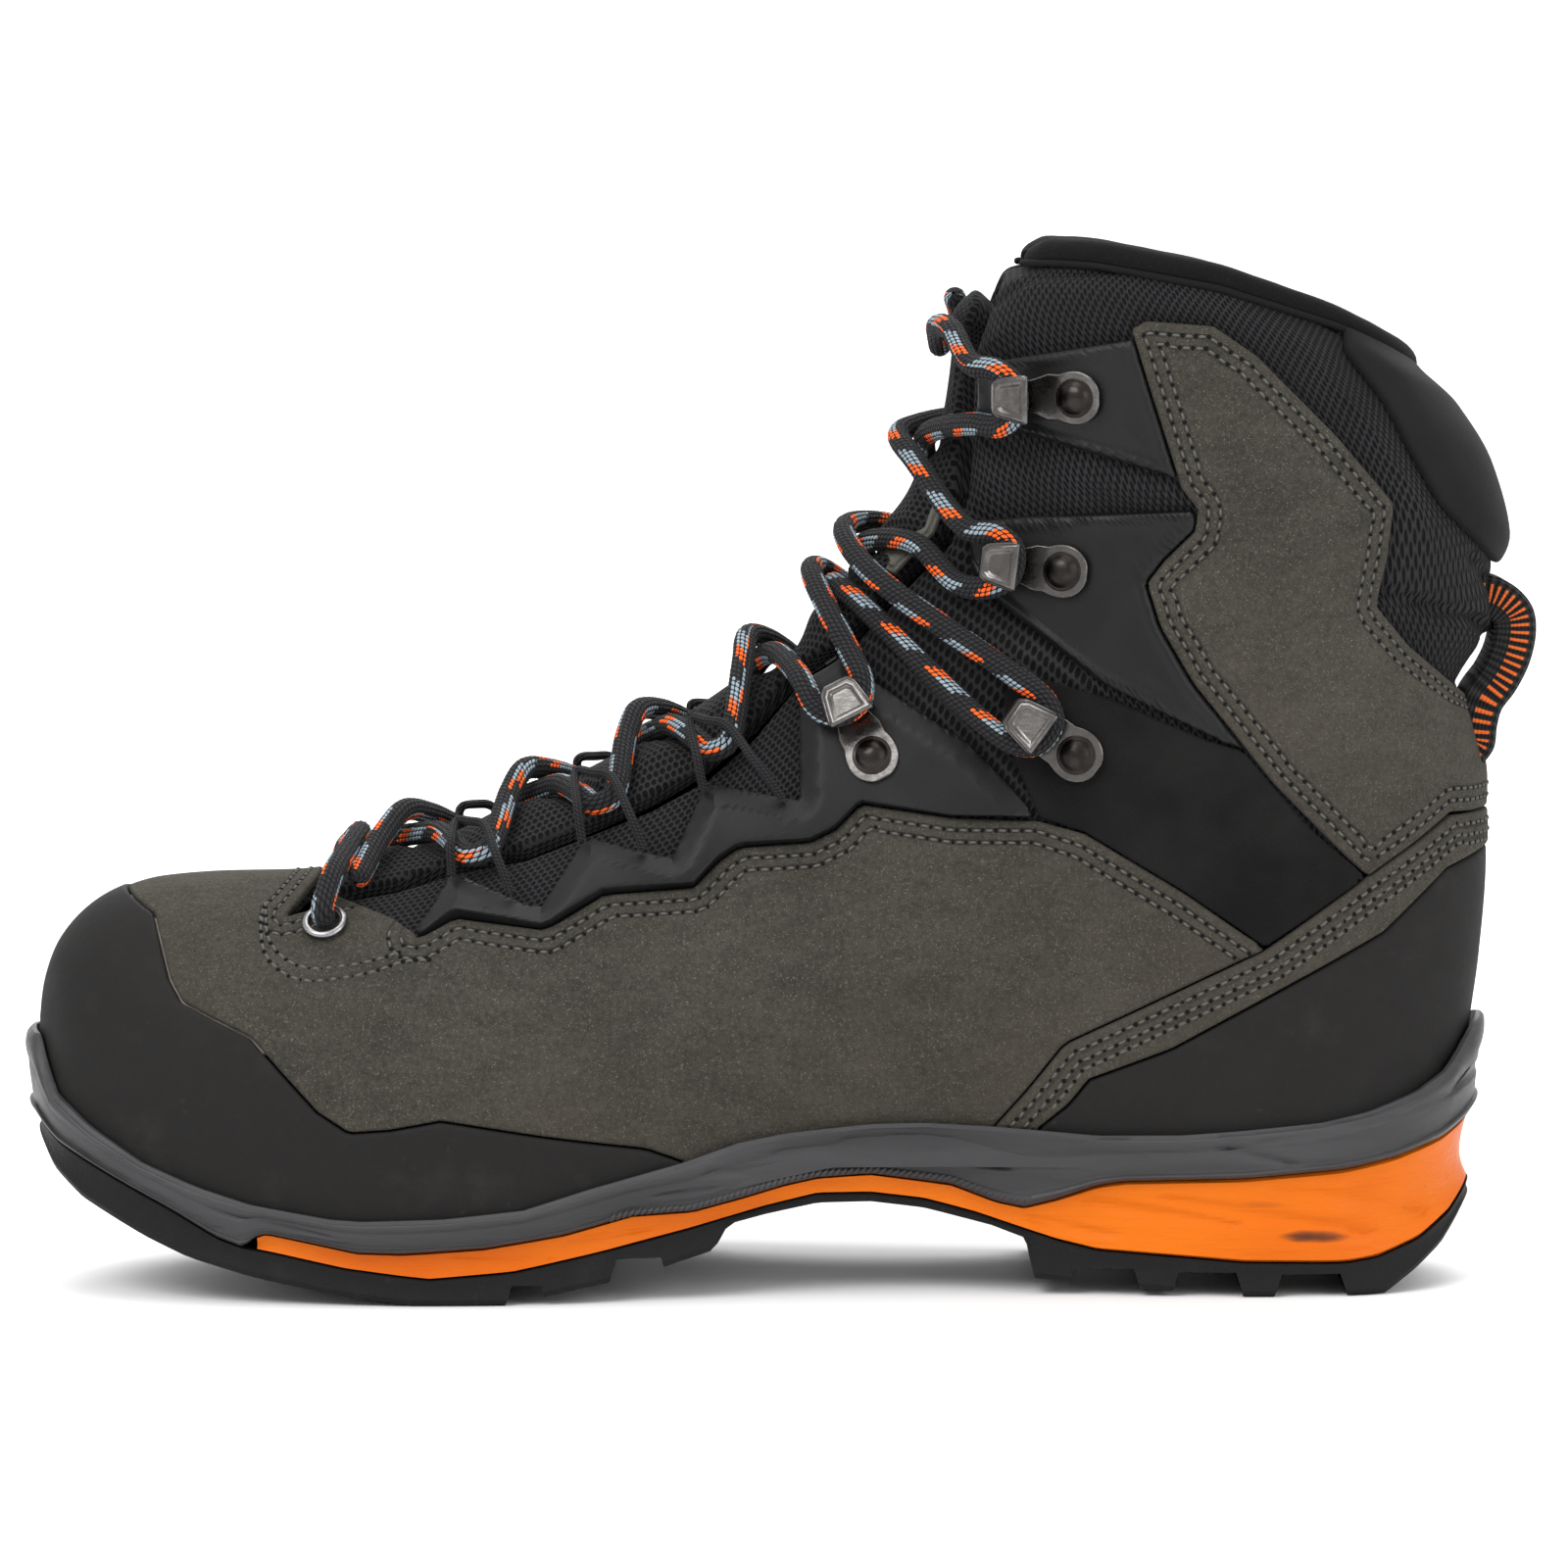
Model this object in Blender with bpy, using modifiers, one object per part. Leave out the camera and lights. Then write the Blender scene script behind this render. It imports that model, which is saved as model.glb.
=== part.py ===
"""Mid-height hiking boot, right foot: sole unit, layered upper, speed hooks, lace and liner.

Units inside the script are millimetres until a mesh is made; the meshes are in metres.
-X is the toe, +X the heel, -Y the medial (inner) side, +Z up, z = 0 is the ground.
The whole upper is cut from one lofted skin.  A point of the skin is (s, v): s is the number
of a section line, counted from the toe over the instep and up the shaft, and v runs round
that section from -1 (medial foot of the line) over 0 (its front) to +1 (lateral foot).
"""
import math

import bmesh
import bpy
import numpy as np
from mathutils import Matrix, Vector
from mathutils.bvhtree import BVHTree

# ---------------------------------------------------------------- driving dimensions, mm
SHIFT_X = -5.2          # brings the middle of the boot's length to x = 0
SHIFT_Y = -1.6          # and the middle of its width to y = 0
SKIN = 1.5              # thickness of the outer panels
UNDER = (-3.1, -1.9)    # inner and outer face of the layer beneath them
LINING = (-5.4, -3.4)   # inner and outer face of the lining at the foot
COLLAR_PAD = 4.0        # how much thicker the lining is at the ankle collar
SEAM = 0.22             # half of the gap where two panels meet
GAP = 0.35              # clearance between touching pieces
SEAT_DROP = 1.0         # the frame's seat lies this far under the upper's bottom edge
UPPER_INSET = 2.8       # the upper stands this far inside the sole's outline
FOOT_BULGE = 1.2        # the upper's side bulges this much over its bottom edge
LACE_RADIUS = 2.4
ROLL_RADIUS = 2.4       # the collar's rounded rim
ROLL_INSET = 4.6        # how far its middle lies inside the upper's outer face
LOOP_RADIUS = 0.95      # of the thin cord loops
HINGE_TONGUE = (-78.0, -6.0, 86.0)      # where the tongue is sewn in
HINGE_FOOTBED = (-138.0, -8.0, 37.0)    # the footbed's front edge

# plan outline of the sole: medial branch, then lateral branch, both from toe to heel
OUTLINE_MEDIAL = [
    (-152.7, -9), (-151, -20), (-145.5, -31), (-134, -40.5), (-115, -47.5), (-90, -51.5),
    (-62, -52.5), (-38, -50), (-12, -43), (12, -37), (36, -34.5), (60, -35.5), (85, -38),
    (108, -39), (127, -36), (141, -27.5), (150, -14.5), (152.7, 0)]
OUTLINE_LATERAL = [
    (-152.7, -9), (-151.5, 2), (-146.5, 14), (-136, 26), (-120, 37), (-98, 46.5), (-72, 53),
    (-45, 55.5), (-18, 54), (8, 50), (34, 45.5), (60, 42), (85, 40.5), (108, 39.5),
    (127, 36), (141, 27.5), (150, 14.5), (152.7, 0)]

# heights along the sole, as (x, z) points
TREAD = [
    (-152.7, 35.5), (-150, 31), (-146, 25.5), (-139.7, 20.4), (-125.9, 13.2), (-117, 9.3),
    (-103.8, 5.6), (-85.4, 1.9), (-71, 0), (-48, 0), (-42, 1.9), (-28.5, 4.5), (-19.4, 6.8),
    (-8.5, 10.1), (-5.5, 15.4), (2, 17.2), (13, 19.3), (24, 19.4), (35, 18), (49, 14.4),
    (56.5, 11.6), (57.8, 3.3), (78.6, 1.6), (98, 0), (131, 0), (137.6, 4.4), (143.4, 9),
    (148.2, 15), (152.7, 19)]
OUTSOLE_TOP = [
    (-152.7, 37), (-150, 35.5), (-144.7, 31.4), (-136, 27), (-120.3, 19.2), (-111, 13.8),
    (-106, 12), (-98.2, 10.5), (-84.4, 7.6), (-72.4, 6), (-66.9, 5.4), (-49.7, 6.8),
    (-31, 10.7), (-14.4, 14.6), (1.9, 18.9), (13, 21.3), (23.9, 21.3), (35.1, 19.9),
    (46, 17), (54.3, 14.2), (62.7, 11.4), (71, 9.4), (88.5, 8.1), (101.3, 7.1), (122.4, 6.8),
    (129.2, 7.7), (138.3, 11), (145.1, 15.6), (149.5, 20.5), (152.7, 23)]
MIDSOLE_TOP = [
    (-152.7, 37), (-150, 35.5), (-144.7, 31.4), (-136, 27), (-120.3, 19.2), (-111, 13.8),
    (-106, 12.8), (-100.5, 14.7), (-92.9, 13.2), (-81.7, 10.9), (-72.4, 10.7), (-55.7, 11.8),
    (-39.2, 14.4), (-25.4, 18), (-12.8, 18.4), (-2, 21), (6, 23.2), (13, 24.6), (23.9, 25.2),
    (40.7, 22.9), (49.9, 19.4), (55.9, 18.2), (62.7, 20), (71, 22.9), (76.6, 23.8),
    (101.3, 24.6), (122.4, 26.4), (132.9, 28.4), (143.4, 31.6), (148.8, 34.5), (152.7, 37)]
FRAME_TOP = [
    (-152.7, 54), (-150.5, 53.2), (-149, 48.5), (-146.3, 41.9), (-138.1, 35.6), (-126.5, 28.9),
    (-114.9, 24.3), (-103.8, 21), (-87.3, 18.2), (-80.7, 17.8), (-64.2, 18.3), (-47.5, 20),
    (-33.6, 24.2), (-14.9, 28.9), (-3.3, 32.8), (6, 34.5), (23.9, 36.3), (35, 36.5),
    (48.9, 35.7), (71, 33.8), (88.5, 34), (101.3, 35), (117.2, 36.5), (127.7, 38.6),
    (138.3, 42.1), (145.1, 45.8), (149.2, 50.5), (152.7, 56)]

# section lines of the upper: front end x, z; foot end x, z; centre line y; half widths of the
# leg, medial and lateral; where along the line it is widest; roundness of the front
SECTIONS = [
    (-149.9, 56.0, -149.9, 40.5, -9.0, 38.0, 42.0, 0.50, 2.0),
    (-149.0, 62.5, -148.8, 38.6, -9.0, 38.0, 42.0, 0.42, 2.1),
    (-146.6, 70.0, -146.0, 35.8, -8.8, 38.0, 42.0, 0.38, 2.2),
    (-141.3, 77.2, -140.5, 32.3, -8.5, 38.0, 42.0, 0.35, 2.3),
    (-134.0, 82.2, -133.0, 28.5, -8.2, 38.0, 42.0, 0.33, 2.4),
    (-124.5, 85.2, -123.5, 24.0, -8.0, 38.0, 42.0, 0.32, 2.5),
    (-111.0, 86.2, -110.5, 18.5, -7.5, 38.0, 42.0, 0.31, 2.5),
    (-97.0, 86.4, -97.0, 16.2, -7.0, 38.0, 42.0, 0.30, 2.4),
    (-84.0, 88.0, -84.0, 14.8, -6.4, 38.0, 42.0, 0.30, 2.3),
    (-68.0, 91.5, -68.0, 14.4, -5.6, 38.0, 42.0, 0.30, 2.2),
    (-50.0, 97.5, -50.0, 15.9, -4.8, 38.0, 42.0, 0.29, 2.1),
    (-30.0, 107.0, -28.0, 21.0, -4.0, 38.0, 42.0, 0.27, 2.0),
    (-11.0, 118.0, -5.0, 24.0, -3.2, 37.0, 43.0, 0.26, 2.0),
    (3.0, 128.0, 16.0, 28.2, -2.4, 36.0, 43.0, 0.26, 2.0),
    (10.0, 134.0, 42.0, 28.2, -1.8, 35.5, 42.0, 0.27, 2.0),
    (16.0, 141.0, 70.0, 28.0, -1.2, 35.5, 40.0, 0.30, 2.0),
    (21.5, 147.8, 97.0, 28.7, -0.8, 36.5, 39.0, 0.34, 2.0),
    (26.5, 154.0, 120.0, 30.2, -0.5, 37.0, 38.5, 0.38, 2.0),
    (30.5, 158.8, 137.0, 33.4, -0.3, 37.5, 38.5, 0.42, 2.0),
    (33.0, 162.0, 146.5, 36.8, -0.1, 38.0, 38.5, 0.44, 2.0),
    (34.6, 164.6, 149.9, 39.8, 0.0, 38.0, 38.5, 0.45, 2.0),
    (36.2, 168.0, 150.3, 50.0, 0.0, 38.5, 38.5, 0.46, 2.0),
    (37.8, 172.5, 152.6, 68.0, 0.0, 38.5, 38.5, 0.46, 2.0),
    (39.0, 178.0, 154.0, 88.0, 0.0, 38.5, 38.5, 0.47, 2.0),
    (39.8, 183.5, 153.4, 106.0, 0.0, 38.5, 38.5, 0.48, 2.0),
    (40.3, 188.5, 149.8, 122.0, 0.0, 39.0, 39.0, 0.48, 2.1),
    (40.7, 193.0, 149.0, 134.0, 0.0, 40.0, 40.0, 0.49, 2.1),
    (41.0, 197.0, 153.0, 144.0, 0.0, 41.0, 41.0, 0.50, 2.2),
    (41.4, 201.0, 157.2, 156.0, 0.0, 42.0, 42.0, 0.50, 2.2),
    (43.0, 205.5, 153.5, 171.5, 0.0, 42.0, 42.0, 0.50, 2.2),
    (46.5, 210.0, 146.5, 183.5, 0.0, 41.5, 41.5, 0.50, 2.2),
    (51.0, 213.8, 139.0, 192.8, 0.0, 40.5, 40.5, 0.50, 2.2)]
LEG_FROM, LEG_TO = 11.0, 14.0     # section lines where the foot's widths give way to the leg's
HEEL_TIP = 20.0                   # from this line on, a section closes round the heel
TOP = len(SECTIONS) - 1.0

# panel outlines in side view, (x, z); they run past the silhouette where a panel wraps it
THROAT = [
    (-97, 79.2), (-93, 80.2), (-86.7, 83), (-75, 85), (-62.7, 88.8), (-48, 91.6),
    (-34.9, 96.6), (-22, 101.5), (-10.3, 107.8), (-1, 116), (8.5, 127.6), (18.4, 133.6),
    (30, 146), (39.5, 156), (43.2, 166), (44.6, 196), (48, 206), (54, 222), (20, 222),
    (-60, 120), (-90.5, 92), (-91, 86.6)]
SUEDE_EDGE = [
    (-97, 79.2), (-93, 80.2), (-86.7, 83), (-74.9, 79.2), (-68.9, 75.7), (-61.9, 79.4),
    (-43.3, 77.2), (-38.2, 80.1), (-31.2, 84.2), (-12.8, 85.4), (-7.4, 90.8), (-3.3, 93.5),
    (11.3, 94.5), (16.5, 97), (21.9, 102.4), (40.7, 99.7)]
ZIGZAG = [
    (-70.4, 75.5), (-62.7, 87.5), (-44.6, 80.9), (-34.9, 94.9), (-17.3, 91), (-10.3, 105.9),
    (9.1, 103), (9.1, 126.1), (18.4, 131.7), (26, 126.5), (44.2, 115.1), (53, 106.1), (58.4, 99.7)]
TOE_RAND = [
    (-131.7, 96), (-131.7, 83.2), (-124.8, 79.2), (-123.2, 74.5), (-120.9, 66.9), (-118.2, 62.3),
    (-111.6, 59), (-103.8, 55.3), (-98.2, 49.1), (-90, 40.2), (-83.4, 35.9), (-74.9, 36.5),
    (-64.4, 38.4), (-43.3, 34.9), (-22.3, 31.8), (-14.9, 28.9), (-14.9, -5), (-175, -5), (-175, 96)]
BAND_TOP = [
    (44, 15), (49.7, 35.5), (56.5, 43.3), (64, 52.8), (105, 72.2), (127.1, 87.5),
    (144.9, 99.3), (175, 100)]
BAND_BOTTOM = [
    (55, 15), (58.6, 34.9), (65, 40.2), (69.1, 45.4), (86.1, 51.8), (111.2, 65.4),
    (130.2, 75.5), (143.8, 88.1), (153.9, 91.8), (175, 91.8)]
ANKLE_WRAP = [
    (58.6, 128.6), (51.2, 125.5), (51.8, 115.2), (58.4, 99.7), (68.1, 96.6), (88.5, 84.4),
    (105.4, 72.8), (127.1, 87.1), (114.3, 98), (100.7, 113.9), (93.3, 116), (71.2, 125.1)]
SHAFT_PANEL = [
    (77, 200.5), (80, 202.4), (93.9, 201.4), (102.8, 195.4), (119.7, 178.7), (131.9, 164.5),
    (130.8, 153.9), (128.6, 143.4), (135.6, 135), (149.2, 123.4), (152.5, 118), (175, 116),
    (175, 98), (144.9, 99.7), (132.3, 90.8), (127.1, 87.1), (121.8, 91.8), (107.1, 106.5),
    (90.2, 127.5), (83.4, 139.1), (80.5, 148.2), (84, 152.9), (90.2, 159.1), (90.8, 163.4),
    (87.5, 167.6), (84.4, 177.1), (80.7, 188.6)]
WING_UPPER = [
    (46, 180.8), (46.6, 193.3), (57.6, 195.3), (80, 199), (92, 190), (91, 168.5), (60.7, 177.1)]
WING_MIDDLE = [
    (44.6, 149.6), (45.2, 160.6), (56.5, 161.8), (94, 163.6), (95, 140), (101, 113.5),
    (92, 117.5), (71, 127.5), (49.1, 144.4)]
ACHILLES_PAD = [
    (121.8, 196), (130.2, 185.5), (135.6, 175), (141.8, 164.5), (150.2, 156), (156, 150.2),
    (175, 148), (175, 215), (121.8, 215)]
CUFF = [
    (14, 139), (24, 97), (60, 92), (106, 75), (126, 90), (146, 102), (175, 102), (175, 225), (14, 225)]
GUSSET = [(-100, 73), (-70, 69), (-44, 71), (-13, 79), (16, 89), (21, 97), (12, 137), (-100, 137)]
TOE_PUFF = [(-175, -5), (-101, -5), (-101, 70), (-112, 100), (-175, 100)]
COUNTER = [(88, -5), (88, 46), (120, 66), (138, 84), (175, 90), (175, -5)]


# ---------------------------------------------------------------- curves and sampling
def spline(points, count, closed=False):
    """Centripetal Catmull-Rom curve through the points, count samples a span."""
    pts = np.asarray(points, float)
    if closed:
        pts = np.vstack([pts[-1], pts, pts[:2]])
    else:
        pts = np.vstack([2 * pts[0] - pts[1], pts, 2 * pts[-1] - pts[-2]])
    samples = []
    for a, b, c, d in zip(pts[:-3], pts[1:-2], pts[2:-1], pts[3:]):
        t1 = math.sqrt(np.linalg.norm(b - a))
        t2 = t1 + math.sqrt(np.linalg.norm(c - b))
        t3 = t2 + math.sqrt(np.linalg.norm(d - c))
        for t in t1 + (t2 - t1) * np.arange(count) / count:
            ab = (a * (t1 - t) + b * t) / t1
            bc = (b * (t2 - t) + c * (t - t1)) / (t2 - t1)
            cd = (c * (t3 - t) + d * (t - t2)) / (t3 - t2)
            abc = (ab * (t2 - t) + bc * t) / t2
            bcd = (bc * (t3 - t) + cd * (t - t1)) / (t3 - t1)
            samples.append((abc * (t2 - t) + bcd * (t - t1)) / (t2 - t1))
    if not closed:
        samples.append(pts[-2])
    return np.array(samples)


def height(points, x):
    """Height of an (x, z) outline at x."""
    table = np.asarray(points, float)
    return np.interp(x, table[:, 0], table[:, 1])


def smoothstep(x, low, high):
    t = np.clip((x - low) / (high - low), 0.0, 1.0)
    return t * t * (3.0 - 2.0 * t)


def monotone_slopes(table):
    """Slopes of a piecewise cubic that never overshoots its rows."""
    step = np.diff(table, axis=0)
    slopes = np.zeros_like(table)
    before, after = step[:-1], step[1:]
    same = before * after > 0
    mean = np.where(same, 2 * before * after / np.where(same, before + after, 1.0), 0.0)
    slopes[1:-1] = mean
    slopes[0], slopes[-1] = step[0], step[-1]
    return slopes


SECTION_TABLE = np.array(SECTIONS)
SECTION_SLOPES = monotone_slopes(SECTION_TABLE)


def section_row(s):
    """The section table's values at a real line number."""
    i = int(min(max(math.floor(s), 0), len(SECTIONS) - 2))
    t = s - i
    a, b = SECTION_TABLE[i], SECTION_TABLE[i + 1]
    ma, mb = SECTION_SLOPES[i], SECTION_SLOPES[i + 1]
    return ((2 * t ** 3 - 3 * t ** 2 + 1) * a + (t ** 3 - 2 * t ** 2 + t) * ma
            + (3 * t ** 2 - 2 * t ** 3) * b + (t ** 3 - t ** 2) * mb)


# ---------------------------------------------------------------- plan outline of the sole
OUTLINE = spline(OUTLINE_MEDIAL + OUTLINE_LATERAL[-2:0:-1], 16, closed=True)


def outline_normals(loop):
    """Outward normals of the closed outline in plan."""
    tangent = np.roll(loop, -1, axis=0) - np.roll(loop, 1, axis=0)
    tangent /= np.linalg.norm(tangent, axis=1)[:, None]
    return np.stack([tangent[:, 1], -tangent[:, 0]], axis=1)


NORMALS = outline_normals(OUTLINE)
if np.sum(OUTLINE * NORMALS) < 0:
    NORMALS = -NORMALS
HEEL_INDEX = 16 * (len(OUTLINE_MEDIAL) - 1)


def branches(inset):
    """The outline moved inwards: its medial and lateral halves, each from toe to heel."""
    loop = OUTLINE - NORMALS * inset
    medial = loop[:HEEL_INDEX + 1]
    lateral = np.vstack([loop[HEEL_INDEX:], loop[:1]])[::-1]
    return medial, lateral


UPPER_MEDIAL, UPPER_LATERAL = branches(UPPER_INSET)


def plan_half(x, side, centre):
    """Half width of the upper's plan at x, from its centre line."""
    branch = UPPER_MEDIAL if side < 0 else UPPER_LATERAL
    order = np.maximum.accumulate(branch[:, 0])
    y = np.interp(x, order, branch[:, 1])
    if x <= branch[0, 0] or x >= branch[-1, 0]:
        return 0.0
    return max(side * (y - centre), 0.0)


# ---------------------------------------------------------------- the lofted skin

def section_line(s, side):
    """Points of one half section from its front (v = 0) to its foot (v = 1), and their v."""
    fx, fz, bx, bz, centre, leg_medial, leg_lateral, widest, crown = section_row(s)
    leg = leg_medial if side < 0 else leg_lateral
    middle = bx + (fx - bx) * widest
    tip = smoothstep(s, 0.0, 0.6)
    foot_wide = plan_half(middle, side, centre) + FOOT_BULGE * smoothstep(s, 2.0, 7.0)
    wide = foot_wide * tip ** 0.5 * (1 - smoothstep(s, LEG_FROM, LEG_TO)) if s < LEG_TO else 0.0
    wide += leg * smoothstep(s, LEG_FROM, LEG_TO)
    wide = max(wide, 1e-4)
    base = plan_half(bx, side, centre) if s < HEEL_TIP else 0.0
    ratio = min(base / wide, 0.97) if s > 0 else 0.0
    t = np.linspace(0.0, 1.0, 33)
    t = 0.5 - 0.5 * np.cos(math.pi * t)
    above = np.clip((t - widest) / (1 - widest), 0, 1)
    below = np.clip((widest - t) / widest, 0, 1)
    half = np.where(t >= widest, np.sqrt(np.clip(1 - above ** crown, 0, 1)),
                    np.sqrt(np.clip(1 - (1 - ratio ** 2) * below ** 2.2, 0, 1)))
    points = np.stack([bx + (fx - bx) * t, centre + side * wide * half, bz + (fz - bz) * t], axis=1)
    points = points[::-1]
    length = np.concatenate([[0], np.cumsum(np.linalg.norm(np.diff(points, axis=0), axis=1))])
    return points, length / length[-1], t[::-1]


def skin_point(s, v):
    """The point of the skin at section line s and position v round it."""
    points, places, _ = section_line(s, -1 if v < 0 else 1)
    return np.array([np.interp(abs(v), places, points[:, k]) for k in range(3)])


def skin_frame(s, v):
    """Point and outward normal of the skin."""
    ds, dv = 0.05, 0.01
    along = skin_point(min(s + ds, TOP), v) - skin_point(max(s - ds, 0), v)
    if abs(v) < 0.012:
        around = skin_point(s, 0.02) - skin_point(s, -0.02)
    else:
        low, high = max(abs(v) - dv, 0.001), min(abs(v) + dv, 1.0)
        around = (skin_point(s, math.copysign(high, v)) - skin_point(s, math.copysign(low, v)))
        around *= math.copysign(1, v)
    normal = np.cross(along, around)
    normal /= np.linalg.norm(normal)
    place = skin_point(s, v)
    centre = skin_point(s, 0.0) * 0.45 + skin_point(s, 1.0) * 0.275 + skin_point(s, -1.0) * 0.275
    if np.dot(normal, place - centre) < 0:
        normal = -normal
    return place, normal


def skin_at(x, z, side):
    """(s, v) of the skin where it is seen at x, z from one side."""
    low, high = 0.0, TOP

    def offside(s):
        fx, fz, bx, bz = section_row(s)[:4]
        return (fx - bx) * (z - bz) - (fz - bz) * (x - bx)

    for _ in range(40):
        middle = 0.5 * (low + high)
        if offside(middle) > 0:
            high = middle
        else:
            low = middle
    s = 0.5 * (low + high)
    fx, fz, bx, bz = section_row(s)[:4]
    t = ((x - bx) * (fx - bx) + (z - bz) * (fz - bz)) / ((fx - bx) ** 2 + (fz - bz) ** 2)
    _, places, steps = section_line(s, side)
    v = np.interp(min(max(t, 0.0), 1.0), steps[::-1], places[::-1])
    return s, side * v


def build_grid(lines, across):
    """Triangulated sheet of the skin: points, normals, line numbers and triangles."""
    points, numbers = [], []
    columns = np.linspace(-1.0, 1.0, across + 1)
    for s in lines:
        for side, part in ((-1, columns[columns < 0]), (1, columns[columns >= 0])):
            line, places, _ = section_line(s, side)
            for v in part:
                points.append([np.interp(abs(v), places, line[:, k]) for k in range(3)])
                numbers.append(s)
    points = np.array(points)
    numbers = np.array(numbers)
    width = across + 1
    triangles = []
    for i in range(len(lines) - 1):
        for j in range(across):
            a, b = i * width + j, i * width + j + 1
            c, d = a + width, b + width
            if j < across // 2:
                triangles += [(a, b, d), (a, d, c)]
            else:
                triangles += [(a, b, c), (b, d, c)]
    # weld the toe tip and the back of the heel, where both halves of a section meet
    keep = np.arange(len(points))
    for i, s in enumerate(lines):
        for j in range(across // 2):
            left, right = i * width + j, i * width + across - j
            if np.linalg.norm(points[left] - points[right]) < 0.02:
                keep[right] = left
    triangles = [tuple(int(keep[v]) for v in t) for t in triangles]
    folded = {}
    for t in triangles:
        folded[tuple(sorted(t))] = folded.get(tuple(sorted(t)), 0) + 1
    triangles = np.array([t for t in triangles if len(set(t)) == 3 and folded[tuple(sorted(t))] == 1])
    corner = points[triangles]
    face = np.cross(corner[:, 1] - corner[:, 0], corner[:, 2] - corner[:, 0])
    area = np.linalg.norm(face, axis=1)
    triangles = triangles[area > 0.02]
    face = face[area > 0.02]
    normals = np.zeros_like(points)
    for k in range(3):
        np.add.at(normals, triangles[:, k], face)
    size = np.linalg.norm(normals, axis=1)
    normals[size > 0] /= size[size > 0][:, None]
    return points, normals, numbers, triangles


def refined(values, triangles):
    """Every triangle cut flat into four, with the values at the new points."""
    edges = np.concatenate([triangles[:, [0, 1]], triangles[:, [1, 2]], triangles[:, [2, 0]]])
    pairs, index = np.unique(np.sort(edges, axis=1), axis=0, return_inverse=True)
    index = index.reshape(3, -1) + len(values)
    middles = 0.5 * (values[pairs[:, 0]] + values[pairs[:, 1]])
    (a, b, c), (ab, bc, ca) = triangles.T, index
    corners = [(a, ab, ca), (ab, b, bc), (ca, bc, c), (ab, bc, ca)]
    return np.vstack([values, middles]), np.concatenate([np.stack(t, axis=1) for t in corners])


LINES = np.concatenate([np.arange(0.0, 6.0), np.linspace(6.0, TOP, 26)])
BASE_POINTS, BASE_OUTWARD, BASE_NUMBERS, BASE_TRIANGLES = build_grid(LINES, 18)
HEART = np.array([60.0, 0.0, 90.0])
if np.mean(np.sum(BASE_OUTWARD * (BASE_POINTS - HEART), axis=1)) < 0:
    BASE_OUTWARD = -BASE_OUTWARD
    BASE_TRIANGLES = BASE_TRIANGLES[:, ::-1]
# the lining's inner face is padded round the ankle collar, and the tongue's up its length
BASE_LINING = LINING[0] - COLLAR_PAD * smoothstep(BASE_POINTS[:, 2], 120.0, 165.0)
BASE_TONGUE = -4.6 - 1.5 * smoothstep(BASE_NUMBERS, 14.0, 20.0)

# The same flat facets in smaller pieces, so that the outer panels' outlines are cut sharply.
# The coarse facets use the first of the fine points.
FINE = np.column_stack([BASE_POINTS, BASE_OUTWARD, BASE_NUMBERS, BASE_LINING, BASE_TONGUE])
FINE, FINE_TRIANGLES = refined(FINE, BASE_TRIANGLES)
POINTS, OUTWARD = FINE[:, :3], FINE[:, 3:6]
NUMBERS, LINING_INNER, TONGUE_INNER = FINE[:, 6:].T


# ---------------------------------------------------------------- meshes and materials
def to_metres(points):
    pts = np.asarray(points, float).reshape(-1, 3)
    return (pts + np.array([SHIFT_X, SHIFT_Y, 0.0])) * 0.001


def clear_scene():
    for thing in list(bpy.data.objects):
        bpy.data.objects.remove(thing, do_unlink=True)


def make_collection(name):
    group = bpy.data.collections.new(name)
    bpy.context.scene.collection.children.link(group)
    return group


def material(name, colour, roughness, metallic=0.0):
    made = bpy.data.materials.get(name)
    if made is None:
        made = bpy.data.materials.new(name)
        made.use_nodes = True
        shader = made.node_tree.nodes["Principled BSDF"]
        shader.inputs["Base Color"].default_value = (*colour, 1.0)
        shader.inputs["Roughness"].default_value = roughness
        shader.inputs["Metallic"].default_value = metallic
    return made


FINISHES = {
    "suede": ((0.105, 0.095, 0.075), 0.95, 0.0),
    "rand_rubber": ((0.024, 0.022, 0.021), 0.75, 0.0),
    "frame_grey": ((0.065, 0.065, 0.067), 0.5, 0.0),
    "foam_orange": ((0.9, 0.2, 0.012), 0.45, 0.0),
    "tread_rubber": ((0.016, 0.016, 0.017), 0.7, 0.0),
    "mesh_black": ((0.012, 0.012, 0.013), 0.9, 0.0),
    "nubuck_black": ((0.02, 0.018, 0.017), 0.85, 0.0),
    "moulded_black": ((0.018, 0.018, 0.019), 0.45, 0.0),
    "softshell": ((0.011, 0.011, 0.012), 0.6, 0.0),
    "lining_fabric": ((0.03, 0.03, 0.033), 0.95, 0.0),
    "board_brown": ((0.3, 0.2, 0.1), 0.9, 0.0),
    "shank_plastic": ((0.05, 0.05, 0.06), 0.4, 0.0),
    "stiffener": ((0.55, 0.5, 0.42), 0.8, 0.0),
    "footbed_fabric": ((0.05, 0.05, 0.055), 0.95, 0.0),
    "hook_metal": ((0.2, 0.18, 0.17), 0.32, 1.0),
    "eyelet_metal": ((0.55, 0.55, 0.56), 0.25, 1.0),
    "lace_cord": ((0.02, 0.02, 0.022), 0.85, 0.0),
    "webbing": ((0.02, 0.018, 0.017), 0.8, 0.0),
}


def add_object(name, mesh, finish, group):
    made = bpy.data.objects.new(name, mesh)
    mesh.materials.clear()
    mesh.materials.append(material(name + "_" + finish, *FINISHES[finish]))
    group.objects.link(made)
    return made


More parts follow.
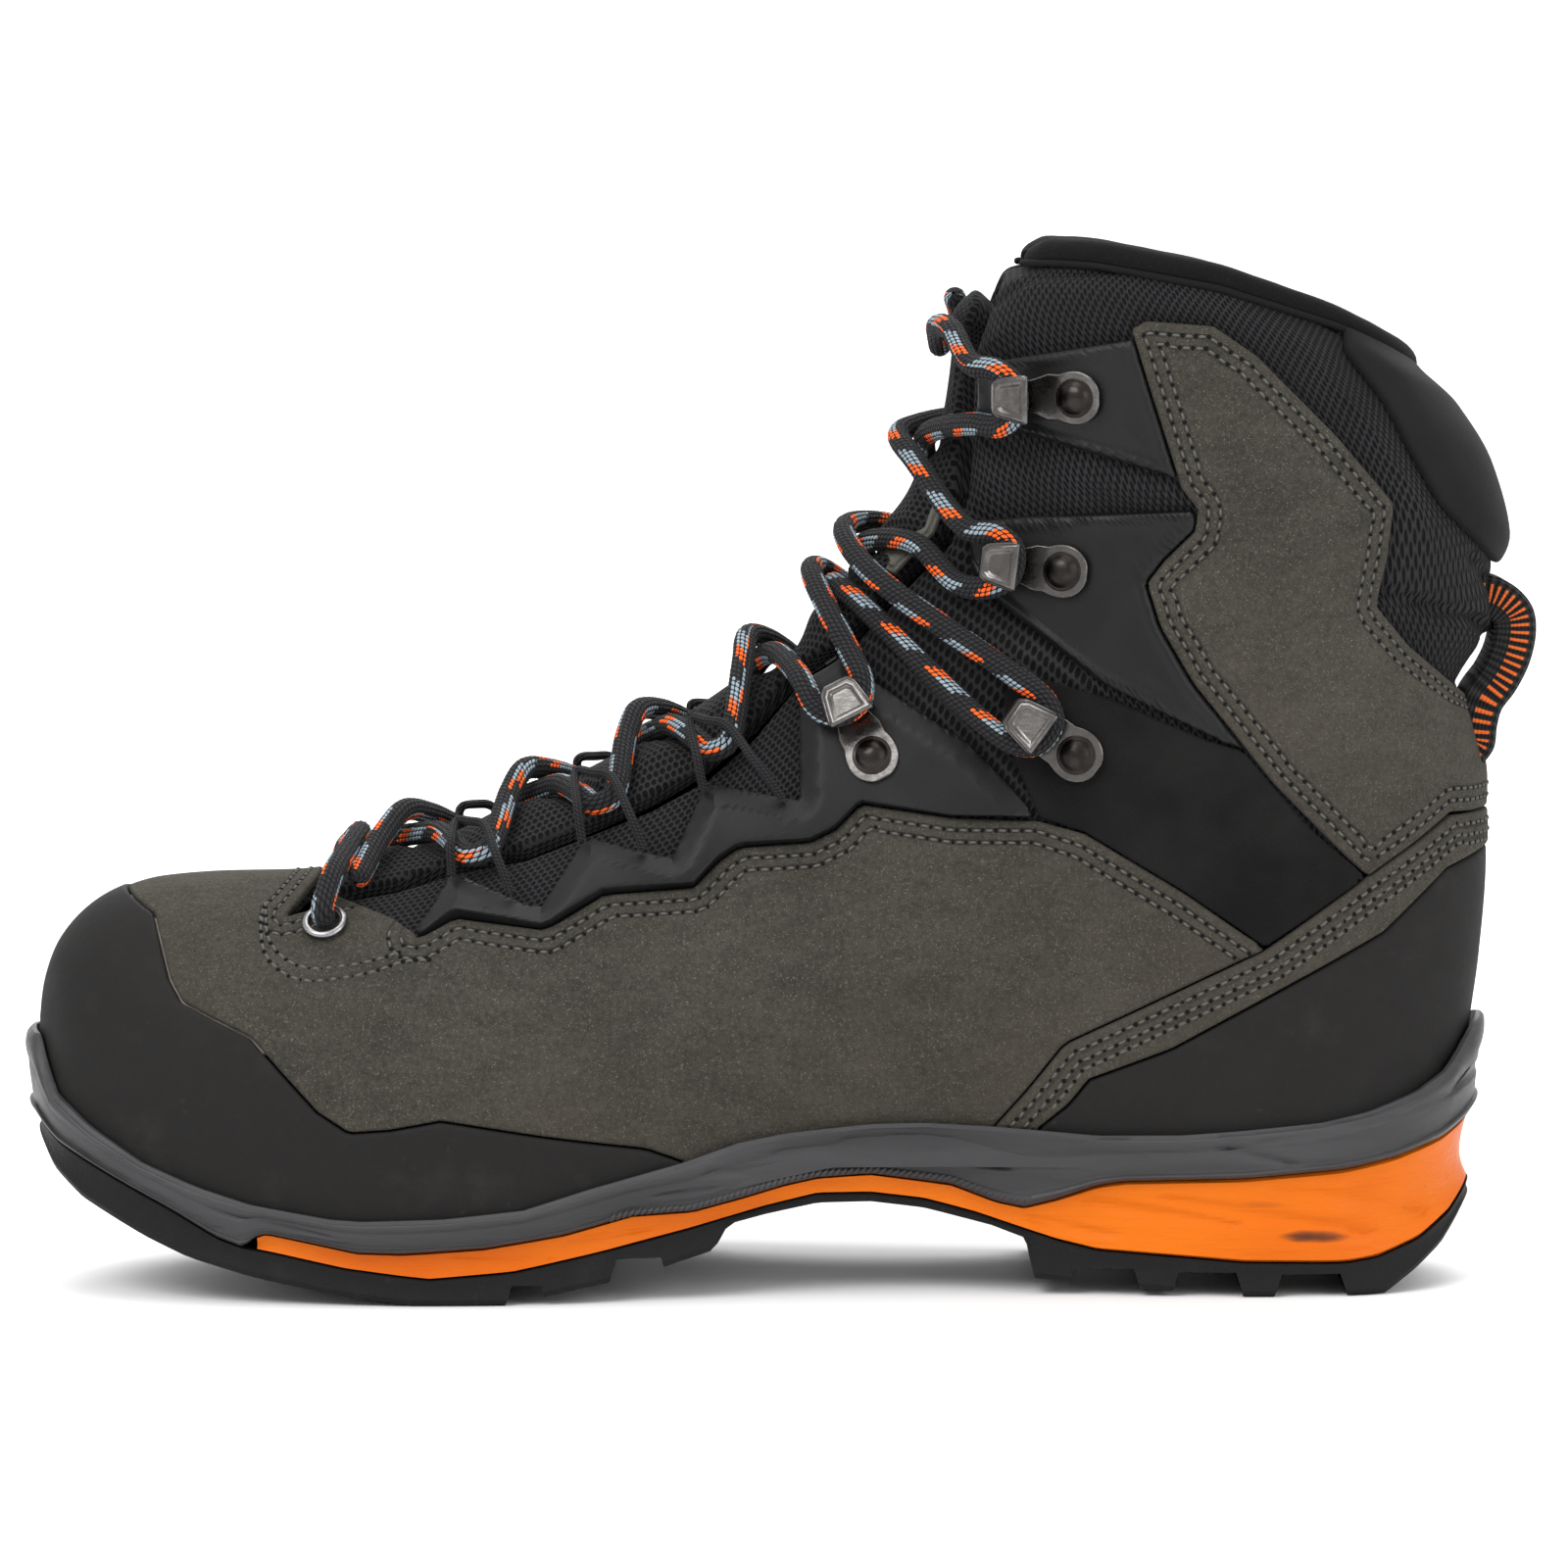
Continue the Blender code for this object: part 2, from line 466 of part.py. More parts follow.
def mesh_from(name, points, faces):
    """Mesh from millimetre points, with doubles welded and faces turned outwards."""
    shape = bmesh.new()
    verts = [shape.verts.new(p) for p in to_metres(points)]
    for face in faces:
        if len(set(face)) >= 3:
            shape.faces.new([verts[k] for k in face])
    bmesh.ops.remove_doubles(shape, verts=shape.verts, dist=2e-6)
    bmesh.ops.dissolve_degenerate(shape, edges=shape.edges, dist=1e-6)
    loose = [v for v in shape.verts if not v.link_faces]
    bmesh.ops.delete(shape, geom=loose, context="VERTS")
    bmesh.ops.triangulate(shape, faces=[f for f in shape.faces if len(f.verts) > 3])
    bmesh.ops.recalc_face_normals(shape, faces=shape.faces)
    mesh = bpy.data.meshes.new(name)
    shape.to_mesh(mesh)
    shape.free()
    mesh.shade_smooth()
    mesh.set_sharp_from_angle(angle=math.radians(40))
    return mesh


# ---------------------------------------------------------------- panels cut from the skin
def inside_outline(outline, points=POINTS):
    """Signed distance in side view to a closed outline, positive inside."""
    ring = np.asarray(outline, float)
    px, pz = points[:, 0], points[:, 2]
    nearest = np.full(len(points), 1e9)
    inside = np.zeros(len(points), bool)
    for a, b in zip(ring, np.roll(ring, -1, axis=0)):
        edge = b - a
        t = ((px - a[0]) * edge[0] + (pz - a[1]) * edge[1]) / max(edge @ edge, 1e-9)
        t = np.clip(t, 0, 1)
        nearest = np.minimum(nearest, np.hypot(px - a[0] - t * edge[0], pz - a[1] - t * edge[1]))
        if a[1] != b[1]:
            crosses = (a[1] > pz) != (b[1] > pz)
            inside ^= crosses & (px < a[0] + (pz - a[1]) / (b[1] - a[1]) * edge[0])
    return np.where(inside, nearest, -nearest)


def on_side(side):
    """Distance from the middle plane, positive on the given side."""
    centre = np.array([section_row(s)[4] for s in NUMBERS])
    return side * (POINTS[:, 1] - centre)


def largest_piece(faces):
    """The biggest set of faces that hang together by shared edges."""
    parent = list(range(len(faces)))

    def root(i):
        while parent[i] != i:
            parent[i] = parent[parent[i]]
            i = parent[i]
        return i

    owner = {}
    for i, face in enumerate(faces):
        for a, b in zip(face, face[1:] + face[:1]):
            key = (min(a, b), max(a, b))
            if key in owner:
                parent[root(i)] = root(owner[key])
            else:
                owner[key] = i
    groups = {}
    for i in range(len(faces)):
        groups.setdefault(root(i), []).append(i)
    best = max(groups.values(), key=len)
    return [faces[i] for i in best]


def cut_panel(name, field, inner, outer, finish, group, triangles=FINE_TRIANGLES):
    """Solid slice of the skin where the field is positive, between two offsets.

    inner and outer are offsets along the outward normal, numbers or one value a point.
    """
    level = field - SEAM
    level = np.where(np.abs(level) < 0.1, -0.1, level)
    inner = np.broadcast_to(inner, level.shape)
    outer = np.broadcast_to(outer, level.shape)
    new_points, index, faces = [], {}, []

    def corner(key):
        if key not in index:
            index[key] = len(new_points)
            if len(key) == 1:
                new_points.append((POINTS[key[0]], OUTWARD[key[0]], inner[key[0]], outer[key[0]]))
            else:
                a, b = key
                t = level[a] / (level[a] - level[b])
                new_points.append(tuple(
                    (1 - t) * first + t * second for first, second in
                    ((POINTS[a], POINTS[b]), (OUTWARD[a], OUTWARD[b]),
                     (inner[a], inner[b]), (outer[a], outer[b]))))
        return index[key]

    for triangle in triangles:
        inside = [level[k] > 0 for k in triangle]
        if not any(inside):
            continue
        ring = []
        for k in range(3):
            a, b = int(triangle[k]), int(triangle[(k + 1) % 3])
            if inside[k]:
                ring.append(corner((a,)))
            if inside[k] != inside[(k + 1) % 3]:
                ring.append(corner((min(a, b), max(a, b))))
        if len(ring) == 4:
            faces += [[ring[0], ring[1], ring[2]], [ring[0], ring[2], ring[3]]]
        else:
            faces.append(ring)
    faces = largest_piece(faces)
    used = sorted({k for face in faces for k in face})
    place = {old: new for new, old in enumerate(used)}
    faces = [[place[k] for k in face] for face in faces]
    count = len(used)
    top = [new_points[k][0] + new_points[k][1] * new_points[k][3] for k in used]
    bottom = [new_points[k][0] + new_points[k][1] * new_points[k][2] for k in used]
    edges = {}
    for face in faces:
        for a, b in zip(face, face[1:] + face[:1]):
            edges[(a, b)] = True
    solid = [list(face) for face in faces]
    solid += [[k + count for k in reversed(face)] for face in faces]
    for a, b in edges:
        if (b, a) not in edges:
            solid.append([b, a, a + count, b + count])
    return add_object(name, mesh_from(name, top + bottom, solid), finish, group)


def minus(field, *others):
    """A field with other panels' fields cut out of it."""
    for other in others:
        field = np.minimum(field, -other)
    return field


def build_upper(group):
    medial, lateral = on_side(-1), on_side(1)
    throat = inside_outline(THROAT)
    toe_rand = inside_outline(TOE_RAND)
    band = inside_outline(BAND_TOP + BAND_BOTTOM[::-1])
    heel_rand = inside_outline(BAND_BOTTOM + [(175, -5), (55, -5)])
    frame = inside_outline(ZIGZAG + SUEDE_EDGE[:3:-1])
    wrap = inside_outline(ANKLE_WRAP)
    shaft = inside_outline(SHAFT_PANEL)
    wing_upper = inside_outline(WING_UPPER)
    wing_middle = inside_outline(WING_MIDDLE)
    pad = inside_outline(ACHILLES_PAD)
    suede = inside_outline([(-175, -5), (-175, 110), (-91, 110), (-91, 86.6)] + SUEDE_EDGE
                           + [(58.4, 99.2), (68.1, 96.6), (88.5, 84.4), (105.4, 72.8), (106, 72),
                              (64, 52), (50, 35), (45, 15), (45, -5)])
    cut_panel("toe_rand", toe_rand, -SKIN, 0.5, "rand_rubber", group)
    cut_panel("heel_band", minus(band, heel_rand), -SKIN, 0.4, "suede", group)
    cut_panel("heel_rand", heel_rand, -SKIN, 0.0, "rand_rubber", group)
    cut_panel("vamp_quarter", minus(suede, toe_rand, band, heel_rand, frame, wrap, throat),
              -SKIN, 0.0, "suede", group)
    cut_panel("shaft_panel", minus(shaft, wrap, band), -SKIN, 0.2, "suede", group)
    for word, side in (("medial", medial), ("lateral", lateral)):
        only = [medial if word == "lateral" else lateral]
        cut_panel("lace_frame_" + word, minus(frame, throat, *only), -SKIN, 0.9,
                  "moulded_black", group)
        cut_panel("ankle_wrap_" + word, minus(wrap, frame, band, *only), -SKIN, 0.0,
                  "nubuck_black", group)
        cut_panel("wing_upper_" + word, minus(wing_upper, shaft, throat, *only), -SKIN, 0.3,
                  "moulded_black", group)
        cut_panel("wing_middle_" + word, minus(wing_middle, shaft, wrap, throat, *only), -SKIN, 0.3,
                  "moulded_black", group)
        cuff = minus(np.minimum(inside_outline(CUFF), side), throat, inside_outline(GUSSET))
        cut_panel("cuff_mesh_" + word, cuff, UNDER[0], UNDER[1], "mesh_black", group,
                  BASE_TRIANGLES)
        gusset = minus(np.minimum(inside_outline(GUSSET), side), throat)
        cut_panel("gusset_" + word, gusset, UNDER[0], UNDER[1], "mesh_black", group,
                  BASE_TRIANGLES)
    cut_panel("achilles_pad", pad, -SKIN, 0.0, "softshell", group)
    cut_panel("toe_puff", inside_outline(TOE_PUFF), UNDER[0], UNDER[1], "stiffener", group,
              BASE_TRIANGLES)
    cut_panel("heel_counter", minus(inside_outline(COUNTER), inside_outline(CUFF)),
              UNDER[0], UNDER[1], "stiffener", group, BASE_TRIANGLES)

    upward = smoothstep(NUMBERS, 6.0, 14.0)
    opening = throat + 1.0 + 5.0 * upward
    forefoot = -(POINTS[:, 0] + 30.0)
    cut_panel("lining_forefoot", minus(forefoot, opening), LINING_INNER, LINING[1],
              "lining_fabric", group, BASE_TRIANGLES)
    for word, side in (("medial", medial), ("lateral", lateral)):
        cut_panel("lining_" + word, minus(np.minimum(-forefoot, side), opening),
                  LINING_INNER, LINING[1], "lining_fabric", group, BASE_TRIANGLES)
    tongue = throat - 1.2 - 1.6 * upward
    tongue = np.minimum(tongue, POINTS[:, 0] + 90.0)
    return cut_panel("tongue", tongue, TONGUE_INNER, -0.4, "mesh_black", group)


# ---------------------------------------------------------------- sole unit
SOLE_X = np.concatenate([
    -152.7 + 45.0 * np.linspace(0, 1, 8)[:-1] ** 2,
    np.linspace(-107.7, 119.0, 17),
    152.7 - 33.7 * np.linspace(0, 1, 7)[-2::-1] ** 2])
SOLE_X = np.sort(np.concatenate([SOLE_X, [-48.0, -42.0, -8.5, -5.5, 56.5, 57.8, 98.0, 131.0]]))


def outline_at(x, inset):
    """Medial and lateral outline points and plan normals at each x, moved inwards."""
    result = []
    for first, last, flip in ((0, HEEL_INDEX + 1, False), (HEEL_INDEX, len(OUTLINE) + 1, True)):
        order = [k % len(OUTLINE) for k in range(first, last)]
        if flip:
            order = order[::-1]
        loop, normal = OUTLINE[order], NORMALS[order]
        along = np.maximum.accumulate(loop[:, 0]) + np.arange(len(loop)) * 1e-9
        point = np.stack([np.interp(x, along, loop[:, k]) for k in (0, 1)], axis=1)
        turn = np.stack([np.interp(x, along, normal[:, k]) for k in (0, 1)], axis=1)
        turn /= np.linalg.norm(turn, axis=1)[:, None]
        result.append((point - turn * np.reshape(inset, (-1, 1)), turn))
    return result


def ring(inset, level, xs=SOLE_X):
    """A ring of the sole: one medial and one lateral point at each station.

    level gives a point's height from its x.
    """
    inset = np.broadcast_to(inset, xs.shape)
    sides = [np.column_stack([points, level(points[:, 0])]) for points, _ in outline_at(xs, inset)]
    return np.stack(sides, axis=1)


def sheet_tree(offset):
    """Search tree of the skin at an offset."""
    points = BASE_POINTS + BASE_OUTWARD * np.reshape(offset, (-1, 1))
    triangles = [tuple(map(int, t)) for t in BASE_TRIANGLES]
    return BVHTree.FromPolygons([Vector(p) for p in points], triangles)


def reach_ring(tree, levels, clearance, xs=SOLE_X, start=24.0):
    """A ring outside the skin at all the given heights, moved outwards by the clearance.

    Its own height is the last of the levels.
    """
    sides = []
    for point, turn in outline_at(xs, np.zeros(len(xs))):
        places = []
        for j, ((px, py), (nx, ny)) in enumerate(zip(point, turn)):
            reaches = []
            for level in levels:
                origin = Vector((px - nx * start, py - ny * start, level[j]))
                reach = tree.ray_cast(origin, Vector((nx, ny, 0.0)), start + 8.0)[3]
                if reach is not None:
                    reaches.append(reach)
            out = (max(reaches) if reaches else start - UPPER_INSET) - start + clearance
            places.append((px + nx * out, py + ny * out, levels[-1][j]))
        sides.append(places)
    made = np.stack([np.array(sides[0]), np.array(sides[1])], axis=1)
    for end in (0, -1):
        made[end, :] = made[end].mean(axis=0)
    return made


def stack_rings(name, rings, finish, group):
    """Closed solid over rings of stations, with the first and last ring filled across."""
    count = rings[0].shape[0]
    points = np.concatenate([r.reshape(-1, 3) for r in rings])
    faces = []
    for i in range(len(rings) - 1):
        a, b = i * count * 2, (i + 1) * count * 2
        for j in range(count - 1):
            for side in (0, 1):
                p, q = 2 * j + side, 2 * j + 2 + side
                faces.append([a + p, a + q, b + q, b + p])
        for p, q in ((0, 1), (2 * count - 2, 2 * count - 1)):
            faces.append([a + p, a + q, b + q, b + p])
    for start in (0, (len(rings) - 1) * count * 2):
        for j in range(count - 1):
            p = start + 2 * j
            faces.append([p, p + 1, p + 3, p + 2])
    return add_object(name, mesh_from(name, points, faces), finish, group)


def box_cutter(name, low, high, group):
    """A wire box that is cut out of the tread."""
    shape = bmesh.new()
    bmesh.ops.create_cube(shape, size=1.0)
    low, high = to_metres([low])[0], to_metres([high])[0]
    for vert in shape.verts:
        vert.co = Vector([low[k] + (vert.co[k] + 0.5) * (high[k] - low[k]) for k in range(3)])
    mesh = bpy.data.meshes.new(name)
    shape.to_mesh(mesh)
    shape.free()
    made = bpy.data.objects.new(name, mesh)
    made.hide_render = True
    made.display_type = "WIRE"
    group.objects.link(made)
    return made


TREAD_GROOVES = [            # x from, x to, roof height, half length across
    (-50.0, -44.0, 4.2, 80.0), (-28.5, -19.4, 9.2, 80.0), (66.4, 78.6, 5.8, 80.0),
    (87.9, 99.7, 5.2, 80.0), (109.2, 121.5, 4.8, 80.0),
    (-78.0, -72.0, 3.4, 30.0), (-100.0, -94.0, 6.6, 28.0), (-121.0, -115.0, 12.4, 22.0)]


def build_sole(group, cutters):
    skin = sheet_tree(np.full(len(BASE_POINTS), 0.75))

    def tread(x):
        return height(TREAD, x)

    def sole_top(x):
        return height(OUTSOLE_TOP, x)

    def edge(x):
        return tread(x) + np.minimum(1.4, 0.5 * (sole_top(x) - tread(x)))

    outsole = stack_rings("outsole", [ring(3.4, tread), ring(2.2, edge), ring(2.2, sole_top)],
                          "tread_rubber", group)
    for number, (x0, x1, roof, half) in enumerate(TREAD_GROOVES):
        cutter = box_cutter("cut_groove_%d" % number, (x0, -half, -9.0), (x1, half, roof), cutters)
        groove = outsole.modifiers.new("groove_%d" % number, "BOOLEAN")
        groove.operation = "DIFFERENCE"
        groove.solver = "EXACT"
        groove.object = cutter

    xs = SOLE_X[SOLE_X > -103.5]
    hollow = 1.3 * smoothstep(xs, 120.0, 150.0)
    stack_rings("midsole", [
        ring(2.5, lambda x: sole_top(x) + 0.3, xs),
        ring(2.7 + hollow, lambda x: 0.5 * (sole_top(x) + 0.3 + height(MIDSOLE_TOP, x)), xs),
        ring(2.4, lambda x: height(MIDSOLE_TOP, x), xs)], "foam_orange", group)

    def bottom(x):
        return height(MIDSOLE_TOP, x) + 0.3

    def part_way(t):
        return lambda x: bottom(x) + t * (height(FRAME_TOP, x) - bottom(x))

    top = height(FRAME_TOP, SOLE_X)
    seat = seat_height(SOLE_X)
    levels = [seat + (top - seat) * t for t in (0.25, 0.5, 0.75, 1.0)]
    wall_in = reach_ring(skin, levels, GAP + 0.05)
    wall_out = reach_ring(skin, levels, GAP + 1.7)
    seat_ring = wall_in.copy()
    seat_ring[:, :, 2] = seat_height(seat_ring[:, :, 0])
    stack_rings("midsole_frame", [
        ring(2.4, bottom), ring(0.3, part_way(0.45)), ring(0.0, part_way(0.62)),
        wall_out, wall_in, seat_ring], "frame_grey", group)

    lining = sheet_tree(BASE_LINING - 0.4)
    flat = seat_height(SOLE_X)
    board = [reach_ring(lining, [flat + 4.3], -1.2), reach_ring(lining, [flat + 4.3], -1.2)]
    board[0][:, :, 2] = (flat + 2.6)[:, None]
    stack_rings("insole_board", board, "board_brown", group)
    footbed = [reach_ring(lining, [flat + 6.5], clearance) for clearance in (-1.9, -1.5, -5.0)]
    for shape, lift in zip(footbed, (4.8, 9.8, 8.8)):
        shape[:, :, 2] = (flat + lift)[:, None]
    stack_rings("footbed", footbed, "footbed_fabric", group)
    shank_x = np.linspace(-18.0, 92.0, 9)
    layers = []
    for lift in (0.9, 2.1):
        level = seat_height(shank_x) + lift
        layers.append(np.stack([np.column_stack([shank_x, np.full(9, side * 8.0), level])
                                for side in (-1, 1)], axis=1))
    stack_rings("shank", layers, "shank_plastic", group)


def seat_height(x):
    """Height of the frame's seat under the upper's bottom edge."""
    rows = SECTION_TABLE[:int(HEEL_TIP) + 1]
    return np.interp(x, rows[:, 2], rows[:, 3]) - SEAT_DROP


# ---------------------------------------------------------------- hooks, eyelets, lace
HOOKS = {                     # head centre x, z and rivet x, z in side view
    1: ((55.5, 187.0), (66.7, 186.5)), 2: ((53.4, 151.7), (64.2, 150.4)),
    3: ((58.8, 118.2), (66.6, 112.6)), 4: ((19.6, 121.1), (24.6, 111.4))}
EYELET = (-88.9, 77.4)
HOOK_PROFILE = [              # along the plate from the rivet's end, height, width
    (-6.2, 0.5, 7.0), (-4.0, 0.5, 10.4), (4.0, 0.5, 11.0), (9.0, 0.5, 7.4), (13.5, 0.6, 5.2),
    (15.6, 1.6, 4.4), (16.0, 4.6, 4.4), (15.6, 6.8, 6.4), (14.4, 7.9, 8.0), (10.6, 8.6, 9.4),
    (7.2, 9.0, 10.2)]
HOOK_THICKNESS = 1.0


def strap(profile, thickness):
    """Rectangular sections of varying width along a profile in the local XZ plane."""
    path = np.array([(p[0], p[1]) for p in profile], float)
    tangent = np.gradient(path, axis=0)
    tangent /= np.linalg.norm(tangent, axis=1)[:, None]
    normal = np.stack([-tangent[:, 1], tangent[:, 0]], axis=1)
    points, faces = [], []
    for (px, pz), (nx, nz), row in zip(path, normal, profile):
        half = row[2] * 0.5
        for side, lift in ((-1, -0.5), (1, -0.5), (1, 0.5), (-1, 0.5)):
            points.append((px + nx * thickness * lift, side * half, pz + nz * thickness * lift))
    for i in range(len(profile) - 1):
        for k in range(4):
            a, b = 4 * i + k, 4 * i + (k + 1) % 4
            faces.append([a, b, b + 4, a + 4])
    faces += [[0, 1, 2, 3], [4 * len(profile) - 4 + k for k in range(4)]]
    return np.array(points), faces


def local_mesh(name, points, faces):
    """A mesh about its own origin, millimetre points in."""
    shift = np.array([SHIFT_X, SHIFT_Y, 0.0])
    return mesh_from(name, np.asarray(points) - shift, faces)


def surface_matrix(x, z, side, toward, lift):
    """Frame on the skin: local +X points to another side-view point, +Z outwards."""
    s, v = skin_at(x, z, side)
    place, normal = skin_frame(s, v)
    s2, v2 = skin_at(toward[0], toward[1], side)
    along = skin_point(s2, v2) - place
    along -= normal * (along @ normal)
    along /= np.linalg.norm(along)
    across = np.cross(normal, along)
    origin = to_metres([place + normal * lift])[0]
    matrix = Matrix.Identity(4)
    for k in range(3):
        matrix[k] = (along[k], across[k], normal[k], origin[k])
    return matrix


def turned(name, profile, steps, group, finish, matrix):
    """A turned piece: (radius, height) rows from its top axis point down and back."""
    mesh = bpy.data.meshes.new(name)
    points = [(r * 0.001, 0.0, z * 0.001) for r, z in profile]
    closed = profile[0][0] > 0.01
    count = len(points)
    edges = [(k, k + 1) for k in range(count - 1)]
    if closed:
        edges.append((count - 1, 0))
    mesh.from_pydata(points, edges, [])
    made = add_object(name, mesh, finish, group)
    screw = made.modifiers.new("turn", "SCREW")
    screw.axis = "Z"
    screw.steps = steps
    screw.render_steps = steps
    screw.use_merge_vertices = True
    screw.merge_threshold = 0.00001
    made.matrix_world = matrix
    return made


def build_hardware(group):
    points, faces = strap(HOOK_PROFILE, HOOK_THICKNESS)
    for word, side in (("medial", -1), ("lateral", 1)):
        for number, (head, rivet) in HOOKS.items():
            lift = 1.5 if number < 4 else 1.9
            matrix = surface_matrix(rivet[0], rivet[1], side, head, lift)
            mesh = local_mesh("hook_%s_%d" % (word, number), points, faces)
            hook = add_object("hook_%s_%d" % (word, number), mesh, "hook_metal", group)
            hook.matrix_world = matrix
            dome = [(0.0, 2.9), (1.6, 2.65), (2.8, 2.1), (3.5, 1.4), (0.0, 1.4)]
            turned("rivet_%s_%d" % (word, number), dome, 10, group, "hook_metal", matrix)
        ring_profile = [(3.3, 1.1), (4.0, 1.3), (4.8, 0.9), (4.8, 0.5), (3.3, 0.5)]
        matrix = surface_matrix(EYELET[0], EYELET[1], side, (-70.0, 70.0), 0.4)
        turned("eyelet_" + word, ring_profile, 14, group, "eyelet_metal", matrix)


def tube(name, route, radius, finish, group, resolution=2):
    """Round cord along a route of millimetre points."""
    curve = bpy.data.curves.new(name, "CURVE")
    curve.dimensions = "3D"
    curve.bevel_depth = radius * 0.001
    curve.bevel_resolution = resolution
    curve.use_fill_caps = True
    line = curve.splines.new("POLY")
    line.points.add(len(route) - 1)
    for place, point in zip(line.points, to_metres(route)):
        place.co = (*point, 1.0)
    made = bpy.data.objects.new(name, curve)
    curve.materials.append(material(name + "_" + finish, *FINISHES[finish]))
    group.objects.link(made)
    return made


def resample(route, spacing):
    """Even points along a route."""
    dense = spline(route, 12)
    length = np.concatenate([[0], np.cumsum(np.linalg.norm(np.diff(dense, axis=0), axis=1))])
    count = max(int(round(length[-1] / spacing)), 2)
    marks = np.linspace(0, length[-1], count + 1)
    return np.stack([np.interp(marks, length, dense[:, k]) for k in range(3)], axis=1)


def evened(route):
    """A long lace's points: close together round the turns, further apart on the straights."""
    dense = spline(route, 16)
    picked = [0]
    for index in range(1, len(dense) - 1):
        step = np.linalg.norm(dense[index] - dense[picked[-1]])
        if step < 3.5:
            continue
        before = dense[picked[-1] + 1] - dense[picked[-1]]
        after = dense[index + 1] - dense[index]
        bend = math.acos(min(before @ after / np.linalg.norm(before) / np.linalg.norm(after), 1))
        if step > 13.0 or bend > math.radians(26):
            picked.append(index)
    return dense[picked + [len(dense) - 1]]


def lifted(s, v, lift):
    place, normal = skin_frame(s, v)
    return place + normal * lift


LACE_STOPS = [                # side-view place of each turn, its radius and height above the skin
    ("tab", (-82.5, 83.0), 0.0, 3.0),
    ("loop", (-57.0, 89.8), 3.2, 3.4), ("loop", (-31.0, 100.8), 3.2, 3.4),
    ("loop", (-7.0, 112.6), 3.2, 3.4),
    ("hook", (19.6, 121.1), 5.5, 6.3), ("hook", (58.8, 118.2), 5.5, 5.9),
    ("hook", (53.4, 151.7), 5.5, 5.9), ("hook", (55.5, 187.0), 5.9, 6.3)]
LACE_LOW, LACE_HIGH = 3.1, 8.6
CROSSING_SAG = {6: 1.5}       # how many section lines a crossing lies below the direct way


def lace_turn(index, side):
    """The lace's points round one loop or hook, from the toe side to the top side."""
    kind, (x, z), radius, lift = LACE_STOPS[index]
    s, v = skin_at(x, z, side)
    place, normal = skin_frame(s, v)
    if kind == "tab":
        return [place + normal * lift]
    if kind == "hook":
        number = {4: 4, 5: 3, 6: 2, 7: 1}[index]
        s2, v2 = skin_at(*HOOKS[number][1], side)
        outward = skin_point(s2, v2) - place
    else:
        outward = skin_point(s, v * 1.15) - place
    outward -= normal * (outward @ normal)
    outward /= np.linalg.norm(outward)
    upward = np.cross(normal, outward)
    top = skin_point(min(s + 0.5, TOP), v) - place
    if upward @ top < 0:
        upward = -upward
    centre = place - outward * (2.2 if kind == "hook" else 0.5)
    arc = [centre + radius * (outward * math.cos(a) + upward * math.sin(a)) + normal * lift
           for a in np.radians([-80, -30, 30, 80])]
    if kind == "hook":
        past_neck = centre - outward * 7.0 + normal * (lift - 1.2)
        beside = upward * (radius + 0.3)
        arc = [past_neck - beside] + arc + [past_neck + beside]
    return arc


def lace_route(start_side, over_first):
    """One half of the lace, from its eyelet tab to its last hook."""
    side = start_side
    route = list(lace_turn(0, side))
    for index in range(1, len(LACE_STOPS)):
        turn = lace_turn(index, -side)
        s0, v0 = skin_at(route[-1][0], route[-1][2], side)
        s1, v1 = skin_at(turn[0][0], turn[0][2], -side)
        over = (index % 2 == 1) == over_first
        lifts = (6.4, LACE_HIGH, 6.4) if over else (LACE_LOW,) * 3
        crossing = abs(v0) / (abs(v0) + abs(v1))
        for step, sag, lift in zip((-0.2, 0.0, 0.2), (1.0, 0.9, 0.1), lifts):
            t = crossing + step
            s = s0 + (s1 - s0) * t - sag * CROSSING_SAG.get(index, 0.0)
            route.append(lifted(s, v0 + (v1 - v0) * t, lift))
        route += turn
        side = -side
    return route


def build_lace(group):
    eyelets = []
    for side in (-1, 1):
        s, v = skin_at(EYELET[0], EYELET[1], side)
        eyelets.append([lifted(s, v, 0.7), lifted(s, v, 2.4), lifted(s, v, 4.4),
                        lifted(s + 0.15, v * 0.78, 6.6), lifted(s + 0.35, v * 0.4, 5.6)])
    middle = [lifted(skin_at(-82.0, 84.0, 1)[0], 0.0, 6.0)]
    bar = resample(eyelets[0][1:] + middle + eyelets[1][:0:-1], 7.0)
    bar = np.vstack([eyelets[0][:1], bar, eyelets[1][:1]])
    tube("lace_bar", bar, LACE_RADIUS, "lace_cord", group)
    end_a = [lifted(28.4, 0.11, 3.6), lifted(29.1, 0.06, 3.3)]
    end_b = [lifted(27.9, -0.08, 3.4), lifted(27.8, -0.02, 3.2), lifted(27.3, 0.035, 3.2),
             lifted(26.5, 0.06, 3.3)]
    for name, route in (("lace_strand_a", lace_route(-1, True) + end_a),
                        ("lace_strand_b", lace_route(1, False) + end_b)):
        tube(name, evened(route), LACE_RADIUS, "lace_cord", group)


CORD_LOOPS = [                # foot, tip, tip, foot of each thin loop in side view
    ((-62.4, 85.6), (-60.0, 91.4), (-54.6, 91.4), (-50.0, 82.8)),
    ((-35.4, 93.0), (-34.4, 102.0), (-28.0, 102.0), (-23.0, 92.2)),
    ((-10.4, 103.8), (-10.4, 113.8), (-3.8, 113.8), (6.0, 102.6))]


def between(a, b, t):
    return a[0] + (b[0] - a[0]) * t, a[1] + (b[1] - a[1]) * t


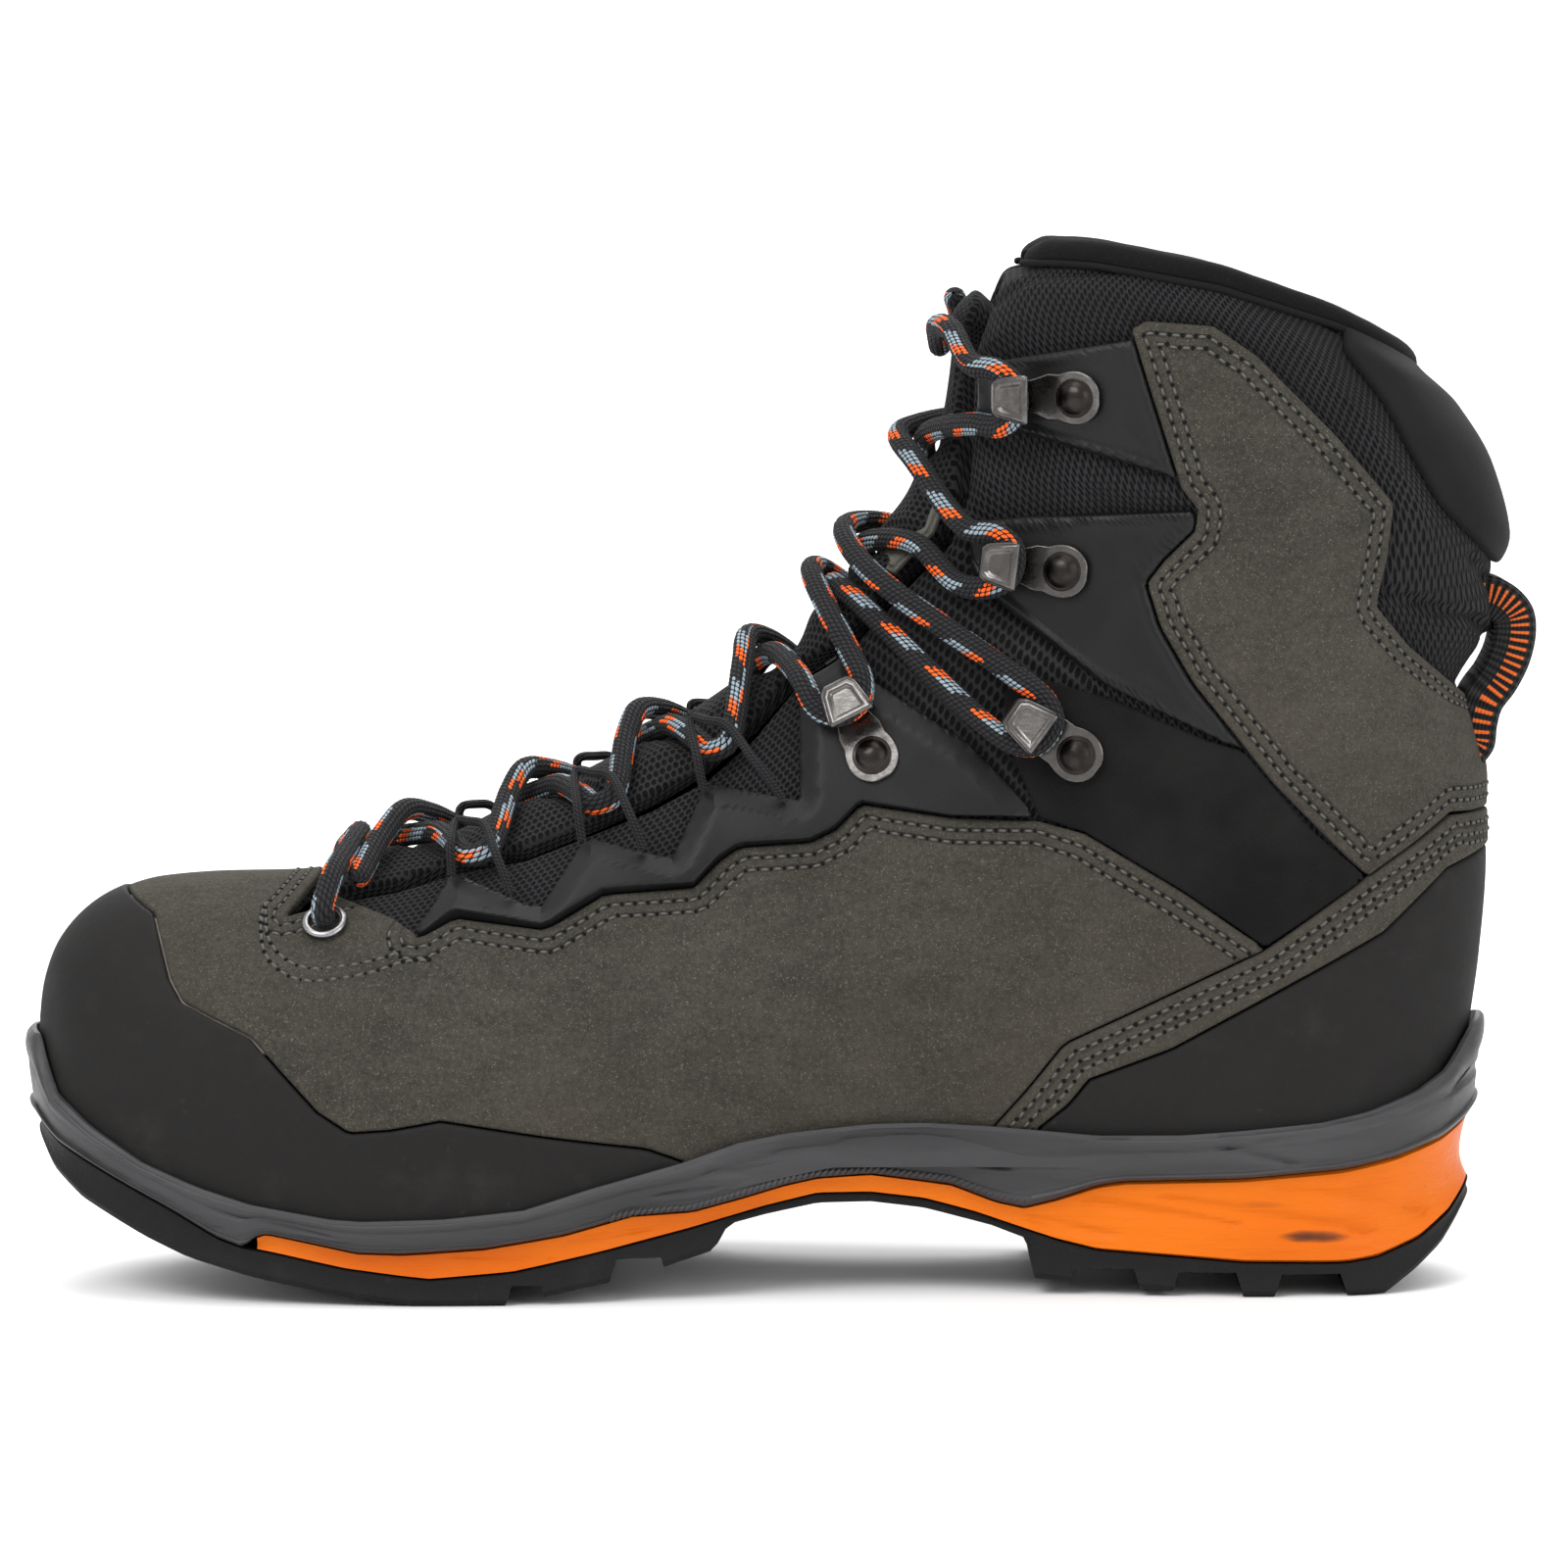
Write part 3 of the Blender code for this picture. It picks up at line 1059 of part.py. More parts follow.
def build_loops(group):
    for word, side in (("medial", -1), ("lateral", 1)):
        for number, (foot_a, tip_a, tip_b, foot_b) in enumerate(CORD_LOOPS, start=1):
            stops = [(*foot_a, 2.2), (*between(foot_a, tip_a, 0.35), 6.9), (*tip_a, 7.3),
                     (*between(tip_a, tip_b, 0.5), 7.6), (*tip_b, 7.3),
                     (*between(foot_b, tip_b, 0.45), 6.9), (*foot_b, 2.2)]
            route = [lifted(*skin_at(x, z, side), lift) for x, z, lift in stops]
            tube("cord_loop_%s_%d" % (word, number), resample(route, 5.0), LOOP_RADIUS,
                 "lace_cord", group, 1)


# ---------------------------------------------------------------- collar, patch, pull loop
def build_trim(group):
    foot = abs(skin_at(48.5, 207.0, -1)[1])
    route = []
    for v in np.concatenate([np.linspace(-foot, -1.0, 13), np.linspace(1.0, foot, 13)[1:]]):
        place, normal = skin_frame(TOP, v)
        inward = np.array([normal[0], normal[1], 0.0]) * -ROLL_INSET
        route.append(place + inward + np.array([0.0, 0.0, ROLL_RADIUS + 0.5]))
    tube("collar_roll", resample(route, 9.0), ROLL_RADIUS, "mesh_black", group)

    field = inside_outline([(25.5, 150.0), (33.0, 147.5), (41.0, 158.0), (45.0, 166.5), (30.0, 166.5)])
    shrunk = np.minimum(field, inside_outline(THROAT) - 2.5)
    cut_panel("tongue_patch", shrunk, -0.05, 0.4, "suede", group)

    profile = [
        (155.6, 147.0, 20.0), (159.5, 144.6, 20.0), (162.0, 141.2, 20.0), (162.6, 136.8, 20.0),
        (161.4, 130.6, 20.0), (158.6, 124.8, 20.0), (155.6, 120.6, 20.0), (154.6, 117.0, 20.0),
        (155.4, 112.5, 20.0)]
    points, faces = strap(profile, 1.7)
    add_object("pull_loop", mesh_from("pull_loop", points, faces), "webbing", group)


def set_hinge_origin(thing, place):
    """Moves an object's origin onto its joint's axis without moving its shape."""
    origin = Vector(to_metres([place])[0])
    thing.data.transform(Matrix.Translation(-origin))
    thing.location = origin


def main():
    clear_scene()
    boot = make_collection("hiking_boot")
    cutters = make_collection("cutters")
    tongue = build_upper(boot)
    build_sole(boot, cutters)
    build_hardware(boot)
    build_loops(boot)
    build_lace(boot)
    build_trim(boot)
    set_hinge_origin(tongue, HINGE_TONGUE)
    set_hinge_origin(bpy.data.objects["tongue_patch"], HINGE_TONGUE)
    set_hinge_origin(bpy.data.objects["footbed"], HINGE_FOOTBED)


main()
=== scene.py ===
"""The look of a mid-height hiking boot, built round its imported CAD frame.

Millimetres are used throughout, in the part's own axes: the toe points to -X, the medial side
to -Y and up is +Z. to_metres moves them into the row frame.
"""
import math
import bmesh
import bpy
import numpy as np
from mathutils import Matrix, Vector
from mathutils.bvhtree import BVHTree
from mathutils.kdtree import KDTree


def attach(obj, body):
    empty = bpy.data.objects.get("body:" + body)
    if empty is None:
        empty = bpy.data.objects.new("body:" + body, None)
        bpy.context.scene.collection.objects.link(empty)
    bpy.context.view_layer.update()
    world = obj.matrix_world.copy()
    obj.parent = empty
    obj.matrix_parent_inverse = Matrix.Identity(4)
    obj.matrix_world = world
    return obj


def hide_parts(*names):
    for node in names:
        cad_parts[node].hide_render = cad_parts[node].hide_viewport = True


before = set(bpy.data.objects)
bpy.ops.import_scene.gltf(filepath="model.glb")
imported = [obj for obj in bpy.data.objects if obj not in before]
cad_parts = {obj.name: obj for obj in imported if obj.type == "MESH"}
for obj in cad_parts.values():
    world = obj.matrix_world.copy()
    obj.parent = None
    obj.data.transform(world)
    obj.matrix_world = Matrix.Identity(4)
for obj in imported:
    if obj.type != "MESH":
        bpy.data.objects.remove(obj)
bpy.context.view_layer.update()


# ---------------------------------------------------------------- driving dimensions, mm
SHIFT_X = -5.2          # brings the middle of the boot's length to x = 0
SHIFT_Y = -1.6          # and the middle of its width to y = 0
SKIN = 1.5              # thickness of the outer panels
UNDER = (-3.1, -1.9)    # inner and outer face of the layer beneath them
LINING = (-5.4, -3.4)   # inner and outer face of the lining at the foot
COLLAR_PAD = 4.0        # how much thicker the lining is at the ankle collar
SEAM = 0.22             # half of the gap where two panels meet
GAP = 0.35              # clearance between touching pieces
SEAT_DROP = 1.0         # the frame's seat lies this far under the upper's bottom edge
UPPER_INSET = 2.8       # the upper stands this far inside the sole's outline
FOOT_BULGE = 1.2        # the upper's side bulges this much over its bottom edge
LACE_RADIUS = 2.4
LOOP_RADIUS = 0.95      # of the thin cord loops
STITCH_PITCH = 2.7
STITCH_LENGTH = 1.75
STITCH_RADIUS = 0.31
STITCH_ROOM = 1.4       # a stitch stays at least this far from its panel's edge
HOLE_RADIUS = 0.52      # of the dark needle holes between the stitches

# plan outline of the sole: medial branch, then lateral branch, both from toe to heel
OUTLINE_MEDIAL = [
    (-152.7, -9), (-151, -20), (-145.5, -31), (-134, -40.5), (-115, -47.5), (-90, -51.5),
    (-62, -52.5), (-38, -50), (-12, -43), (12, -37), (36, -34.5), (60, -35.5), (85, -38),
    (108, -39), (127, -36), (141, -27.5), (150, -14.5), (152.7, 0)]
OUTLINE_LATERAL = [
    (-152.7, -9), (-151.5, 2), (-146.5, 14), (-136, 26), (-120, 37), (-98, 46.5), (-72, 53),
    (-45, 55.5), (-18, 54), (8, 50), (34, 45.5), (60, 42), (85, 40.5), (108, 39.5),
    (127, 36), (141, 27.5), (150, 14.5), (152.7, 0)]

# heights along the sole, as (x, z) points
TREAD = [
    (-152.7, 35.5), (-150, 31), (-146, 25.5), (-139.7, 20.4), (-125.9, 13.2), (-117, 9.3),
    (-103.8, 5.6), (-85.4, 1.9), (-71, 0), (-48, 0), (-42, 1.9), (-28.5, 4.5), (-19.4, 6.8),
    (-8.5, 10.1), (-5.5, 15.4), (2, 17.2), (13, 19.3), (24, 19.4), (35, 18), (49, 14.4),
    (56.5, 11.6), (57.8, 3.3), (78.6, 1.6), (98, 0), (131, 0), (137.6, 4.4), (143.4, 9),
    (148.2, 15), (152.7, 19)]
OUTSOLE_TOP = [
    (-152.7, 37), (-150, 35.5), (-144.7, 31.4), (-136, 27), (-120.3, 19.2), (-111, 13.8),
    (-106, 12), (-98.2, 10.5), (-84.4, 7.6), (-72.4, 6), (-66.9, 5.4), (-49.7, 6.8),
    (-31, 10.7), (-14.4, 14.6), (1.9, 18.9), (13, 21.3), (23.9, 21.3), (35.1, 19.9),
    (46, 17), (54.3, 14.2), (62.7, 11.4), (71, 9.4), (88.5, 8.1), (101.3, 7.1), (122.4, 6.8),
    (129.2, 7.7), (138.3, 11), (145.1, 15.6), (149.5, 20.5), (152.7, 23)]
MIDSOLE_TOP = [
    (-152.7, 37), (-150, 35.5), (-144.7, 31.4), (-136, 27), (-120.3, 19.2), (-111, 13.8),
    (-106, 12.8), (-100.5, 14.7), (-92.9, 13.2), (-81.7, 10.9), (-72.4, 10.7), (-55.7, 11.8),
    (-39.2, 14.4), (-25.4, 18), (-12.8, 18.4), (-2, 21), (6, 23.2), (13, 24.6), (23.9, 25.2),
    (40.7, 22.9), (49.9, 19.4), (55.9, 18.2), (62.7, 20), (71, 22.9), (76.6, 23.8),
    (101.3, 24.6), (122.4, 26.4), (132.9, 28.4), (143.4, 31.6), (148.8, 34.5), (152.7, 37)]
FRAME_TOP = [
    (-152.7, 54), (-150.5, 53.2), (-149, 48.5), (-146.3, 41.9), (-138.1, 35.6), (-126.5, 28.9),
    (-114.9, 24.3), (-103.8, 21), (-87.3, 18.2), (-80.7, 17.8), (-64.2, 18.3), (-47.5, 20),
    (-33.6, 24.2), (-14.9, 28.9), (-3.3, 32.8), (6, 34.5), (23.9, 36.3), (35, 36.5),
    (48.9, 35.7), (71, 33.8), (88.5, 34), (101.3, 35), (117.2, 36.5), (127.7, 38.6),
    (138.3, 42.1), (145.1, 45.8), (149.2, 50.5), (152.7, 56)]

# section lines of the upper: front end x, z; foot end x, z; centre line y; half widths of the
# leg, medial and lateral; where along the line it is widest; roundness of the front
SECTIONS = [
    (-149.9, 56.0, -149.9, 40.5, -9.0, 38.0, 42.0, 0.50, 2.0),
    (-149.0, 62.5, -148.8, 38.6, -9.0, 38.0, 42.0, 0.42, 2.1),
    (-146.6, 70.0, -146.0, 35.8, -8.8, 38.0, 42.0, 0.38, 2.2),
    (-141.3, 77.2, -140.5, 32.3, -8.5, 38.0, 42.0, 0.35, 2.3),
    (-134.0, 82.2, -133.0, 28.5, -8.2, 38.0, 42.0, 0.33, 2.4),
    (-124.5, 85.2, -123.5, 24.0, -8.0, 38.0, 42.0, 0.32, 2.5),
    (-111.0, 86.2, -110.5, 18.5, -7.5, 38.0, 42.0, 0.31, 2.5),
    (-97.0, 86.4, -97.0, 16.2, -7.0, 38.0, 42.0, 0.30, 2.4),
    (-84.0, 88.0, -84.0, 14.8, -6.4, 38.0, 42.0, 0.30, 2.3),
    (-68.0, 91.5, -68.0, 14.4, -5.6, 38.0, 42.0, 0.30, 2.2),
    (-50.0, 97.5, -50.0, 15.9, -4.8, 38.0, 42.0, 0.29, 2.1),
    (-30.0, 107.0, -28.0, 21.0, -4.0, 38.0, 42.0, 0.27, 2.0),
    (-11.0, 118.0, -5.0, 24.0, -3.2, 37.0, 43.0, 0.26, 2.0),
    (3.0, 128.0, 16.0, 28.2, -2.4, 36.0, 43.0, 0.26, 2.0),
    (10.0, 134.0, 42.0, 28.2, -1.8, 35.5, 42.0, 0.27, 2.0),
    (16.0, 141.0, 70.0, 28.0, -1.2, 35.5, 40.0, 0.30, 2.0),
    (21.5, 147.8, 97.0, 28.7, -0.8, 36.5, 39.0, 0.34, 2.0),
    (26.5, 154.0, 120.0, 30.2, -0.5, 37.0, 38.5, 0.38, 2.0),
    (30.5, 158.8, 137.0, 33.4, -0.3, 37.5, 38.5, 0.42, 2.0),
    (33.0, 162.0, 146.5, 36.8, -0.1, 38.0, 38.5, 0.44, 2.0),
    (34.6, 164.6, 149.9, 39.8, 0.0, 38.0, 38.5, 0.45, 2.0),
    (36.2, 168.0, 150.3, 50.0, 0.0, 38.5, 38.5, 0.46, 2.0),
    (37.8, 172.5, 152.6, 68.0, 0.0, 38.5, 38.5, 0.46, 2.0),
    (39.0, 178.0, 154.0, 88.0, 0.0, 38.5, 38.5, 0.47, 2.0),
    (39.8, 183.5, 153.4, 106.0, 0.0, 38.5, 38.5, 0.48, 2.0),
    (40.3, 188.5, 149.8, 122.0, 0.0, 39.0, 39.0, 0.48, 2.1),
    (40.7, 193.0, 149.0, 134.0, 0.0, 40.0, 40.0, 0.49, 2.1),
    (41.0, 197.0, 153.0, 144.0, 0.0, 41.0, 41.0, 0.50, 2.2),
    (41.4, 201.0, 157.2, 156.0, 0.0, 42.0, 42.0, 0.50, 2.2),
    (43.0, 205.5, 153.5, 171.5, 0.0, 42.0, 42.0, 0.50, 2.2),
    (46.5, 210.0, 146.5, 183.5, 0.0, 41.5, 41.5, 0.50, 2.2),
    (51.0, 213.8, 139.0, 192.8, 0.0, 40.5, 40.5, 0.50, 2.2)]
LEG_FROM, LEG_TO = 11.0, 14.0     # section lines where the foot's widths give way to the leg's
HEEL_TIP = 20.0                   # from this line on, a section closes round the heel
TOP = len(SECTIONS) - 1.0

# panel outlines in side view, (x, z); they run past the silhouette where a panel wraps it
THROAT = [
    (-97, 79.2), (-93, 80.2), (-86.7, 83), (-75, 85), (-62.7, 88.8), (-48, 91.6),
    (-34.9, 96.6), (-22, 101.5), (-10.3, 107.8), (-1, 116), (8.5, 127.6), (18.4, 133.6),
    (30, 146), (39.5, 156), (43.2, 166), (44.6, 196), (48, 206), (54, 222), (20, 222),
    (-60, 120), (-90.5, 92), (-91, 86.6)]
SUEDE_EDGE = [
    (-97, 79.2), (-93, 80.2), (-86.7, 83), (-74.9, 79.2), (-68.9, 75.7), (-61.9, 79.4),
    (-43.3, 77.2), (-38.2, 80.1), (-31.2, 84.2), (-12.8, 85.4), (-7.4, 90.8), (-3.3, 93.5),
    (11.3, 94.5), (16.5, 97), (21.9, 102.4), (40.7, 99.7)]
ZIGZAG = [
    (-70.4, 75.5), (-62.7, 87.5), (-44.6, 80.9), (-34.9, 94.9), (-17.3, 91), (-10.3, 105.9),
    (9.1, 103), (9.1, 126.1), (18.4, 131.7), (26, 126.5), (44.2, 115.1), (53, 106.1), (58.4, 99.7)]
TOE_RAND = [
    (-131.7, 96), (-131.7, 83.2), (-124.8, 79.2), (-123.2, 74.5), (-120.9, 66.9), (-118.2, 62.3),
    (-111.6, 59), (-103.8, 55.3), (-98.2, 49.1), (-90, 40.2), (-83.4, 35.9), (-74.9, 36.5),
    (-64.4, 38.4), (-43.3, 34.9), (-22.3, 31.8), (-14.9, 28.9), (-14.9, -5), (-175, -5), (-175, 96)]
BAND_TOP = [
    (44, 15), (49.7, 35.5), (56.5, 43.3), (64, 52.8), (105, 72.2), (127.1, 87.5),
    (144.9, 99.3), (175, 100)]
BAND_BOTTOM = [
    (55, 15), (58.6, 34.9), (65, 40.2), (69.1, 45.4), (86.1, 51.8), (111.2, 65.4),
    (130.2, 75.5), (143.8, 88.1), (153.9, 91.8), (175, 91.8)]
ANKLE_WRAP = [
    (58.6, 128.6), (51.2, 125.5), (51.8, 115.2), (58.4, 99.7), (68.1, 96.6), (88.5, 84.4),
    (105.4, 72.8), (127.1, 87.1), (114.3, 98), (100.7, 113.9), (93.3, 116), (71.2, 125.1)]
SHAFT_PANEL = [
    (77, 200.5), (80, 202.4), (93.9, 201.4), (102.8, 195.4), (119.7, 178.7), (131.9, 164.5),
    (130.8, 153.9), (128.6, 143.4), (135.6, 135), (149.2, 123.4), (152.5, 118), (175, 116),
    (175, 98), (144.9, 99.7), (132.3, 90.8), (127.1, 87.1), (121.8, 91.8), (107.1, 106.5),
    (90.2, 127.5), (83.4, 139.1), (80.5, 148.2), (84, 152.9), (90.2, 159.1), (90.8, 163.4),
    (87.5, 167.6), (84.4, 177.1), (80.7, 188.6)]
WING_UPPER = [
    (46, 180.8), (46.6, 193.3), (57.6, 195.3), (80, 199), (92, 190), (91, 168.5), (60.7, 177.1)]
WING_MIDDLE = [
    (44.6, 149.6), (45.2, 160.6), (56.5, 161.8), (94, 163.6), (95, 140), (101, 113.5),
    (92, 117.5), (71, 127.5), (49.1, 144.4)]
ACHILLES_PAD = [
    (121.8, 196), (130.2, 185.5), (135.6, 175), (141.8, 164.5), (150.2, 156), (156, 150.2),
    (175, 148), (175, 215), (121.8, 215)]
CUFF = [
    (14, 139), (24, 97), (60, 92), (106, 75), (126, 90), (146, 102), (175, 102), (175, 225), (14, 225)]
GUSSET = [(-100, 73), (-70, 69), (-44, 71), (-13, 79), (16, 89), (21, 97), (12, 137), (-100, 137)]
SUEDE = ([(-175, -5), (-175, 110), (-91, 110), (-91, 86.6)] + SUEDE_EDGE
         + [(58.4, 99.2), (68.1, 96.6), (88.5, 84.4), (105.4, 72.8), (106, 72), (64, 52), (50, 35),
            (45, 15), (45, -5)])
TONGUE_PATCH = [(25.5, 150.0), (33.0, 147.5), (41.0, 158.0), (45.0, 166.5), (30.0, 166.5)]

# sewn and folded lines in side view
TAB_SEAM = [
    (-102.6, 79.4), (-101.1, 72), (-97, 68.1), (-92.2, 66.7), (-85, 67.3), (-78.8, 68.5),
    (-72.2, 70.6), (-66.7, 71)]
TOE_CREASE = [(-30, 62), (-22, 40)]
PIPING = [
    (47, 204.5), (58.6, 211.3), (79.7, 214), (95.5, 211.7), (111.2, 207.2), (121.8, 200.8),
    (129.2, 194.4), (137.6, 191.9), (143.8, 187.2), (147.1, 180.2), (153.3, 171.9), (157.7, 163.4),
    (158.1, 156), (155, 149.6)]
CUFF_FOLDS = [[(128.6, 146.5), (138, 143.5), (148, 140.5)], [(148, 140.5), (150.5, 133), (149.4, 126)],
              [(150, 152), (154, 146), (152, 141)]]
QUILT = [[(44, 190), (80, 186), (120, 170), (150, 150)], [(40, 160), (80, 156), (120, 142), (150, 126)]]


# ---------------------------------------------------------------- curves and sampling
def spline(points, count, closed=False):
    """Centripetal Catmull-Rom curve through the points, count samples a span."""
    pts = np.asarray(points, float)
    if closed:
        pts = np.vstack([pts[-1], pts, pts[:2]])
    else:
        pts = np.vstack([2 * pts[0] - pts[1], pts, 2 * pts[-1] - pts[-2]])
    samples = []
    for a, b, c, d in zip(pts[:-3], pts[1:-2], pts[2:-1], pts[3:]):
        t1 = math.sqrt(np.linalg.norm(b - a))
        t2 = t1 + math.sqrt(np.linalg.norm(c - b))
        t3 = t2 + math.sqrt(np.linalg.norm(d - c))
        for t in t1 + (t2 - t1) * np.arange(count) / count:
            ab = (a * (t1 - t) + b * t) / t1
            bc = (b * (t2 - t) + c * (t - t1)) / (t2 - t1)
            cd = (c * (t3 - t) + d * (t - t2)) / (t3 - t2)
            abc = (ab * (t2 - t) + bc * t) / t2
            bcd = (bc * (t3 - t) + cd * (t - t1)) / (t3 - t1)
            samples.append((abc * (t2 - t) + bcd * (t - t1)) / (t2 - t1))
    if not closed:
        samples.append(pts[-2])
    return np.array(samples)


def height(points, x):
    """Height of an (x, z) outline at x."""
    table = np.asarray(points, float)
    return np.interp(x, table[:, 0], table[:, 1])


def smoothstep(x, low, high):
    t = np.clip((x - low) / (high - low), 0.0, 1.0)
    return t * t * (3.0 - 2.0 * t)


def arc_length(path):
    """Distance along a path at each of its points."""
    return np.concatenate([[0], np.cumsum(np.linalg.norm(np.diff(path, axis=0), axis=1))])


def at_marks(marks, length, path):
    """A path's points at distances along it."""
    return np.stack([np.interp(marks, length, path[:, k]) for k in range(3)], axis=1)


def unit(rows):
    """Each row scaled to length one."""
    return rows / np.linalg.norm(rows, axis=1)[:, None]


def tube_faces(rings, sides):
    """The quads between rings of points, all the way round."""
    first = np.arange(rings - 1)[:, None] * sides
    a = (first + np.arange(sides)).ravel()
    b = (first + (np.arange(sides) + 1) % sides).ravel()
    return [tuple(quad) for quad in np.stack([a, b, b + sides, a + sides], axis=1).tolist()]


def monotone_slopes(table):
    """Slopes of a piecewise cubic that never overshoots its rows."""
    step = np.diff(table, axis=0)
    slopes = np.zeros_like(table)
    before, after = step[:-1], step[1:]
    same = before * after > 0
    mean = np.where(same, 2 * before * after / np.where(same, before + after, 1.0), 0.0)
    slopes[1:-1] = mean
    slopes[0], slopes[-1] = step[0], step[-1]
    return slopes


SECTION_TABLE = np.array(SECTIONS)
SECTION_SLOPES = monotone_slopes(SECTION_TABLE)


def section_row(s):
    """The section table's values at a real line number."""
    i = int(min(max(math.floor(s), 0), len(SECTIONS) - 2))
    t = s - i
    a, b = SECTION_TABLE[i], SECTION_TABLE[i + 1]
    ma, mb = SECTION_SLOPES[i], SECTION_SLOPES[i + 1]
    return ((2 * t ** 3 - 3 * t ** 2 + 1) * a + (t ** 3 - 2 * t ** 2 + t) * ma
            + (3 * t ** 2 - 2 * t ** 3) * b + (t ** 3 - t ** 2) * mb)


# ---------------------------------------------------------------- plan outline of the sole
OUTLINE = spline(OUTLINE_MEDIAL + OUTLINE_LATERAL[-2:0:-1], 16, closed=True)


def outline_normals(loop):
    """Outward normals of the closed outline in plan."""
    tangent = unit(np.roll(loop, -1, axis=0) - np.roll(loop, 1, axis=0))
    return np.stack([tangent[:, 1], -tangent[:, 0]], axis=1)


NORMALS = outline_normals(OUTLINE)
if np.sum(OUTLINE * NORMALS) < 0:
    NORMALS = -NORMALS
HEEL_INDEX = 16 * (len(OUTLINE_MEDIAL) - 1)


def branches(inset):
    """The outline moved inwards: its medial and lateral halves, each from toe to heel."""
    loop = OUTLINE - NORMALS * inset
    medial = loop[:HEEL_INDEX + 1]
    lateral = np.vstack([loop[HEEL_INDEX:], loop[:1]])[::-1]
    return medial, lateral


UPPER_MEDIAL, UPPER_LATERAL = branches(UPPER_INSET)


def plan_half(x, side, centre):
    """Half width of the upper's plan at x, from its centre line."""
    branch = UPPER_MEDIAL if side < 0 else UPPER_LATERAL
    order = np.maximum.accumulate(branch[:, 0])
    y = np.interp(x, order, branch[:, 1])
    if x <= branch[0, 0] or x >= branch[-1, 0]:
        return 0.0
    return max(side * (y - centre), 0.0)


def section_line(s, side):
    """Points of one half section from its front (v = 0) to its foot (v = 1), and their v."""
    fx, fz, bx, bz, centre, leg_medial, leg_lateral, widest, crown = section_row(s)
    leg = leg_medial if side < 0 else leg_lateral
    middle = bx + (fx - bx) * widest
    tip = smoothstep(s, 0.0, 0.6)
    foot_wide = plan_half(middle, side, centre) + FOOT_BULGE * smoothstep(s, 2.0, 7.0)
    wide = foot_wide * tip ** 0.5 * (1 - smoothstep(s, LEG_FROM, LEG_TO)) if s < LEG_TO else 0.0
    wide += leg * smoothstep(s, LEG_FROM, LEG_TO)
    wide = max(wide, 1e-4)
    base = plan_half(bx, side, centre) if s < HEEL_TIP else 0.0
    ratio = min(base / wide, 0.97) if s > 0 else 0.0
    t = np.linspace(0.0, 1.0, 121)
    t = 0.5 - 0.5 * np.cos(math.pi * t)
    above = np.clip((t - widest) / (1 - widest), 0, 1)
    below = np.clip((widest - t) / widest, 0, 1)
    half = np.where(t >= widest, np.sqrt(np.clip(1 - above ** crown, 0, 1)),
                    np.sqrt(np.clip(1 - (1 - ratio ** 2) * below ** 2.2, 0, 1)))
    points = np.stack([bx + (fx - bx) * t, centre + side * wide * half, bz + (fz - bz) * t], axis=1)
    points = points[::-1]
    length = arc_length(points)
    return points, length / length[-1], t[::-1]


def skin_point(s, v):
    """The point of the skin at section line s and position v round it."""
    points, places, _ = section_line(s, -1 if v < 0 else 1)
    return np.array([np.interp(abs(v), places, points[:, k]) for k in range(3)])


def skin_frame(s, v):
    """Point and outward normal of the skin."""
    ds, dv = 0.05, 0.01
    along = skin_point(min(s + ds, TOP), v) - skin_point(max(s - ds, 0), v)
    if abs(v) < 0.012:
        around = skin_point(s, 0.02) - skin_point(s, -0.02)
    else:
        low, high = max(abs(v) - dv, 0.001), min(abs(v) + dv, 1.0)
        around = (skin_point(s, math.copysign(high, v)) - skin_point(s, math.copysign(low, v)))
        around *= math.copysign(1, v)
    normal = np.cross(along, around)
    normal /= np.linalg.norm(normal)
    place = skin_point(s, v)
    centre = skin_point(s, 0.0) * 0.45 + skin_point(s, 1.0) * 0.275 + skin_point(s, -1.0) * 0.275
    if np.dot(normal, place - centre) < 0:
        normal = -normal
    return place, normal


def skin_at(x, z, side):
    """(s, v) of the skin where it is seen at x, z from one side."""
    low, high = 0.0, TOP

    def offside(s):
        fx, fz, bx, bz = section_row(s)[:4]
        return (fx - bx) * (z - bz) - (fz - bz) * (x - bx)

    for _ in range(40):
        middle = 0.5 * (low + high)
        if offside(middle) > 0:
            high = middle
        else:
            low = middle
    s = 0.5 * (low + high)
    fx, fz, bx, bz = section_row(s)[:4]
    t = ((x - bx) * (fx - bx) + (z - bz) * (fz - bz)) / ((fx - bx) ** 2 + (fz - bz) ** 2)
    _, places, steps = section_line(s, side)
    v = np.interp(min(max(t, 0.0), 1.0), steps[::-1], places[::-1])
    return s, side * v


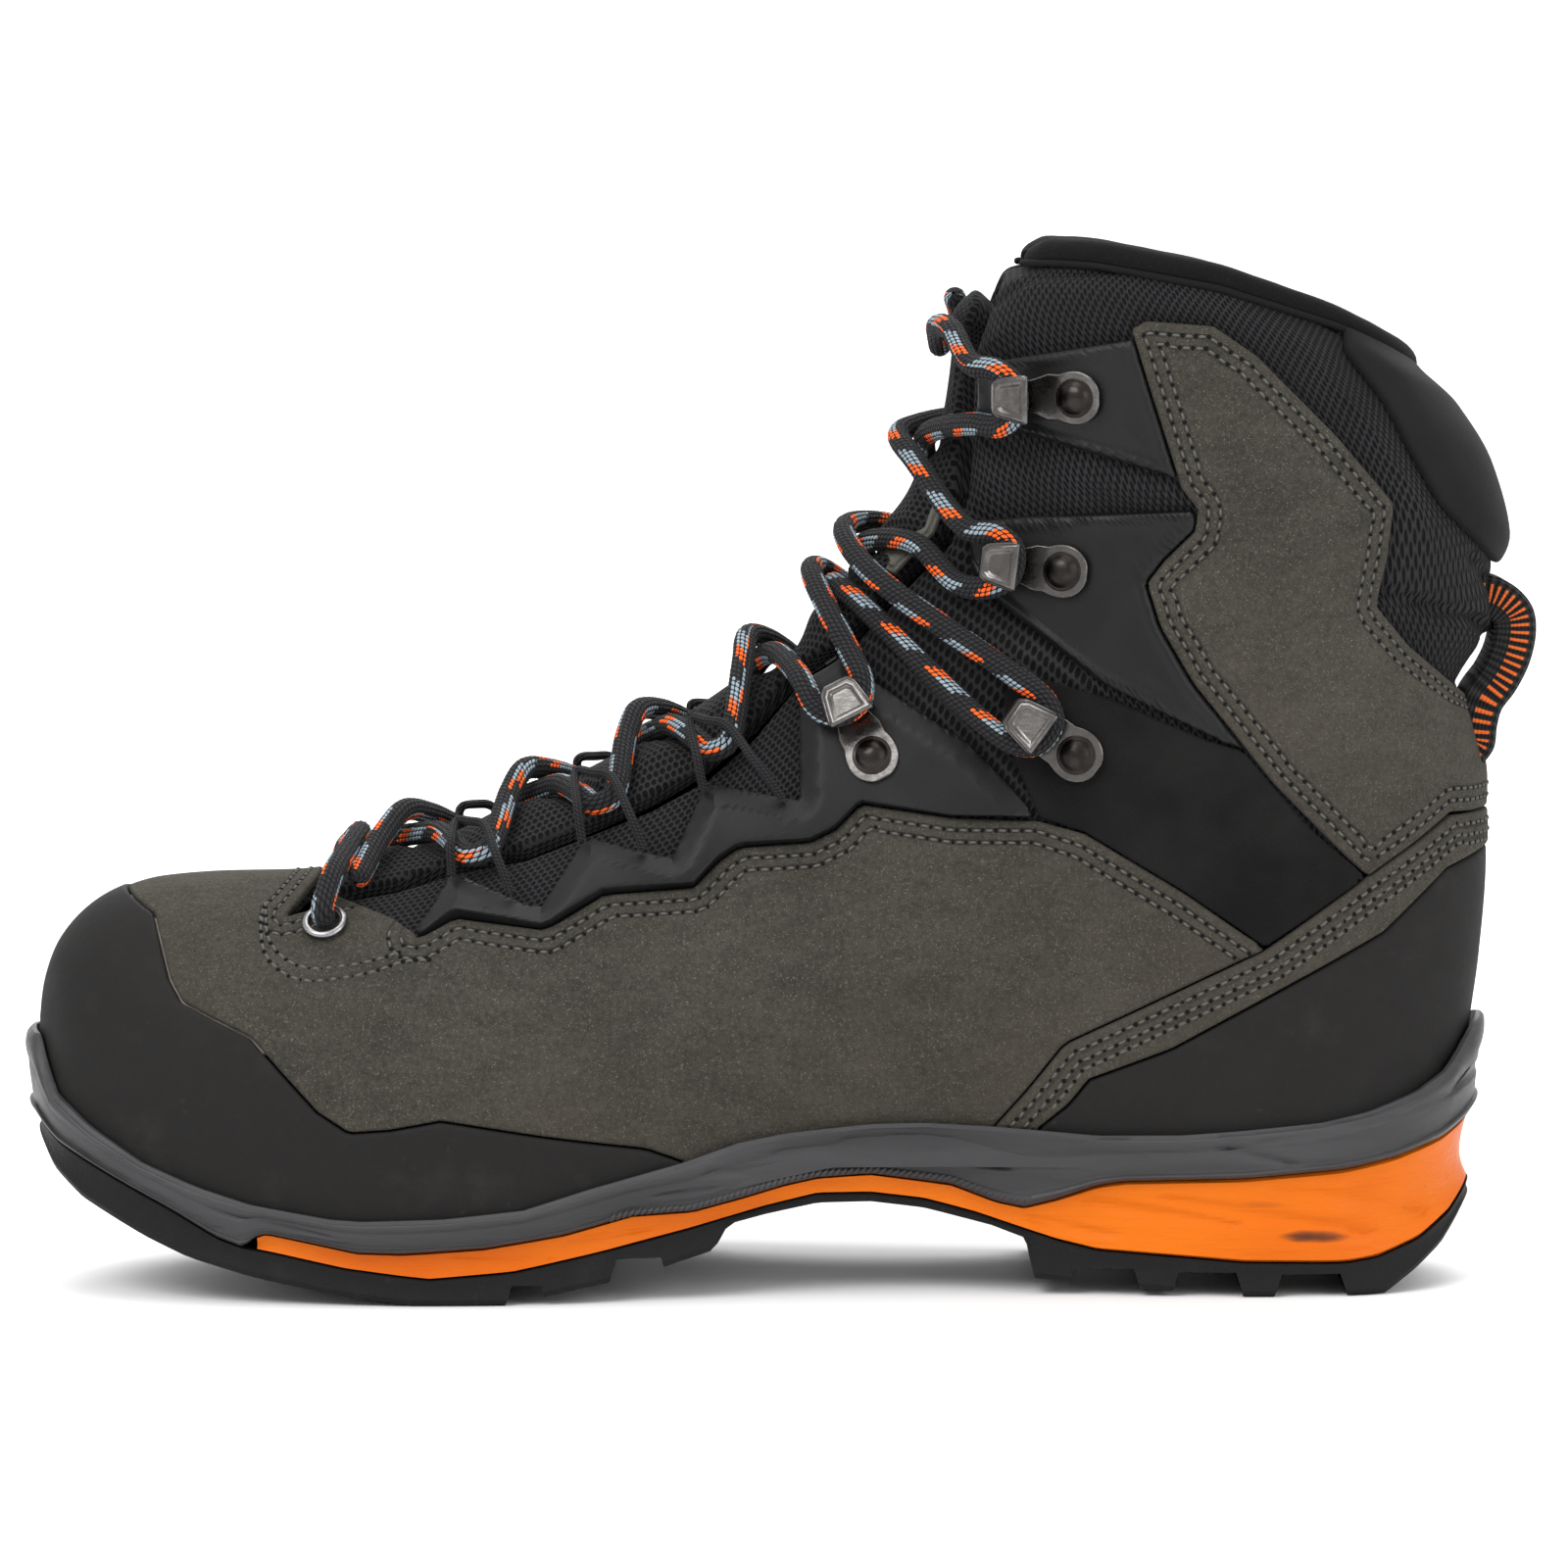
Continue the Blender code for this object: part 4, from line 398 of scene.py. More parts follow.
# ---------------------------------------------------------------- materials
class Look:
    """A procedural material while it is being built."""

    def __init__(self, name, rough, metal=0.0, sheen=0.0, specular=0.5):
        self.material = bpy.data.materials.new(name)
        self.material.use_nodes = True
        self.tree = self.material.node_tree
        self.shader = self.tree.nodes["Principled BSDF"]
        self.shader.inputs["Roughness"].default_value = rough
        self.shader.inputs["Metallic"].default_value = metal
        self.shader.inputs["Sheen Weight"].default_value = sheen
        self.shader.inputs["Specular IOR Level"].default_value = specular

    def node(self, kind, **settings):
        made = self.tree.nodes.new("ShaderNode" + kind)
        for key, value in settings.items():
            setattr(made, key, value)
        return made

    def put(self, socket, value):
        """Links or sets a socket; a colour is given as three numbers."""
        if isinstance(value, bpy.types.NodeSocket):
            self.tree.links.new(value, socket)
        elif isinstance(value, tuple):
            socket.default_value = (*value, 1.0)
        else:
            socket.default_value = value

    def math(self, operation, a, b=0.0, c=0.0):
        made = self.node("Math", operation=operation)
        for socket, value in zip(made.inputs, (a, b, c)):
            self.put(socket, value)
        return made.outputs[0]

    def times(self, a, b):
        return self.math("MULTIPLY", a, b)

    def plus(self, a, b):
        return self.math("ADD", a, b)

    def place(self, scale=(1.0, 1.0, 1.0)):
        """Position on the object, stretched along each axis."""
        made = self.node("Mapping")
        self.put(made.inputs["Vector"], self.node("TexCoord").outputs["Object"])
        made.inputs["Scale"].default_value = scale
        return made.outputs[0]

    def measure(self):
        """The two surface distances in millimetres, as separate values."""
        split_up = self.node("SeparateXYZ")
        self.put(split_up.inputs[0], self.node("UVMap", uv_map="measure").outputs[0])
        return split_up.outputs[0], split_up.outputs[1]

    def noise(self, scale, detail=3.0, where=None, rough=0.55):
        made = self.node("TexNoise")
        self.put(made.inputs["Vector"], where or self.place())
        made.inputs["Scale"].default_value = scale
        made.inputs["Detail"].default_value = detail
        made.inputs["Roughness"].default_value = rough
        return made.outputs["Fac"]

    def range(self, value, low, high, start=0.0, end=1.0):
        made = self.node("MapRange", interpolation_type="SMOOTHSTEP")
        for socket, item in zip(made.inputs, (value, low, high, start, end)):
            self.put(socket, item)
        return made.outputs[0]

    def attribute(self, name):
        return self.node("Attribute", attribute_name=name).outputs["Fac"]

    def mix(self, factor, a, b):
        made = self.node("Mix", data_type="RGBA")
        self.put(made.inputs[0], factor)
        self.put(made.inputs[6], a)
        self.put(made.inputs[7], b)
        return made.outputs[2]

    def bump(self, height, distance, under=None):
        made = self.node("Bump")
        made.inputs["Distance"].default_value = distance
        self.put(made.inputs["Height"], height)
        if under is not None:
            self.put(made.inputs["Normal"], under)
        return made.outputs[0]

    def finish(self, colour, normal=None, rough=None):
        self.put(self.shader.inputs["Base Color"], colour)
        if normal is not None:
            self.put(self.shader.inputs["Normal"], normal)
        if rough is not None:
            self.put(self.shader.inputs["Roughness"], rough)
        return self.material

    def seam_groove(self, rows, width=0.75):
        """1 in the middle of each row of stitches, 0 away from it: the mask of the seam grooves' bump
        and of the painted shade in them.
        """
        distance = self.attribute("stitch")
        total = None
        for row in rows:
            away = self.math("ABSOLUTE", self.math("SUBTRACT", distance, row))
            groove = self.range(away, 0.0, width, 1.0, 0.0)
            total = groove if total is None else self.math("MAXIMUM", total, groove)
        return total


def suede_look(name="suede", dark=(0.024, 0.0225, 0.0185), light=(0.06, 0.056, 0.046),
               rows=(2.5, 5.0)):
    look = Look(name, 0.95, sheen=0.06, specular=0.08)
    look.shader.inputs["Sheen Roughness"].default_value = 0.45
    look.shader.inputs["Sheen Tint"].default_value = (0.85, 0.82, 0.72, 1.0)
    cloud = look.noise(28.0, 4.0)
    nap = look.noise(900.0, 3.0, rough=0.7)
    brushed = look.noise(110.0, 3.0, look.place((1.0, 1.0, 2.2)))
    speck = look.noise(2600.0, 2.0)
    tone = look.plus(look.times(cloud, 0.3), look.times(brushed, 0.25))
    tone = look.plus(tone, look.times(nap, 0.6))
    colour = look.mix(look.range(tone, 0.34, 0.84), dark, light)
    colour = look.mix(look.range(speck, 0.58, 0.72, 0.0, 0.65), colour, (0.15, 0.14, 0.117))
    warm = look.noise(9.0, 2.0)
    colour = look.mix(look.range(warm, 0.35, 0.65, 0.0, 0.35), colour, (0.052, 0.045, 0.035))
    groove = look.seam_groove(rows)
    # painted shade: the suede is darkened in the sunk stitch grooves, where shade would fall
    colour = look.mix(look.times(groove, 0.45), colour, (0.03, 0.028, 0.023))
    # painted shade: the suede is darkened on its cut wall and the rounded rim next to it, where the edge
    # falls away from the light
    rim = look.range(look.attribute("edge"), 0.0, 0.7, 0.55, 0.0)
    colour = look.mix(rim, colour, (0.035, 0.032, 0.027))
    normal = look.bump(look.math("SUBTRACT", 1.0, groove), 0.0006)
    normal = look.bump(look.plus(nap, look.times(speck, 0.6)), 0.00035, normal)
    normal = look.bump(brushed, 0.0005, normal)
    return look.finish(colour, normal)


def nubuck_look():
    look = Look("nubuck", 0.9, sheen=0.01, specular=0.1)
    fine = look.noise(1500.0, 3.0)
    cloud = look.noise(45.0, 3.0)
    colour = look.mix(look.range(cloud, 0.3, 0.75), (0.0055, 0.0053, 0.0052), (0.0105, 0.0102, 0.01))
    groove = look.seam_groove((2.5, 5.0))
    # painted shade: the nubuck is darkened in the sunk stitch grooves, where shade would fall
    colour = look.mix(look.times(groove, 0.4), colour, (0.006, 0.006, 0.006))
    normal = look.bump(look.math("SUBTRACT", 1.0, groove), 0.0004)
    return look.finish(colour, look.bump(fine, 0.0003, normal))


def rubber_look(name, colour, grain=2200.0, rough=0.72, depth=0.00012):
    look = Look(name, rough, specular=0.16)
    fine = look.noise(grain, 3.0)
    scuff = look.noise(60.0, 5.0, rough=0.7)
    lighter = tuple(c * 1.5 + 0.004 for c in colour)
    shade = look.mix(look.range(scuff, 0.5, 0.8), colour, lighter)
    dust = look.range(look.noise(420.0, 2.0), 0.68, 0.78, 0.0, 0.35)
    shade = look.mix(dust, shade, tuple(c * 2.0 + 0.01 for c in colour))
    sheen = look.range(scuff, 0.2, 0.8, rough - 0.1, rough + 0.1)
    return look.finish(shade, look.bump(fine, depth), sheen)


def mesh_look(name, period=1.75):
    """Hexagonal knit: three waves at 60 degrees to each other."""
    look = Look(name, 0.85, sheen=0.015, specular=0.1)
    across, along = look.measure()
    waves = None
    for angle in (0.0, 60.0, 120.0):
        c, s = math.cos(math.radians(angle)), math.sin(math.radians(angle))
        phase = look.plus(look.times(across, c * 2 * math.pi / period),
                          look.times(along, s * 2 * math.pi / period))
        wave = look.math("COSINE", phase)
        waves = wave if waves is None else look.plus(waves, wave)
    thread = look.range(waves, -1.2, 1.2, 1.0, 0.0)
    fuzz = look.noise(2500.0, 3.0)
    cloud = look.noise(35.0, 3.0)
    colour = look.mix(look.times(thread, look.range(cloud, 0.2, 0.8, 0.55, 1.0)),
                      (0.0035, 0.0035, 0.0038), (0.028, 0.028, 0.030))
    colour = look.mix(look.range(fuzz, 0.55, 0.8, 0.0, 0.35), colour, (0.035, 0.035, 0.038))
    normal = look.bump(thread, 0.0005)
    return look.finish(colour, look.bump(fuzz, 0.00018, normal))


def moulded_look(name="moulded_black", rough=0.44):
    look = Look(name, rough, specular=0.2)
    fine = look.noise(3200.0, 2.0)
    cloud = look.noise(40.0, 3.0)
    colour = look.mix(look.range(cloud, 0.3, 0.7), (0.0053, 0.0053, 0.0056), (0.009, 0.009, 0.0094))
    bump = look.bump(fine, 0.00006)
    return look.finish(colour, bump, look.range(cloud, 0.2, 0.8, rough - 0.06, rough + 0.08))


def frame_look():
    look = Look("frame_grey", 0.45, specular=0.3)
    fine = look.noise(2600.0, 2.0)
    flow = look.noise(60.0, 4.0, look.place((0.35, 1.0, 2.4)))
    colour = look.mix(look.range(flow, 0.3, 0.75), (0.027, 0.027, 0.0288), (0.041, 0.041, 0.0433))
    normal = look.bump(flow, 0.0009)
    return look.finish(colour, look.bump(fine, 0.00006, normal), look.range(flow, 0.2, 0.8, 0.38, 0.52))


SCUFFS = [                    # metres: x, z, half length, half height; depth of colour
    (0.1108, 0.0126, 0.0085, 0.0016, 0.9), (0.1, 0.0195, 0.006, 0.0009, 0.2),
    (0.0955, 0.0262, 0.0015, 0.0006, 0.7)]


def foam_look():
    look = Look("foam_orange", 0.5, specular=0.15)
    look.shader.inputs["Subsurface Weight"].default_value = 0.03
    look.shader.inputs["Subsurface Radius"].default_value = (0.004, 0.0015, 0.0005)
    streak = look.noise(70.0, 5.0, look.place((0.22, 1.0, 2.6)), rough=0.6)
    broad = look.noise(18.0, 3.0)
    dirt = look.noise(230.0, 4.0, look.place((0.5, 1.0, 1.6)))
    colour = look.mix(look.range(broad, 0.3, 0.7), (0.54, 0.095, 0.001), (0.63, 0.135, 0.002))
    colour = look.mix(look.range(streak, 0.55, 0.8, 0.0, 0.5), colour, (0.5, 0.085, 0.001))
    colour = look.mix(look.range(dirt, 0.7, 0.78, 0.0, 0.5), colour, (0.25, 0.07, 0.02))
    spot = look.node("SeparateXYZ")
    look.put(spot.inputs[0], look.node("TexCoord").outputs["Object"])
    for x, z, wide, tall, deep in SCUFFS:
        away = look.times(dirt, 1.2)
        for socket, middle, reach in ((0, x, wide), (2, z, tall)):
            offset = look.math("DIVIDE", look.math("SUBTRACT", spot.outputs[socket], middle), reach)
            away = look.plus(away, look.math("POWER", look.math("ABSOLUTE", offset), 2.0))
        mark = look.range(away, 0.6, 1.5, deep, 0.0)
        mark = look.times(mark, look.math("LESS_THAN", spot.outputs[1], 0.0))
        colour = look.mix(mark, colour, (0.045, 0.018, 0.01))
    normal = look.bump(streak, 0.0011)
    fine = look.noise(1400.0, 2.0)
    return look.finish(colour, look.bump(fine, 0.00005, normal), look.range(streak, 0.2, 0.8, 0.34, 0.5))


def softshell_look():
    look = Look("softshell", 0.8, sheen=0.02, specular=0.12)
    fine = look.noise(3000.0, 2.0)
    cloud = look.noise(30.0, 3.0)
    colour = look.mix(look.range(cloud, 0.3, 0.7), (0.0056, 0.0056, 0.006), (0.0094, 0.0094, 0.0098))
    return look.finish(colour, look.bump(fine, 0.00012))


def knit_look(name, colour):
    """Fine lining cloth with small ribs."""
    look = Look(name, 0.95, sheen=0.02, specular=0.1)
    across, along = look.measure()
    ribs = look.times(look.math("SINE", look.times(across, 5.2)),
                     look.math("SINE", look.times(along, 5.2)))
    fuzz = look.noise(1800.0, 3.0)
    # painted highlight and shade: the cloth is lighter on its raised ribs and darker between them,
    # following the same ribs as its bump; the fuzz adds random tone
    light = tuple(c * 1.9 + 0.008 for c in colour)
    shade = look.mix(look.range(look.plus(ribs, fuzz), -0.3, 1.2), colour, light)
    return look.finish(shade, look.bump(fuzz, 0.0002, look.bump(ribs, 0.0003)))


def braid_look(name, flecks, rows, grain=1.15):
    """Round braid. The map holds the length in mm and the number of threads gone round."""
    look = Look(name, 0.8, sheen=0.03, specular=0.2)
    length, round_ = look.measure()
    row = look.math("FLOOR", round_)
    within = look.math("SUBTRACT", round_, row)
    lean = look.plus(length, look.times(round_, 0.5 * grain))
    grains = look.math("ABSOLUTE", look.math("SINE", look.times(lean, math.pi / grain)))
    ridge = look.math("SINE", look.times(within, math.pi))
    height = look.times(look.math("POWER", grains, 0.6), look.math("POWER", ridge, 0.6))
    fibre = look.noise(3500.0, 3.0)
    # painted shade and highlight: the braid is dark in the hollows between its threads and light on
    # their crowns, following the same height as its bump
    colour = look.mix(look.range(height, 0.2, 1.0), (0.003, 0.003, 0.0035), (0.023, 0.023, 0.026))
    if flecks:
        period = 14.0
        start = look.plus(length, look.times(row, 1.35))
        phase = look.math("FRACT", look.math("DIVIDE", start, period))
        shown = look.math("LESS_THAN", look.math("MODULO", look.plus(row, 28.0), rows / 2), 2.5)
        shown = look.times(shown, look.range(height, 0.3, 0.6))
        orange = look.times(shown, look.math("LESS_THAN", phase, 0.24))
        grey = look.times(shown, look.times(look.math("GREATER_THAN", phase, 0.24),
                                                      look.math("LESS_THAN", phase, 0.62)))
        colour = look.mix(orange, colour, (1.0, 0.13, 0.012))
        colour = look.mix(grey, colour, (0.27, 0.34, 0.39))
    normal = look.bump(height, 0.00045)
    return look.finish(colour, look.bump(fibre, 0.00008, normal))


def webbing_look():
    look = Look("webbing", 0.85, sheen=0.03, specular=0.15)
    along, across = look.measure()
    rib = look.math("SINE", look.times(along, 2 * math.pi / 1.9))
    thread = look.math("SINE", look.times(across, 2 * math.pi / 0.8))
    weave = look.plus(rib, look.times(thread, 0.4))
    middle = look.math("LESS_THAN", look.math("ABSOLUTE", look.plus(across, 2.6)), 1.9)
    dash = look.times(look.range(rib, 0.15, 0.6), middle)
    # painted shade and highlight: the webbing is darker in the hollows of its ribs and threads and
    # lighter on their crowns, following the same weave height as its bump
    colour = look.mix(look.range(weave, -1.0, 1.2), (0.006, 0.006, 0.0065), (0.028, 0.027, 0.027))
    colour = look.mix(dash, colour, (0.72, 0.13, 0.02))
    return look.finish(colour, look.bump(weave, 0.0004))


def metal_look(name, colour, rough):
    look = Look(name, rough, metal=1.0)
    cloud = look.noise(260.0, 4.0, rough=0.7)
    scratch = look.noise(900.0, 3.0, look.place((0.2, 1.0, 1.0)))
    shade = look.mix(look.range(cloud, 0.35, 0.7), colour, tuple(c * 0.62 for c in colour))
    normal = look.bump(scratch, 0.00004)
    return look.finish(shade, normal, look.range(cloud, 0.3, 0.8, rough * 0.75, rough * 1.5))


def plain_look(name, colour, rough, grain=900.0, depth=0.0001):
    look = Look(name, rough, specular=0.15)
    fine = look.noise(grain, 4.0)
    dark, light = (tuple(c * k for c in colour) for k in (0.7, 1.3))
    shade = look.mix(fine, dark, light)
    return look.finish(shade, look.bump(fine, depth))


def thread_look():
    look = Look("thread", 0.7, sheen=0.03)
    twist = look.noise(2400.0, 2.0)
    colour = look.mix(twist, (0.035, 0.034, 0.03), (0.1, 0.096, 0.083))
    return look.finish(colour, look.bump(twist, 0.0001))


LOOKS = {
    "suede": suede_look(),
    "nubuck": nubuck_look(),
    "rand": rubber_look("rand_rubber", (0.0105, 0.0098, 0.0094)),
    "tread": rubber_look("tread_rubber", (0.0075, 0.0075, 0.008), 1500.0, 0.66, 0.0002),
    "mesh": mesh_look("hex_mesh"),
    "mesh_fine": mesh_look("hex_mesh_fine", 1.35),
    "moulded": moulded_look(),
    "frame": frame_look(),
    "foam": foam_look(),
    "softshell": softshell_look(),
    "lining": knit_look("lining_knit", (0.012, 0.012, 0.014)),
    "footbed": knit_look("footbed_felt", (0.02, 0.02, 0.022)),
    "lace": braid_look("lace_braid", True, 14),
    "loop": braid_look("loop_braid", False, 8, 0.8),
    "webbing": webbing_look(),
    "hook": metal_look("dark_nickel", (0.13, 0.123, 0.118), 0.27),
    "eyelet": metal_look("bright_nickel", (0.34, 0.34, 0.345), 0.3),
    "thread": thread_look(),
    "hole": plain_look("needle_hole", (0.004, 0.004, 0.0038), 0.95, 2400.0, 0.0001),
    "board": plain_look("fibre_board", (0.3, 0.2, 0.1), 0.9),
    "shank": plain_look("shank_plastic", (0.05, 0.05, 0.06), 0.4),
    "stiffener": plain_look("stiffener", (0.55, 0.5, 0.42), 0.8),
    "piping": plain_look("piping", (0.005, 0.005, 0.0055), 0.85, 2400.0, 0.0002),
    "moulded_satin": moulded_look("moulded_satin", 0.36),
    "suede_patch": suede_look("suede_patch", (0.1, 0.098, 0.085), (0.19, 0.185, 0.16), (1.3,)),
    "collar": mesh_look("collar_knit", 1.35),
    "rivet": metal_look("rivet_nickel", (0.035, 0.031, 0.029), 0.33),
}


# ---------------------------------------------------------------- the fine skin
# columns of a sheet's data: place, normal, section line and surface distances, and, in a panel,
# distance in from its edge, relief, distance from its seam, the offsets of its two faces and
# the field of its sharp fold
X, Y, Z, NX, NY, NZ, LINE, AROUND, ALONG, INSIDE, RELIEF, SEAMED, BACK, FRONT, CREASE = range(15)


def collar_rise(s, v):
    """How much higher the padded collar stands than its flat section line."""
    arch = np.interp(np.abs(v), [0, 0.12, 0.3, 0.5, 0.7, 0.85, 0.95, 1],
                     [-1.0, 1.2, 4.6, 6.2, 4.4, 1.2, -0.6, -0.9])
    return smoothstep(s, 26.5, TOP) * arch


def build_sheet(lines, across):
    """Fine triangulated skin: one row of data for each point, and its triangles."""
    columns = np.linspace(-1.0, 1.0, across + 1)
    points = np.empty((len(lines), across + 1, 3))
    around = np.empty((len(lines), across + 1))
    for i, s in enumerate(lines):
        for side, pick in ((-1, columns < 0), (1, columns >= 0)):
            line, places, _ = section_line(s, side)
            v = np.abs(columns[pick])
            for k in range(3):
                points[i, pick, k] = np.interp(v, places, line[:, k])
            length = np.linalg.norm(np.diff(line, axis=0), axis=1).sum()
            around[i, pick] = side * v * length
        points[i, :, 2] += collar_rise(s, columns)
    step = np.linalg.norm(np.diff(points, axis=0), axis=2)
    along = np.vstack([np.zeros(across + 1), np.cumsum(step, axis=0)])
    width = across + 1
    a = (np.arange(len(lines) - 1)[:, None] * width + np.arange(across)).ravel()
    b, c, d = a + 1, a + width, a + width + 1
    left = (a % width) < across // 2
    first = np.where(left[:, None], np.stack([a, b, d], 1), np.stack([a, b, c], 1))
    second = np.where(left[:, None], np.stack([a, d, c], 1), np.stack([b, d, c], 1))
    triangles = np.concatenate([first, second])
    points = points.reshape(-1, 3)
    # weld the toe tip and the back of the heel, where both halves of a section meet
    keep = np.arange(len(points))
    for i in range(len(lines)):
        low = i * width + np.arange(across // 2)
        high = i * width + across - np.arange(across // 2)
        near = np.linalg.norm(points[low] - points[high], axis=1) < 0.02
        keep[high[near]] = low[near]
    triangles = keep[triangles]
    proper = (triangles[:, 0] != triangles[:, 1]) & (triangles[:, 1] != triangles[:, 2])
    proper &= triangles[:, 0] != triangles[:, 2]
    triangles = triangles[proper]
    _, index, count = np.unique(np.sort(triangles, axis=1), axis=0, return_index=True,
                                return_counts=True)
    triangles = triangles[np.sort(index[count == 1])]
    data = np.column_stack([points, np.zeros((len(points), 3)), np.repeat(lines, width),
                            around.ravel(), along.ravel()])
    normals = vertex_normals(data[:, :3], triangles)
    if np.mean(np.sum(normals * (points - np.array([60.0, 0.0, 90.0])), axis=1)) < 0:
        normals, triangles = -normals, triangles[:, ::-1]
    data[:, NX:NZ + 1] = normals
    return data, triangles


def vertex_normals(points, triangles):
    corner = points[triangles]
    face = np.cross(corner[:, 1] - corner[:, 0], corner[:, 2] - corner[:, 0])
    normals = np.zeros_like(points)
    for k in range(3):
        np.add.at(normals, triangles[:, k], face)
    size = np.linalg.norm(normals, axis=1)
    normals[size > 0] /= size[size > 0][:, None]
    return normals


def inside_outline(outline):
    """Signed distance in side view to a closed outline, positive inside."""
    ring_points = np.asarray(outline, float)
    px, pz = SHEET[:, X], SHEET[:, Z]
    nearest = np.full(len(SHEET), 1e9)
    inside = np.zeros(len(SHEET), bool)
    for a, b in zip(ring_points, np.roll(ring_points, -1, axis=0)):
        edge = b - a
        t = ((px - a[0]) * edge[0] + (pz - a[1]) * edge[1]) / max(edge @ edge, 1e-9)
        t = np.clip(t, 0, 1)
        away = np.hypot(px - a[0] - t * edge[0], pz - a[1] - t * edge[1])
        nearest = np.minimum(nearest, away)
        if a[1] != b[1]:
            crosses = (a[1] > pz) != (b[1] > pz)
            inside ^= crosses & (px < a[0] + (pz - a[1]) / (b[1] - a[1]) * edge[0])
    return np.where(inside, nearest, -nearest)


def minus(field, *others):
    """A field with other panels' fields cut out of it."""
    for other in others:
        field = np.minimum(field, -other)
    return field


def true_distance(field):
    """A side-view distance turned into the distance along the skin."""
    corner = SHEET[:, :3][TRIANGLES]
    value = field[TRIANGLES]
    e1, e2 = corner[:, 1] - corner[:, 0], corner[:, 2] - corner[:, 0]
    d1, d2 = value[:, 1] - value[:, 0], value[:, 2] - value[:, 0]
    g11, g12, g22 = (e1 * e1).sum(1), (e1 * e2).sum(1), (e2 * e2).sum(1)
    det = np.maximum(g11 * g22 - g12 * g12, 1e-9)
    slope = (d1 * d1 * g22 - 2 * d1 * d2 * g12 + d2 * d2 * g11) / det
    slope = np.sqrt(np.clip(slope, 0.04, 1.0))
    total, weight = np.zeros(len(field)), np.full(len(field), 1e-9)
    for k in range(3):
        np.add.at(total, TRIANGLES[:, k], slope * det)
        np.add.at(weight, TRIANGLES[:, k], det)
    mean = total / weight
    mean[mean < 0.05] = 1.0
    return field / mean


def crossings(data, triangles, field, level):
    """How triangles cross field = level: how many corners each has above it, whether the lone
    corner of each cut triangle is above, its corners from the lone one on, and the new rows
    with their numbers on the lone corner's two edges."""
    above = field > level
    count = above[triangles].sum(1)
    cut = triangles[(count == 1) | (count == 2)]
    flags = above[cut]
    lone_above = flags.sum(1) == 1
    lone = np.where(lone_above[:, None], flags, ~flags).argmax(1)
    row = np.arange(len(cut))
    a, b, c = cut[row, lone], cut[row, (lone + 1) % 3], cut[row, (lone + 2) % 3]
    pairs = np.sort(np.concatenate([np.stack([a, b], 1), np.stack([a, c], 1)]), axis=1)
    pairs, number = np.unique(pairs, axis=0, return_inverse=True)
    number = number.reshape(-1)
    p, q = pairs[:, 0], pairs[:, 1]
    t = ((level - field[p]) / (field[q] - field[p]))[:, None]
    fresh = data[p] * (1 - t) + data[q] * t
    return count, lone_above, (a, b, c), fresh, (number[:len(cut)], number[len(cut):])


def split(data, triangles, field, level, drop=False):
    """Cuts triangles along field = level, and drops what is below it if asked."""
    field = np.where(np.abs(field - level) < 0.01, level - 0.01, field)
    count, lone_above, (a, b, c), fresh, numbers = crossings(data, triangles, field, level)
    ab, ac = len(data) + numbers[0], len(data) + numbers[1]
    tip = np.stack([a, ab, ac], 1)
    base = np.concatenate([np.stack([ab, b, c], 1), np.stack([ab, c, ac], 1)])
    twice = np.concatenate([lone_above, lone_above])
    made = np.concatenate([triangles[count == 3], tip[lone_above], base[~twice]])
    if not drop:
        made = np.concatenate([made, triangles[count == 0], tip[~lone_above], base[twice]])
    return np.vstack([data, fresh]), made


def contours(data, triangles, field, level):
    """Chains of data rows along field = level."""
    field = np.where(np.abs(field - level) < 1e-4, level - 1e-4, field)
    _, _, _, rows, numbers = crossings(data, triangles, field, level)
    near = {}
    for first, second in zip(*numbers):
        if first != second:
            near.setdefault(int(first), []).append(int(second))
            near.setdefault(int(second), []).append(int(first))
    chains, used = [], set()
    for start in sorted(near, key=lambda k: (len(near[k]) != 1, k)):
        if start in used:
            continue
        chain = [start]
        used.add(start)
        while True:
            ahead = [k for k in near[chain[-1]] if k not in used]
            if not ahead:
                break
            chain.append(ahead[0])
            used.add(ahead[0])
        if near[chain[-1]].count(start) and len(chain) > 3:
            chain.append(start)
        if len(chain) > 2:
            chains.append(rows[chain])
    return chains


def largest_piece(triangles):
    """The triangles of the piece with the most of them."""
    parent = np.arange(triangles.max() + 1)
    ends = np.concatenate([triangles[:, [0, 1]], triangles[:, [1, 2]]])
    while True:
        low = np.minimum(parent[ends[:, 0]], parent[ends[:, 1]])
        before = parent.copy()
        np.minimum.at(parent, ends[:, 0], low)
        np.minimum.at(parent, ends[:, 1], low)
        parent = parent[parent]
        if (parent == before).all():
            break
    label = parent[triangles[:, 0]]
    names, counts = np.unique(label, return_counts=True)
    return triangles[label == names[counts.argmax()]]


SHEET, TRIANGLES = build_sheet(np.linspace(0.0, TOP, 311), 200)
COARSE, COARSE_TRIANGLES = build_sheet(np.linspace(0.0, TOP, 94), 60)
RIDGE_LINES = np.linspace(0.0, TOP, 200)
RIDGE = np.array([skin_point(s, 0.0) for s in RIDGE_LINES])
RIDGE_LENGTH = arc_length(RIDGE)


# ---------------------------------------------------------------- objects
def to_metres(points):
    """Millimetres in the part's axes to metres in the row frame."""
    return (np.asarray(points, float) + np.array([SHIFT_X, SHIFT_Y, 0.0])) * 0.001


